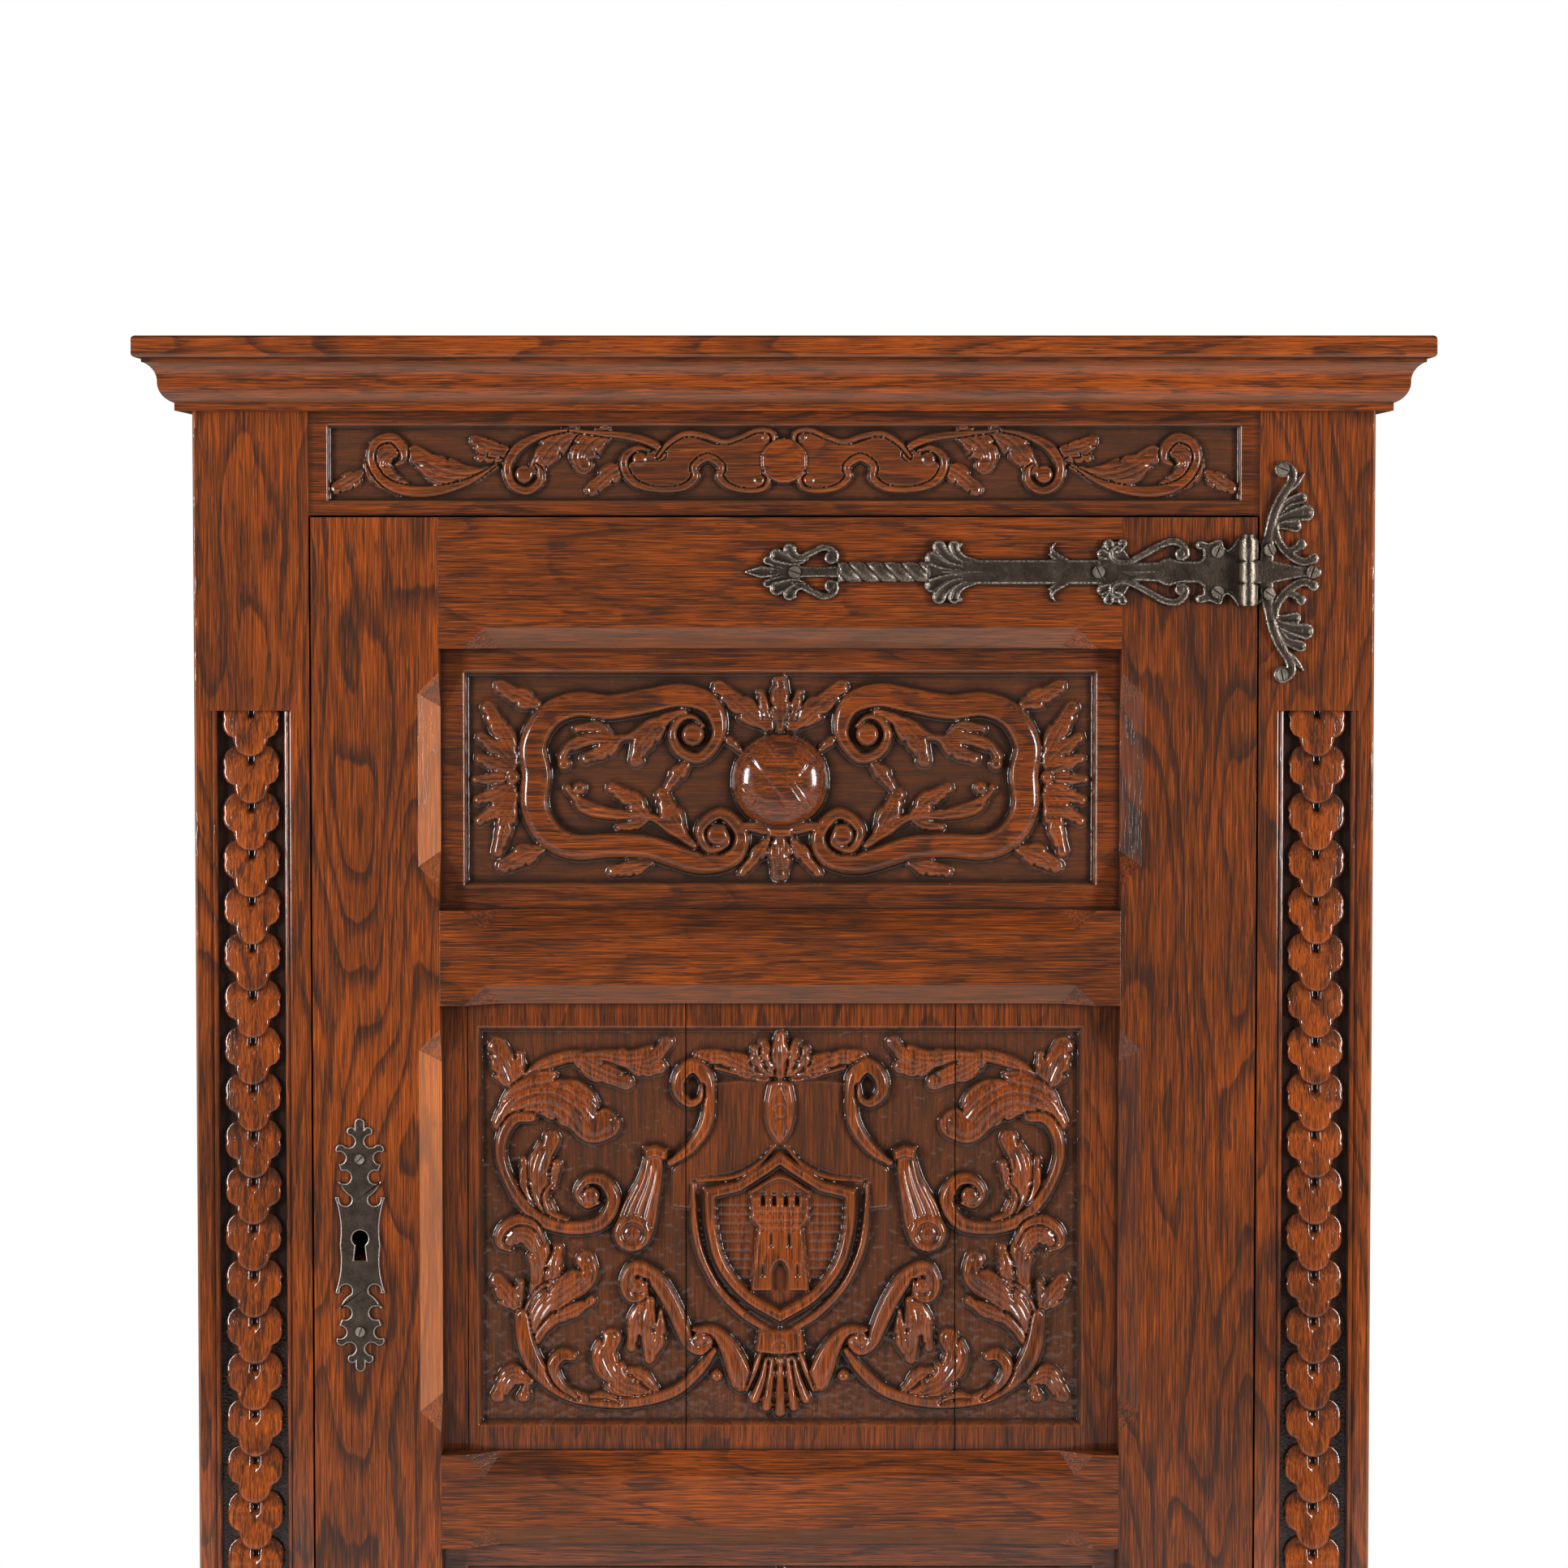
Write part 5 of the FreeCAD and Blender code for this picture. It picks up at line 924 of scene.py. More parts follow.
largeCarving = {
    # the left half, and a middle that is laid over it
    "cell": 0.85,
    "halfWidth": 236,
    "halfHeight": 157,
    "field": (233.4, 155),
    "bevel": 3.6,
    "depth": 6.0,
    "gain": 1.28,
    "toolMarks": 0.16,
    "seed": 9,
    "faces": (-185.3, -171.3),
    "oak": ("z", -0.02, 0.15, (1.3, 0, 5.7)),
    "seams": [-243.4, -75.4, 132.6],  # where the four boards meet
    "seamGap": 0.8,
    # half-width and height after each place, on the left half, mirrored to the right
    "underLeaves": [
        [(-204, 104, 3, 3.6), (-211, 122, 11.5, 5), (-219, 139, 4, 3.6)],
        [(-206, 108, 3, 3.6), (-202, 122, 5.5, 4.8), (-201, 133, 2.5, 3.6)],
        [(-158, 132, 5, 4), (-142, 122, 9.5, 5), (-119, 112, 4.5, 4)],
        [(-122, 132, 6, 4), (-106, 124, 8.5, 5), (-93, 124, 5, 4)],
        [(-204, 107, 3, 4.4), (-186, 123, 5, 5), (-165, 131, 5, 5), (-140, 132.5, 5, 5),
         (-115, 129.5, 7, 5.2), (-97, 134, 7.5, 5), (-87, 143, 2.4, 3.6)],
        [(-203, -66, 2.5, 3.4), (-210, -55, 9, 5), (-219, -43, 3, 3.6)],
        [(-202, -62, 3, 3.6), (-201, -44, 3.4, 4.4)],
        [(-194, -121, 4, 4), (-208, -117, 8.5, 5), (-218, -133, 4, 3.8)],
        [(-196, -122, 2, 3.4), (-198, -133, 5.5, 4.4)],
        [(-104, -54, 3, 4), (-112, -74, 6, 5), (-115, -95, 2.6, 3.6)],
        [(-92, -66, 2, 4), (-94, -88, 5.5, 4.8), (-99, -103, 2, 3.6)],
        [(-100, -58, 3.5, 4.4), (-103, -80, 6.5, 5.4), (-101, -104, 1.8, 3.6)],
    ],
    "leaves": [
        [(-216, 80, 6, 5), (-202, 97, 12, 6), (-179, 103, 17, 6.4), (-158, 92, 17, 6.4),
         (-146, 78, 10, 5.6), (-136, 80, 4.5, 5)],
        [(-176, 8, 5, 4.4), (-187, 25, 9, 5.6), (-186, 48, 9.5, 6), (-177, 68, 2, 4)],
        [(-186, 3, 4, 4.4), (-197, 22, 5.5, 5), (-198, 51, 1.6, 3.6)],
        [(-198, 14, 3, 4), (-206, 34, 3.6, 4.6)],
        [(-176, 30, 3, 4), (-173, 48, 4.4, 5)],
        [(-188, -50, 6, 4.8), (-186, -26, 8.6, 6), (-192, -9, 8.6, 6), (-203, -6, 6.4, 5.4),
         (-210, -12, 2, 4)],
        [(-180, -50, 4, 4.4), (-175, -32, 6.4, 5.4), (-172, -17, 3, 4.2)],
        [(-198, -72, 4, 4.4), (-186, -52, 4.4, 5), (-176, -44, 3.2, 4.4)],
        [(-194, -92, 7, 5), (-182, -64, 10.5, 6), (-164, -49, 11, 6.4), (-150, -38, 8.6, 6),
         (-151, -27, 3.4, 4.4)],
        [(-190, -90, 4, 4.4), (-176, -73, 5, 5.2), (-160, -66, 6, 5.2), (-146, -58, 2.4, 4)],
        [(-100, -131, 5, 5), (-124, -121, 11, 6), (-136, -102, 9.6, 6), (-131, -87, 5, 5)],
        [(-96, -128, 3, 4.4), (-108, -116, 5.5, 5), (-117, -113, 2, 4)],
    ],
    "straps": [
        [(-192, 85, 4.6, 5.4), (-205, 84, 5, 5.6), (-214, 71, 5, 6), (-215.5, 54, 4.6, 6),
         (-210, 36, 4.6, 6), (-200, 19, 5, 6), (-184, 4, 5.6, 6), (-160, -1.5, 6, 6.2),
         (-138, 3, 6.2, 6.2), (-128.5, 20, 6, 6.2), (-136, 35, 5.4, 6), (-149, 36, 4.4, 5.6),
         (-156.5, 25.5, 3.4, 5.2), (-150, 15.5, 2.6, 5), (-140, 18, 1.8, 4.6)],
        [(-176, 34, 1.6, 4.4), (-182, 24, 2.6, 5.2), (-178, 11, 3, 5.4), (-165, 5, 2.4, 5)],
        [(-182, -13, 1.8, 4.6), (-189, 1, 3.6, 5.4), (-203, 5, 4.6, 5.6), (-215, -3, 4.4, 5.4),
         (-217, -14, 3.6, 5), (-208, -19.5, 1.8, 4.4)],
        [(-200, -70, 6, 4.6), (-196, -94, 7.6, 5.6), (-185, -115, 7.4, 5.8), (-164, -131, 6, 5.6),
         (-138, -137.5, 5, 5.6), (-110, -137, 5, 5.6), (-82, -129, 5, 5.8), (-63, -113, 4.6, 5.8),
         (-51, -97, 3, 5)],
        [(-161, -101, 4.6, 5), (-169, -100, 5.4, 5.4), (-176, -109, 5.4, 5.6), (-171, -122, 4.4, 5.2),
         (-158, -133, 3, 4.6)],
        [(-147, -133, 2.4, 4.4), (-136, -132, 3.6, 4.8), (-124, -137, 1.6, 4)],
    ],
    "rounds": [(-146.5, 23.5, 7, 5.4), (-114, -3.5, 6.4, 6.4), (-110, -46.5, 6.4, 6), (-62.5, -88, 6, 6),
               (-203.5, -12, 3, 4.4), (-49, -117, 4.4, 5.2)],
    "plate": [(-84, 44), (-84, 14), (-67, 12), (-66, -12), (-55, -42), (-33, -67), (-12, -80), (0, -84),
              (0, 112), (-30, 114), (-50, 112), (-52, 88), (-62, 66)],
    "cartoucheStraps": [
        [(-85, 49, 3, 5.4), (-70, 60, 4.8, 6), (-58, 77, 5.4, 6.4), (-54.5, 96, 5.2, 6.6),
         (-57, 116, 6.4, 6.6), (-67, 125, 6.4, 6.4), (-77, 117, 6, 6.2), (-78.5, 104, 5.2, 6),
         (-70, 95.5, 4.2, 5.8), (-61.5, 99, 3, 5.4), (-60, 109, 1.8, 5)],
        [(0, 116.5, 1.1, 4.4), (-26, 117, 1.3, 4.4), (-50, 123, 1.8, 4.6)],
        [(-5, 62, 1.6, 5), (-16, 49, 2.4, 5.4), (-36, 38.5, 2.6, 5.6), (-64, 35.5, 1.6, 5)],
        [(-67, 33, 2, 4.6), (-66, 2, 3.4, 5), (-61, -22, 3.6, 5), (-48, -48, 3.6, 5), (-28, -69, 3.6, 5),
         (-8, -82, 3, 4.6)],
        [(-103, -43, 2, 5), (-105.5, -54, 3, 5.2), (-115, -55.5, 4.4, 5.6), (-119, -45, 5.4, 6),
         (-112, -33, 6.6, 6.2), (-98, -39.5, 7, 6.4), (-86, -57, 7, 6.4), (-76, -79, 6.4, 6.2),
         (-71, -92, 5, 6), (-61.5, -97.5, 4, 5.8), (-54, -90, 3, 5.4), (-58.5, -82, 1.8, 5)],
        [(-67, -80.5, 2.4, 5.4), (-51, -82, 4.8, 6), (-40, -95, 7.6, 6.4), (-33, -111, 9.4, 6.6),
         (-30, -121, 9, 6.4)],
        [(-15, -98, 2, 5), (-20, -112, 3, 5), (-26, -128, 2, 4.4)],
    ],
    "horn": [(-97, 54, 7.6, 6), (-101, 34, 9.8, 6.6), (-108, 14, 14, 7.2), (-112, 0, 15.4, 7.4)],
    "hornCollar": [(-104.5, 52), (-106, 62), (-96, 64), (-86.5, 60), (-87, 50), (-96, 54)],
    "hornRing": (-114, -5, 14.6, 9.4),
    "pendant": [(0, 115), (-9, 112), (-12, 97), (-12, 86), (-9, 74), (0, 60)],
    "sideShell": [
        [(-12, 116, 5, 4.6), (-28, 124, 8.6, 5.6), (-45, 131, 5.4, 5), (-61, 131, 1.6, 4)],
        [(-7, 117, 2.4, 4.4), (-17, 129, 6.4, 5.6), (-19, 137, 3, 4.4)],
        [(-4, 117, 2.4, 4.6), (-9, 132, 6, 6), (-13, 142, 3.6, 4.6)],
    ],
    "middleShell": [(0, 117, 3.6, 5), (0, 135, 7, 6.6), (0, 148, 3, 5)],
    # both sides of the husk, then its middle
    "husk": [
        [(-11, -104, 2, 5.4), (-14, -120, 3.4, 6.2), (-20, -135, 4.4, 5.8)],
        [(-6, -103, 2, 5.6), (-8, -122, 3.4, 6.6), (-10.5, -141, 4.2, 6.2)],
        [(0, -103, 2.2, 6), (0, -124, 3.8, 7), (0, -145, 4.6, 6.6)],
    ],
    "huskPlate": [(-13, -101), (-15, -112), (-20, -127), (-17, -137), (0, -143), (17, -137), (20, -127),
                  (15, -112), (13, -101)],
    "collar": [(-17, -80), (-20, -98), (0, -101), (20, -98), (17, -80)],
    "pendantLine": [(0, 112), (-6, 98), (-7, 86), (0, 63)],
    "rings": [(0, 89, 5), (0, -94, 5), (-77, 8, 4), (77, 8, 4)],
    "cuts": {"pendant": (1.1, 1.3), "ring": (1.2, 1.2)},  # depth and width of the grooves
}

shield = {
    "top": [(0, 59), (-14, 49), (-34, 36), (-59, 30)],
    "side": [(-59, 30), (-57.5, -2), (-49, -32), (-29, -57), (0, -75)],
    "rise": 9.0,
    "rim": 9.5,
    "rimSlope": 2,
    "field": 2.7,
    "tower": [(-22, 24), (-22, 5), (-17, 0), (-23, -50), (23, -50), (17, 0), (22, 5), (22, 24)],
    "towerRise": 6.2,
    "towerLines": [(-20.5, 11), (-20.5, 4), (-15.5, -2)],
    "merlonGaps": [-13.2, -4.4, 4.4, 13.2],
    "merlons": (2, 16, 26, 1.6),  # half-width of a gap, its foot, its top and its rise
    "slits": [(7, -5, -15), (13.5, -30, -38)],
    "gate": [(-6.5, -50), (-6.5, -34), (-4, -28), (0, -25.5), (4, -28), (6.5, -34), (6.5, -50)],
    "gateRise": 2.4,
    "peak": [(-22, 27), (0, 38), (22, 27)],
    "peakWidth": 1.6,
    "courses": range(15, -50, -7),  # plain level lines beside the tower
    "courseStart": 24,
    "courseGap": 2,  # short of the rim
    "cuts": {"course": (0.9, 1.3), "line": (1.2, 1.2), "slit": (2.6, 1.8)},
}


def carveShield(board, plan):
    side = [tuple(point) for point in smoothCurve(plan["side"], step=3)]
    top, rim = plan["towerRise"], plan["rim"]
    place, inside, away = board.outline(halfTurned(plan["top"] + side[1:]), rise=plan["rise"], edge=2.0)
    slope, gap = plan["rimSlope"], plan["courseGap"]
    drop = (plan["rise"] - plan["field"]) * smoothStep((away - rim + slope) / slope)
    board.put(place, board.height[place] - drop, inside & (away > rim - slope), "over")
    depths = [z for x, z in reversed(side)]
    widths = [-x for x, z in reversed(side)]
    for z in plan["courses"]:
        reach = np.interp(z, depths, widths) - rim - gap
        if reach > plan["courseStart"] + gap:
            for sign in (-1, 1):
                board.groove([(sign * plan["courseStart"], z), (sign * reach, z)], *plan["cuts"]["course"])
    board.outline(plan["tower"], rise=top, edge=0.9)
    half, low, high, rise = plan["merlons"]
    for x in plan["merlonGaps"]:
        corners = [(x - half, high), (x + half, high), (x + half, low), (x - half, low)]
        board.outline(corners, "cut", rise=rise, edge=0.6)
    for x, z in plan["towerLines"]:
        board.groove([(x, z), (-x, z)], *plan["cuts"]["line"])
    for x, z0, z1 in plan["slits"]:
        for sign in (-1, 1):
            board.groove([(sign * x, z0), (sign * x, z1)], *plan["cuts"]["slit"])
    board.outline(plan["gate"], "cut", rise=plan["gateRise"], edge=0.7)
    board.stroke([(x, z, plan["peakWidth"], top) for x, z in plan["peak"]], "flat", "highest", edge=0.8)


def carveLargePanel(plan):
    board = Carving(plan["halfWidth"], plan["halfHeight"], plan["cell"])
    board.strokes(plan["underLeaves"], "leaf", "highest")
    board.strokes(plan["leaves"], "leaf")
    board.strokes(plan["straps"])
    board.outline(plan["plate"], rise=1.9, edge=1.6)
    board.strokes(plan["sideShell"], "leaf")
    board.strokes(plan["cartoucheStraps"])
    board.stroke(plan["horn"], "gouged", lobes=4)
    x, z, radius, hollow = plan["hornRing"]
    board.dome(x, z, radius, rise=2.4, lift=5.2, flat=0.7)
    board.dome(x, z, hollow, rise=-3.0, lift=7.2)
    board.dome(x, z, 0.42 * radius, rise=1.6, lift=5.0)
    board.outline(plan["hornCollar"], rise=7.4, edge=2)
    board.buttons(plan["rounds"])
    board.mirror()
    board.outline(halfTurned(plan["pendant"]), rise=5.6, edge=2.4)
    board.stroke(plan["middleShell"], "leaf", lobes=1)
    board.outline(plan["huskPlate"], rise=4.0, edge=2, curved=True)
    for petal in plan["husk"]:
        board.strokes([petal, mirrored(petal)], "petal")
    for line in (plan["pendantLine"], mirrored(plan["pendantLine"])):
        board.groove(line, *plan["cuts"]["pendant"])
    board.outline(plan["collar"], rise=6.8, edge=1.8)
    carveShield(board, shield)
    for x, z, radius in plan["rings"]:
        board.ring(x, z, radius, *plan["cuts"]["ring"])
    return board


def dressMiddlePanel(plan, material):
    board = carveLargePanel(plan)
    finishBoard(board, plan, plan["seed"])
    low, high, middle, span = frontOf("door_middle_panel")
    seams = [low.x, *plan["seams"], high.x]
    for number, (x0, x1) in enumerate(zip(seams, seams[1:])):
        gap = plan["seamGap"] if number < len(plan["seams"]) else 0
        piece = carvedBoard("carved_middle_board_%d" % (number + 1), board, middle, (x0, x1 - gap, *span[2:]),
                            plan["faces"], plan["depth"], material, openingRound(middle[1]))
        claim(piece, "door_middle_panel", "door")


dressMiddlePanel(largeCarving, oakMaterial("upright_panel_oak", *largeCarving["oak"], carved=True))
print("middle panel carved")

friezeCarving = {
    # the left half, and the boss in the middle
    "cell": 0.78,
    "halfWidth": 348.5,
    "halfHeight": 30,
    "field": (347.3, 29),
    "bevel": 1.4,
    "depth": 5.5,
    "gain": None,
    "toolMarks": 0.14,
    "seed": 6,
    "middle": (0, 1586.7),
    "reach": 362,  # from the middle to a post
    "thickness": 35,
    "oak": ("x", -0.09, 0.15, (9.1, 0, 2.7)),
    "leaves": [
        [(-322, -7, 3, 3.6), (-330, -13, 7.3, 4.6), (-341, -19, 2.4, 3.4)],
        [(-218, -3, 1.8, 4), (-240, -9, 7.3, 5), (-262, -5, 11, 5.4), (-281, 6, 3.7, 4)],
        [(-211, 7, 4.9, 4.4), (-224, 6, 6.1, 5), (-231, 4, 3, 4)],
        [(-213, 9, 4.9, 4.4), (-226, 12, 6.8, 5.2), (-235, 17, 4.9, 4.6)],
        [(-298, 12, 7.3, 4.8), (-308, 3, 9.8, 5.6), (-306, -9, 9.8, 5.6), (-292, -18, 4.3, 4.8)],
        [(-160, 24, 4.9, 4.8), (-173, 16, 9.8, 5.6), (-183, 4, 7.9, 5.4), (-187, -3, 3, 4)],
        [(-136, 22, 6.1, 4.8), (-147, 15, 10.4, 5.6), (-153, 6, 10.4, 5.4), (-152, -1, 5.5, 4.4)],
        [(-121, -3, 3, 4), (-132, -8, 8.1, 5), (-146, -20, 2.4, 3.6)],
    ],
    "plate": [(-124, -2), (-116, -14), (-100, -20), (-78, -19), (-68, -8), (-62, 0), (-54, 0), (-48, -8),
              (-38, -19), (-20, -20), (-12, -8), (-10, 18), (-22, 24), (-48, 15), (-74, 22), (-90, 14),
              (-100, 10)],
    "straps": [
        [(-219, -1, 1.2, 4.4), (-238, -13, 3, 5), (-262, -20.5, 4.4, 5.4), (-286, -21, 5, 5.5),
         (-304, -14, 4.4, 5.5), (-314, 1, 4.2, 5.5), (-311, 15, 4.2, 5.5), (-299, 19.5, 4.6, 5.5),
         (-290.5, 12, 4.6, 5.5), (-289.5, 3, 3.4, 5), (-295, -1, 2, 4.6)],
        [(-160, 26, 1.6, 4.6), (-182, 22, 3, 5.2), (-201, 13, 4.4, 5.5), (-210.5, -2, 4.2, 5.5),
         (-207, -16, 4, 5.5), (-196, -21, 3.8, 5.5), (-186.5, -15, 3.8, 5.4), (-185.5, -6, 3, 5),
         (-189, -1, 1.6, 4.6)],
        [(-163, 25, 1.6, 4.6), (-138, 22.5, 3, 5), (-115, 20, 3.8, 5.5), (-98, 14, 3.6, 5.5),
         (-91.5, 6, 2.4, 5), (-95, 2.5, 1.6, 4.6)],
        [(-103, 10, 1.8, 4.8), (-112, 11.5, 3, 5.2), (-121, 5, 3.8, 5.5), (-121, -6, 4, 5.5),
         (-112, -16, 3.6, 5.5), (-95, -20, 3, 5.5), (-77, -18.5, 3.4, 5.5), (-67.5, -11, 3.6, 5.5),
         (-68, -2, 3.6, 5.5), (-58, 4.5, 3.8, 5.5), (-48, -2, 3.6, 5.5), (-49, -10.5, 3.4, 5.5),
         (-41, -18, 3, 5.5), (-27, -21, 2.6, 5.5), (-15, -19, 2.6, 5.4), (-11.5, -11, 2.6, 5),
         (-16, -7, 1.8, 4.6)],
        [(-96, 5, 2, 5), (-88, 15, 2.6, 5.4), (-75, 22.5, 3, 5.5), (-61, 21, 3, 5.5),
         (-46, 16.4, 2.8, 5.5), (-34, 19.5, 2.6, 5.5), (-21, 25, 2.6, 5.5), (-10, 24, 2.6, 5.4),
         (-7.5, 17, 2.2, 5), (-12, 13, 1.6, 4.6)],
    ],
    "hollow": (-58, -7, 5.6),
    "rounds": [(-198, -8.5, 6.6, 5.2), (-110, 3, 5.4, 5.2), (-19, -13, 4.4, 4.8), (-14, 19.5, 3.4, 4.8)],
    "boss": (0, 2, 17, 6.6),
}


def dressFrieze(plan, material):
    board = Carving(plan["halfWidth"], plan["halfHeight"], plan["cell"])
    board.strokes(plan["leaves"], "leaf")
    board.outline(plan["plate"], rise=3.2, edge=1.6, curved=True)
    board.strokes(plan["straps"], "round")
    x, z, radius = plan["hollow"]
    board.dome(x, z, radius, rise=-0.5, lift=0.6)
    board.buttons(plan["rounds"])
    board.mirror()
    x, z, radius, rise = plan["boss"]
    board.dome(x, z, radius, rise=rise * 0.3, lift=rise * 0.7, flat=0.3)
    finishBoard(board, plan, plan["seed"])
    low, high = boxMm("frieze_rail")
    span = (-plan["reach"], plan["reach"], low.z, high.z)
    piece = carvedBoard("carved_frieze_rail", board, plan["middle"], span, (low.y, low.y + plan["thickness"]),
                        plan["depth"], material)
    claim(piece, "frieze_rail", "cabinet")


friezeOak = oakMaterial("frieze_oak", *friezeCarving["oak"], carved=True)
dressFrieze(friezeCarving, friezeOak)

drawerCarving = {
    # the scrolls of the small panels, drawn in
    "cell": 0.85,
    "halfWidth": 190,
    "halfHeight": 46,
    "field": (190, 46),
    "bevel": 1.8,
    "depth": 5.5,
    "gain": None,
    "toolMarks": 0.14,
    "seed": 8,
    "strokeShares": (0.77, 0.54, 0.62, 0.92),  # of x, z, half-width and height
    "buttonShares": (0.77, 0.54, 0.6, 0.7),
    "boss": (0, -1, 19, 2),
}


def dressDrawer(plan, panel, material):
    def drawnIn(points, shares):
        return [tuple(value * share for value, share in zip(point, shares)) for point in points]
    leaves = [drawnIn(leaf, plan["strokeShares"]) for leaf in panel["leaves"]]
    board = carveScrolls(dict(plan, leaves=leaves, strap=drawnIn(panel["strap"], plan["strokeShares"]),
                              buttons=drawnIn(panel["buttons"], plan["buttonShares"])))
    board.dome(*plan["boss"], lift=3.2, flat=0.3)
    finishBoard(board, plan, plan["seed"])
    low, high, middle, span = frontOf("drawer_front")
    piece = carvedBoard("carved_drawer_front", board, middle, span, (low.y, high.y), plan["depth"], material)
    claim(piece, "drawer_front", "drawer")


dressDrawer(drawerCarving, smallCarving, friezeOak)
print("frieze and drawer front carved")

frontPost = {
    "inner": 362,  # from the cabinet's middle to the face beside the door
    "outer": 450,
    "span": (90, 1664.9),
    "thickness": 60,
    "depth": 9,
    "channel": (407.5, 31),  # its middle, and half its width
    "channelEnds": (598.8, 1398.4),
    # from the channel's edge inwards, and how far the wood falls there
    "steps": [0, 0.25, 0.5, 1.3, 1.6, 1.9, 2.4, 3, 3.6, 4.2, 4.7, 5.1, 5.4, 5.7, 6.4],
    "falls": [0, 1.1, 1.2, 1.2, 2.2, 2.2, 1.3, 0.85, 0.75, 0.95, 1.5, 2.3, 5, 9, 9],
    # from the outer edge inwards, how far it is rounded, and how worn and pale with a painted highlight
    "arris": [0, 0.4, 0.9, 1.5, 2.2],
    "rounding": [1.5, 0.85, 0.4, 0.12, 0],
    "wearAndHighlight": [0, 0.5, 0.5, 0.3, 0],
    "rows": 180,
    "endSteps": (0.4, 0.8, 4),  # up its end wall, to the wall's foot, and clear of it
    "pocket": {"depth": 14.0, "play": 0.6, "past": 5},  # where the thrown bolt goes
    "oak": ("z", -0.075, 0.20, (4.4, 0, 6.1)),
}


def cutPockets(piece, pockets):
    for number, (low, high) in enumerate(pockets):
        bm = bmesh.new()
        bmesh.ops.create_cube(bm, size=1)
        for vert in bm.verts:
            vert.co = [(low[i] + high[i] + 2 * vert.co[i] * (high[i] - low[i])) / 2 * mm for i in range(3)]
        mesh = bpy.data.meshes.new("pocket")
        bm.to_mesh(mesh)
        bm.free()
        cut = piece.modifiers.new("pocket", "BOOLEAN")
        cut.object = link("pocket_%d" % number, mesh)
        cut.solver = "EXACT"
    bpy.context.view_layer.update()
    whole = bpy.data.meshes.new_from_object(piece.evaluated_get(bpy.context.evaluated_depsgraph_get()))
    whole.name = piece.name
    cutters = [cut.object for cut in piece.modifiers]
    piece.modifiers.clear()
    piece.data = whole
    for cutter in cutters:
        bpy.data.objects.remove(cutter)


def cutBoltPocket(piece, face, plan):
    # the keeper's seat and the mortise behind it, and clean wood beside and inside them
    keeper, bolt = boxMm("lock_keeper"), boxMm("lock_bolt")
    play = Vector((0, plan["play"], plan["play"]))
    mortise = [bolt[0] - play, bolt[1] + play]
    mortise[0].x = face - plan["depth"]
    mortise[1].x = face + plan["past"]
    cutPockets(piece, ((keeper[0], (face + plan["past"], keeper[1].y, keeper[1].z)), mortise))
    spots = np.empty(3 * len(piece.data.vertices))
    piece.data.vertices.foreach_get("co", spots)
    relief = np.empty(len(piece.data.vertices), np.float32)
    marks = piece.data.attributes["relief"].data
    marks.foreach_get("value", relief)
    relief[spots[::3] > (face - 0.01) * mm] = 1
    marks.foreach_set("value", relief)


def dressPost(side, plan, material):
    name = "front_post_" + side
    front = boxMm(name)[0].y
    middle, half = plan["channel"]
    steps, arris = np.array(plan["steps"]), np.array(plan["arris"])
    xs = np.concatenate([[plan["inner"]], middle - half + steps, middle + half - steps[::-1],
                         plan["outer"] - arris[::-1]])
    foot, top = plan["channelEnds"]
    lowest, highest = plan["span"]
    up, wall, clear = plan["endSteps"]
    zs = np.concatenate([[lowest, foot, foot + up, foot + wall],
                         np.linspace(foot + clear, top - clear, plan["rows"]),
                         [top - wall, top - up, top, highest]])
    gx, gz = np.meshgrid(xs, zs)
    fall = np.interp(half - np.abs(gx - middle), steps, plan["falls"], left=0)
    fall = fall * np.clip(np.minimum(gz - foot, top - gz) / wall, 0, 1)
    height = plan["depth"] - fall - np.interp(plan["outer"] - gx, arris, plan["rounding"])
    wearAndHighlight = np.interp(plan["outer"] - gx, arris, plan["wearAndHighlight"])
    if side == "left":
        xs, height, wearAndHighlight = -xs[::-1], height[:, ::-1], wearAndHighlight[:, ::-1]
    # a pale arris: wear, and a painted highlight
    marks = {"relief": np.clip(height / plan["depth"], 0, 1), "hollow": np.zeros_like(height), "crest": wearAndHighlight}
    piece = reliefMesh("carved_" + name, xs, zs, height, (front, front + plan["thickness"]), plan["depth"],
                       material, marks, smooth=False)
    if side == "left":
        cutBoltPocket(piece, -plan["inner"], plan["pocket"])
    claim(piece, name, "cabinet")


postOak = oakMaterial("post_oak", *frontPost["oak"], carved=True, black=True)
for side in ("left", "right"):
    dressPost(side, frontPost, postOak)

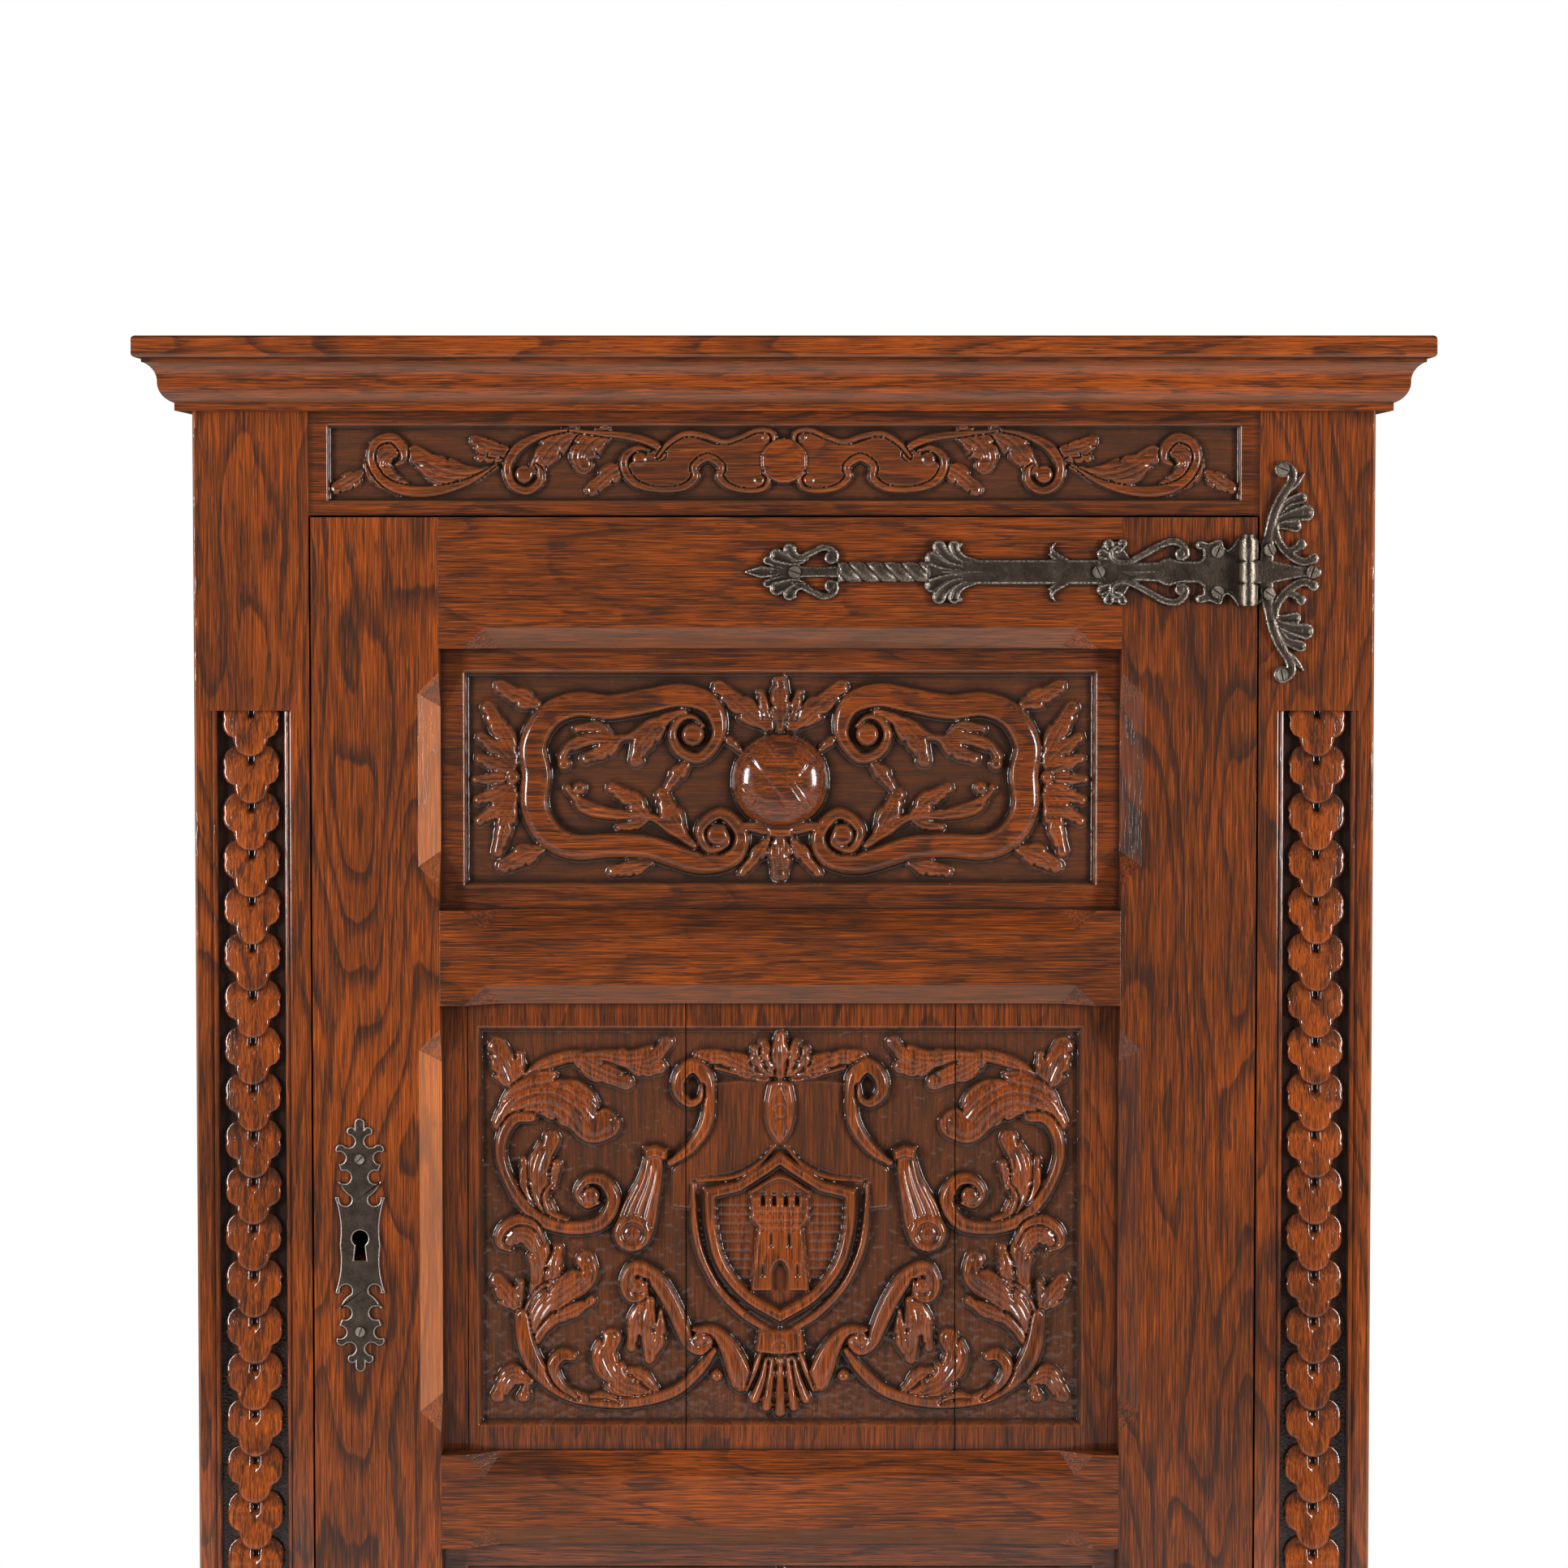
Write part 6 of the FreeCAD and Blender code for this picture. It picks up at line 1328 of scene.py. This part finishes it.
scaleChain = {
    "cell": 1.0,
    "count": 22,
    "pitch": 36,
    "middle": 407.5,
    "top": 1394.6,
    "ground": -191.8,
    "turn": 0.02,  # how far one scale may lean from the next, either way
    "seed": 12,
    # one scale: x across, z up from its root; its grid is given by half its width and height
    "grid": (24, 25),
    "drop": 8.5,  # from the root to the middle of the grid
    "halfWidth": 22.5,
    "lobes": [(9.0, 0.6, 13.2), (11.0, -7.0, 11.1), (0, -19.0, 13.2)],
    "slot": {"halfWidth": 3.6, "foot": -6.8, "round": 3.8, "shallow": 1.2, "deep": 3.4,
             "deepening": (-4.5, 3.5), "wall": 0.9},
    # how far it stands off the ground: root, middle, tip, rim, and at the least anywhere inside it
    "rootRise": 3.8,
    "rise": 6.6,
    "tipRise": 8.6,
    "rimRise": 0.6,
    "leastRise": 0.7,
    "rootSlope": (9, -15),  # from which level, and over what height, it gains its rise and its tip's
    "tipSlope": (-6, -22),
    "sideFall": 0.36,
    "rimFall": (0.26, 2.2),  # how much of its height goes at the rim, and over what width
    # painted shade: how dark, then from which height or level and over what stretch
    "paintedShade": {"edge": (0.5, 4.4, -3), "root": (0.35, -0.5, 6), "slot": (0.95, 3.0, -1.4)},
    "paintedShadeMost": 0.95,
    "slotReach": 5,
    "oak": ("z", 0.045, 0.20, (4.4, 0, 6.1)),
}


def carveScale(plan):
    board = Carving(*plan["grid"], plan["cell"])
    board.z = board.z - plan["drop"]
    gx, gz = np.meshgrid(np.abs(board.x), board.z)
    gap = np.max([radius - np.hypot(gx - x, gz - z) for x, z, radius in plan["lobes"]], axis=0)
    bulge = 1 - plan["sideFall"] * (gx / plan["halfWidth"]) ** 2
    height = plan["rootRise"] + (plan["rise"] - plan["rootRise"]) * eased(gz, *plan["rootSlope"])
    height = height * bulge + (plan["tipRise"] - plan["rise"]) * eased(gz, *plan["tipSlope"])
    fall, width = plan["rimFall"]
    height = height * (1 - fall + fall * smoothStep(gap / width))
    slot = plan["slot"]
    wide = slot["halfWidth"] * np.sqrt(np.clip((gz - slot["foot"]) / slot["round"], 0, 1))
    cut = np.clip((wide - gx) / slot["wall"], 0, 1)
    height = height - cut * (slot["shallow"] + slot["deep"] * eased(gz, *slot["deepening"]))
    board.height = np.where(gap > 0, np.maximum(height, plan["leastRise"]), 0)
    return board


def cellMesh(name, xs, zs, height, inside, backY, material, marks, smoothTurns=2):
    # a closed casting or scale: the cells inside, a wall round them and a flat back
    for _ in range(4):
        # cells that touch by a corner alone get a neighbour
        a, b, c, d = inside[:-1, :-1], inside[:-1, 1:], inside[1:, :-1], inside[1:, 1:]
        inside[:-1, 1:][a & d & ~b & ~c] = True
        inside[:-1, :-1][b & c & ~a & ~d] = True
    rows, columns = inside.shape
    quads = cellCorners(rows + 1, columns + 1)[inside]
    edges = np.concatenate([quads[:, [i, (i + 1) % 4]] for i in range(4)])
    span = height.size
    rim = edges[~np.isin(edges @ (span, 1), edges @ (1, span))]
    gx, gz = np.meshgrid(xs, zs)
    flat = np.column_stack([gx.ravel(), gz.ravel()])
    for _ in range(smoothTurns):
        total = np.zeros_like(flat)
        times = np.zeros(span)
        for one, other in ((0, 1), (1, 0)):
            np.add.at(total, rim[:, one], flat[rim[:, other]])
            np.add.at(times, rim[:, one], 1)
        moved = times == 2
        flat[moved] = 0.5 * flat[moved] + 0.5 * total[moved] / 2
    used = np.unique(quads)
    index = np.full(span, -1)
    index[used] = np.arange(len(used))
    front = np.column_stack([flat[used, 0], backY - height.ravel()[used], flat[used, 1]])
    back = front.copy()
    back[:, 1] = backY
    frontFaces = index[quads]
    backFaces = frontFaces[:, ::-1] + len(used)
    one, other = index[rim].T
    walls = np.column_stack([other, one, one + len(used), other + len(used)])
    faces = np.concatenate([frontFaces, walls, backFaces])
    mesh = newMesh(name, np.vstack([front, back]), faces.ravel(), np.arange(len(faces)) * 4,
                   np.arange(len(faces)) < len(frontFaces), material)
    for label, field in marks.items():
        setMark(mesh, label, np.tile(field.ravel()[used], 2))
    return mesh


def scaleRows(material):
    # Geometry Nodes set the scales one under the other
    tree = bpy.data.node_groups.new("scale_rows", "GeometryNodeTree")
    for name, kind in (("Scale", "Geometry"), ("Count", "Int"), ("Pitch", "Float"), ("Start", "Vector"),
                       ("Turn", "Float"), ("Seed", "Int")):
        tree.interface.new_socket(name, in_out="INPUT", socket_type="NodeSocket" + kind)
    tree.interface.new_socket("Chain", in_out="OUTPUT", socket_type="NodeSocketGeometry")
    given = newNode(tree, "NodeGroupInput").outputs
    offset = newNode(tree, "ShaderNodeCombineXYZ", {2: reckon(tree, "MULTIPLY", given["Pitch"], -1.0)})
    line = newNode(tree, "GeometryNodeMeshLine", {
        "Count": given["Count"], "Start Location": given["Start"], "Offset": offset.outputs[0]})
    turned = newNode(tree, "FunctionNodeRandomValue", {
        2: reckon(tree, "MULTIPLY", given["Turn"], -1.0), 3: given["Turn"], "Seed": given["Seed"],
        "ID": newNode(tree, "GeometryNodeInputIndex").outputs[0]}, data_type="FLOAT")
    turn = newNode(tree, "ShaderNodeCombineXYZ", {1: turned.outputs[1]})
    placed = newNode(tree, "GeometryNodeInstanceOnPoints", {
        "Points": line.outputs[0], "Instance": given["Scale"], "Rotation": turn.outputs[0]})
    real = newNode(tree, "GeometryNodeRealizeInstances", {0: placed.outputs[0]})
    coat = newNode(tree, "GeometryNodeSetMaterial", {0: real.outputs[0], "Material": material})
    newNode(tree, "NodeGroupOutput", {0: coat.outputs[0]})
    return tree


def dressChain(side, plan, scale, rows):
    sign = -1 if side == "left" else 1
    name = "scale_chain_" + side
    source = link(name + "_one", scale)
    modifier = source.modifiers.new("rows", "NODES")
    modifier.node_group = rows
    inputs = {item.name: item.identifier for item in rows.interface.items_tree if item.in_out == "INPUT"}
    values = {"Count": plan["count"], "Pitch": plan["pitch"] * mm, "Turn": plan["turn"], "Seed": plan["seed"],
              "Start": (sign * plan["middle"] * mm, 0.0, plan["top"] * mm)}
    for label, value in values.items():
        modifier[inputs[label]] = value
    source.update_tag()
    bpy.context.view_layer.update()
    made = bpy.data.meshes.new_from_object(source.evaluated_get(bpy.context.evaluated_depsgraph_get()))
    made.name = name
    bpy.data.objects.remove(source)
    claim(link(name, made), "front_post_" + side, "cabinet")


def dressChains(plan, material):
    board = carveScale(plan)
    gx, gz = np.meshgrid(np.abs(board.x), board.z)

    def shadeAmount(label, value):
        amount, *limits = plan["paintedShade"][label]
        return amount * eased(value, *limits)
    # painted shade on the low rims, under the overlap of the scale above, and in the slot
    dark = shadeAmount("edge", board.height) + shadeAmount("root", gz)
    dark = np.maximum(dark, shadeAmount("slot", board.height) * (gx < plan["slotReach"]))
    marks = {"relief": np.ones_like(gx), "hollow": np.clip(dark, 0, plan["paintedShadeMost"]),
             "crest": np.zeros_like(gx)}
    scale = cellMesh("scale", board.x, board.z, np.maximum(board.height, plan["rimRise"]),
                     wholeCells(board.height > 0), plan["ground"], material, marks)
    rows = scaleRows(material)
    for side in ("left", "right"):
        dressChain(side, plan, scale, rows)


dressChains(scaleChain, oakMaterial("scale_oak", *scaleChain["oak"], carved=True, black=True))
print("posts and their scales made")

strapHinge = {
    # x along the cabinet, z up from the strap's middle line; half-width and height follow
    "cell": 0.55,
    "reach": (-32, 354),
    "halfHeight": 28,
    "barRise": 4.4,
    "plateRise": 3.2,
    "head": [(-6, 0, 3.2, 4.2), (-12, 0, 4.4, 4.6), (-18, 0, 5, 4.8), (-23.4, 0, 3.2, 4.2),
             (-30, 0, 0.6, 2.8)],
    "spine": [(-8, 0, 3.4, 3.6), (2, 0, 5.8, 4.4), (12, 0, 5, 4.2), (26, 0, 4.6, 4.2), (42, 0, 5, 4.6)],
    "plates": [
        [(-8, 2), (-14, 6), (-15.5, 9.4), (-11, 12.4), (-10, 15.6), (-6, 17.4), (-1, 18), (2, 21),
         (6.4, 20.4), (8, 16), (11, 13), (17, 11), (12, 4), (10, -8), (-8, -8)],
        [(105.5, 4), (108, 12), (113, 15.5), (115, 21), (120, 23.4), (124, 21), (129, 23.6), (133.4, 21),
         (133.6, 16), (138, 12), (146, 9.6), (150, 0), (146, -8), (104, -8)],
        [(238, 5), (238.6, 15), (243, 23), (250, 23.6), (258, 24), (259.6, 17), (264, 10), (264, 4)],
    ],
    "cups": [
        [(3, 3, 2, 4.2), (-6, 6.4, 3, 4.6), (-12.8, 8.8, 3.6, 4.6)],
        [(14, 8.6, 2.4, 4.6), (6, 8.2, 3.6, 5.2), (-5.6, 12.4, 6, 6)],
        [(17, 10.4, 2.4, 4.6), (9, 11.6, 3.6, 5.4), (4, 17, 5.2, 6.2)],
        [(132, 3, 2, 4.4), (122, 5.2, 3.8, 5), (112.6, 10, 6.2, 5.8)],
        [(140, 5.5, 2, 4.6), (129, 8.6, 3.6, 5.2), (121.5, 14, 4.6, 5.8), (117.9, 19, 5.8, 6.2)],
        [(146, 8.2, 1.8, 4.6), (136.5, 10.2, 3.2, 5.2), (131, 14.6, 4.2, 5.8), (129.4, 19.4, 5.2, 6.2)],
        [(250, 8, 2, 4.4), (244, 7.6, 3, 5), (241.6, 6.6, 3.4, 5)],
        [(250, 10, 2, 4.6), (245, 12.4, 3.6, 5.4), (241.6, 13.8, 4.4, 5.6)],
        [(251, 12, 2, 4.6), (248.5, 17.5, 3.6, 5.4), (246.8, 21, 4.6, 5.6)],
        [(252, 13, 2, 4.6), (255.5, 18, 3, 5.2), (257.4, 21.8, 4, 5.6)],
    ],
    "arms": [
        [(8, 9, 3, 4.6), (14, 11.2, 3, 5), (22, 15.2, 3, 5), (29, 18.4, 3.1, 5), (35.4, 17.6, 3, 5),
         (39.6, 13.6, 2.8, 5), (39.4, 8.8, 2.6, 5)],
        [(214, 8.6, 3, 4.2), (208, 11.6, 3, 4.6), (204, 15.6, 2.6, 4.8), (203.6, 19, 1.8, 4.4),
         (207.4, 22.6, 0.6, 3)],
        [(209, 9.5, 2.4, 4.2), (203.6, 12.4, 2.2, 4.6), (201.6, 13.4, 1.4, 4.4)],
        [(253.6, 15.4, 2.4, 6.6), (256.6, 17.2, 1.9, 6.6), (253.8, 19.2, 1.9, 6.4),
         (249.4, 16.6, 2.2, 6.2), (249, 11.8, 2.6, 6.2), (252.8, 8.2, 3, 6), (260.4, 7.2, 3, 5.4),
         (269, 10.8, 3, 5), (279.4, 16.6, 3.2, 5), (290, 22, 3.2, 5), (298.6, 22.8, 3.4, 5),
         (304.6, 18.6, 3.2, 5), (306.2, 13.4, 3, 5), (303, 10.6, 2.6, 5)],
    ],
    "lip": [(319.5, 12.6, 1.5, 4.8), (318.8, 17.4, 1.6, 5), (314.6, 18.8, 1.8, 5.2),
            (314.2, 21.4, 1.8, 5.2), (317.4, 22.6, 1.6, 5), (323.4, 21.4, 1.4, 4.9), (328.8, 23.4, 1.5, 5),
            (332.2, 23.4, 1.5, 5), (333.4, 19.2, 1.4, 4.9), (336, 16.4, 1.4, 4.9), (339.6, 17.2, 1.4, 4.9),
            (343.4, 21.4, 1.6, 5), (346, 25.4, 1.6, 5)],
    "buttons": [(35.4, 10.6, 5, 5.8), (301.6, 13.4, 4.6, 5.8), (134.2, 20.8, 2, 6.2), (8.4, 18.6, 1.8, 6)],
    "twist": {"ends": (41, 110), "half": 8, "pitch": 13.3, "rise": 11, "slant": 0.85, "waist": 1.5,
              "trough": 0.60, "squareness": 2.4, "taper": (4, 0.6)},
    "tongues": [
        [(121, 0, 0.8, 4.4), (130, 0, 3.6, 5.6), (140, 0, 2.4, 5.2), (152, 0, 0.6, 4.6)],
        [(257, 0, 0.8, 4.6), (264, 0, 3.6, 5.8), (272, 0, 2.2, 5.4), (285, 0, 0.6, 4.6)],
    ],
    "bar": [(134, 9), (137, 11.6), (141, 10.6), (246, 10.6), (254, 9), (262, 8), (276, 8.4), (284, 8.8),
            (288, 11), (293, 12), (298, 10.6), (303, 9.4), (315, 9.6), (318.4, 12.4), (318.6, 17),
            (313.8, 18.4), (313, 21.6), (316.4, 23.8), (323.4, 22.4), (328.6, 24.6), (333, 25), (334, 20),
            (336.4, 17.2), (339, 17.6), (342.6, 21.4), (345, 26.2), (358, 26.4), (358, -10), (136, -10),
            (134, 4)],
    "barBevel": 2.6,
}

jambLeaf = {
    "cell": 0.55,
    "reach": (350, 409),
    "halfHeight": 88,
    "spear": [(352, 0, 8.2, 6.4), (362, 0, 9.6, 5.4), (371, 0, 9.2, 5.2), (385, 0, 6.4, 5.4),
              (397, 0, 4.4, 4.8), (405, 0, 4.6, 4.4)],
    "leafPlate": [(372, 32), (372.5, 46), (378, 55), (386, 58), (391, 53), (396, 44), (391, 37), (384, 33)],
    "strokes": [
        [(367, 10, 6, 4.6), (367.5, 19, 5.6, 5), (369, 30, 4.6, 5.4), (371.5, 42, 4.4, 5.6),
         (377, 55, 4.4, 5.6), (384.5, 67, 4.4, 5.6), (386, 76, 4.4, 5.4), (380, 81, 4.4, 5)],
        [(383, 62, 3, 4.8), (390, 68, 3, 5), (395.5, 75, 1.2, 3.6)],
        [(366, 14, 3, 4.6), (363.4, 19, 1.6, 4.4), (361.6, 23.4, 0.7, 3.6)],
        [(373, 34, 3.6, 5), (375.5, 24, 4, 5.4), (381, 16.4, 4.2, 5.4), (389, 10, 4, 5.4),
         (396, 7.6, 3.8, 5.4), (402, 9.8, 4, 5.4)],
        [(382, 16, 3, 5), (388, 17.4, 3.4, 5.4), (393, 20.6, 4.2, 5.4)],
    ],
    "cups": [
        [(374, 41, 2.2, 4.6), (382, 52, 3.4, 5.4), (392.8, 56.4, 5, 6)],
        [(373, 38, 2.4, 4.6), (384, 42.6, 4.4, 5.6), (396.4, 45, 7, 6.2)],
        [(374, 34, 2.2, 4.6), (380, 35.4, 3.6, 5.4), (388.4, 35, 5.4, 6)],
    ],
    "buttons": [(379, 78, 6.4, 5.2), (393.2, 21, 4.4, 6.4), (402.6, 10.4, 4.4, 6.4)],
}

hingeIron = {
    "levels": {"upper": 1504.1, "lower": 493.1},
    "backY": -200.8,
    "edgeRise": 1.8,  # how thick a casting is at its edge, and in full
    "fullRise": 4.4,
    "limits": (0.35, 0.3),  # a casting is where the carving is higher, and thickens where it is higher
    "wornAndLit": (0.30, 0.15),  # how far a crest stands out to be fully worn and given a painted glint, and the share of it that isn't
    "shadeAmount": (0.5, 0.15, 0.9),  # the same of a hollow's painted shade, and how dark it gets
    "pin": (352.4, -209.3),
    "strapKnuckles": ((-25.5, -8.8), (8.8, 25.5)),
    "strapRadius": 7.4,
    "jambKnuckles": ((-7.8, 7.8),),
    "jambRadius": 7.2,
    "knuckleBevel": 1.1,
    "knuckleSides": 40,
    "sharpAngle": 28,
}


def boardAlong(plan):
    left, right = plan["reach"]
    board = Carving((right - left) / 2, plan["halfHeight"], plan["cell"])
    board.x = board.x + (left + right) / 2
    return board


def carveStrap(plan):
    board = boardAlong(plan)
    for corners in plan["plates"]:
        board.outline(corners, "highest", rise=plan["plateRise"], edge=1.2)
    board.outline(plan["bar"], "highest", rise=plan["barRise"], edge=plan["barBevel"])
    board.strokes(plan["cups"] + [plan["head"]], "cup", "highest", edge=0.9)
    board.strokes(plan["arms"] + [plan["lip"]], "round", "highest", edge=1.0)
    board.strokes([plan["spine"]] + plan["tongues"], "ridge", "highest", edge=1.4)
    board.buttons(plan["buttons"])
    board.mirrorDown()
    twist = plan["twist"]
    x0, x1 = twist["ends"]
    half = twist["half"]
    place, xs, zs = board.window(x0, x1, -half, half)
    gx, gz = np.meshgrid(xs - x0, zs)
    turn = 2 * ((gx + gz * twist["slant"]) / twist["pitch"] % 1) - 1
    across = np.abs(gz) / (half - twist["waist"] * (1 - rounded(turn)))
    reach, least = twist["taper"]
    ends = np.clip(np.minimum(gx, x1 - x0 - gx) / reach + least, 0, 1)
    height = twist["rise"] * rounded(turn, twist["trough"])
    height = height * np.sqrt(np.clip(1 - across ** twist["squareness"], 0, 1)) * ends
    board.put(place, height, np.ones_like(across, bool), "over")
    return board


def carveJamb(plan):
    board = boardAlong(plan)
    board.outline(plan["leafPlate"], "highest", rise=3.6, edge=1.2)
    board.strokes(plan["cups"], "cup", "highest", edge=0.9)
    board.strokes(plan["strokes"], "lobe", "highest", edge=1.2)
    board.stroke(plan["spear"], "ridge", "highest", edge=1.3)
    board.buttons(plan["buttons"], bulge=0.4, lift=0.6)
    board.mirrorDown()
    return board


def castMesh(board, level, plan, material):
    shown, low = plan["limits"]
    edge = plan["edgeRise"]
    solid = np.where(board.height > low, edge + board.height * (1 - edge / plan["fullRise"]), edge)
    standing = solid - blurred(solid, 5)
    reach, least = plan["wornAndLit"]
    depth, start, darkest = plan["shadeAmount"]
    # painted glint and wear on crests, painted shade in hollows
    marks = {"crest": np.clip(standing / reach - least, 0, 1),
             "hollow": np.clip(-standing / depth - start, 0, darkest)}
    return cellMesh("casting", board.x, board.z + level, blurred(solid), wholeCells(board.height > shown),
                    plan["backY"], material, marks)


def barrel(z0, z1, radius, plan, material):
    bm = bmesh.new()
    bmesh.ops.create_cone(bm, cap_ends=True, segments=plan["knuckleSides"], radius1=radius * mm,
                          radius2=radius * mm, depth=(z1 - z0) * mm)
    rims = [edge for edge in bm.edges if len(edge.link_faces) == 2 and edge.calc_face_angle(0) > 1]
    bmesh.ops.bevel(bm, geom=rims, offset=plan["knuckleBevel"] * mm, segments=2, affect="EDGES")
    x, y = plan["pin"]
    bmesh.ops.translate(bm, verts=bm.verts, vec=(x * mm, y * mm, (z0 + z1) / 2 * mm))
    mesh = bpy.data.meshes.new("knuckle")
    bm.to_mesh(mesh)
    bm.free()
    mesh.materials.append(material)
    mesh.polygons.foreach_set("use_smooth", [True] * len(mesh.polygons))
    mesh.polygons.foreach_set("material_index", [1] * len(mesh.polygons))
    mesh.set_sharp_from_angle(angle=math.radians(plan["sharpAngle"]))
    for label in ("crest", "hollow"):
        setMark(mesh, label, np.zeros(len(mesh.vertices)))
    return mesh


def dressIron(name, node, body, board, level, knuckles, radius, plan=hingeIron):
    # one casting and its knuckles, joined
    meshes = [castMesh(board, level, plan, castIron)]
    for low, high in knuckles:
        meshes.append(barrel(level + low, level + high, radius, plan, knuckleIron))
    bm = bmesh.new()
    for mesh in meshes:
        bm.from_mesh(mesh)
    whole = bpy.data.meshes.new(name)
    bm.to_mesh(whole)
    bm.free()
    whole.materials.append(castIron)
    whole.materials.append(knuckleIron)
    claim(link(name, whole), node, body)


strapBoard = carveStrap(strapHinge)
jambBoard = carveJamb(jambLeaf)
for side, level in hingeIron["levels"].items():
    dressIron("strap_hinge_cast_" + side, "strap_hinge_" + side, "door", strapBoard, level,
              hingeIron["strapKnuckles"], hingeIron["strapRadius"])
    dressIron("jamb_hinge_cast_" + side, "jamb_hinge_" + side, "cabinet", jambBoard, level,
              hingeIron["jambKnuckles"], hingeIron["jambRadius"])
print("hinges cast")

plainBoards = {
    "tone": -0.03,
    "figure": {"x": 0.10, "y": 0.16, "z": 0.21},  # by the way the grain runs
    "cut": (0.83, 0.47, 1.31),  # how far along the log each board follows the one before
    "log": 9.7,
    # boards whose right-turned chamfers get painted light
    "sheen": ("door_lock_stile",),
    # tone and figure of the boards that differ
    "door_hinge_stile": (-0.115, 0.24),
    "door_lock_stile": (-0.03, 0.27),
    "door_top_rail": (-0.075, 0.09),
    "door_upper_rail": (-0.11, 0.09),
    "door_lower_rail": (-0.085, 0.10),
    "door_bottom_rail": (-0.075, 0.10),
    "cornice_board": (0.05, 0.20),
    "cornice_moulding": (0.015, 0.09),
}

bevels = {
    "plate": 0.9,
    "small": 0.25,
    "board": 0.5,
    "weld": 0.01,  # points this near are joined
    "flat": 1,  # faces within these degrees count as one
    "sharp": 35,  # edges above these degrees are bevelled
}


def plainOak(name, number, plan):
    low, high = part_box(name)
    axis = max("xyz", key=lambda letter: getattr(high - low, letter))
    tone, figure = plan.get(name, (plan["tone"], plan["figure"][axis]))
    cut = tuple(round(number * step % plan["log"], 3) for step in plan["cut"])
    return oakMaterial("oak_" + name, axis, tone, figure, cut, sheen=name in plan["sheen"])


def addBevel(node, width, slot=0, merge=False):
    weld = node.modifiers.new("weld", "WELD")
    weld.merge_threshold = bevels["weld"] * mm
    if merge:
        flat = node.modifiers.new("flat", "DECIMATE")
        flat.decimate_type = "DISSOLVE"
        flat.angle_limit = math.radians(bevels["flat"])
    bevel = node.modifiers.new("bevel", "BEVEL")
    bevel.width = width * mm
    bevel.segments = 2
    bevel.limit_method = "ANGLE"
    bevel.angle_limit = math.radians(bevels["sharp"])
    bevel.material = slot
    bevel.use_clamp_overlap = not merge


def anyIn(name, *words):
    return any(word in name for word in words)


for number, (name, node) in enumerate(nodes.items()):
    if node.hide_render:
        continue
    metal = None
    if anyIn(name, "screws", "bolt", "spring", "keeper"):
        metal = paleSteel
    elif anyIn(name, "hinge_", "lock_", "pull") and "stile" not in name:
        metal = castIron
    node.data.materials.clear()
    node.data.materials.append(metal or plainOak(name, number, plainBoards))
    if name == "lock_plate":
        node.data.materials.append(wornIron)
        addBevel(node, bevels["plate"], slot=1, merge=True)
    elif anyIn(name, "pull", "screws"):
        addBevel(node, bevels["small"])
    elif not metal and "moulding" not in name:
        addBevel(node, bevels["board"])
print("plain boards and fittings finished")
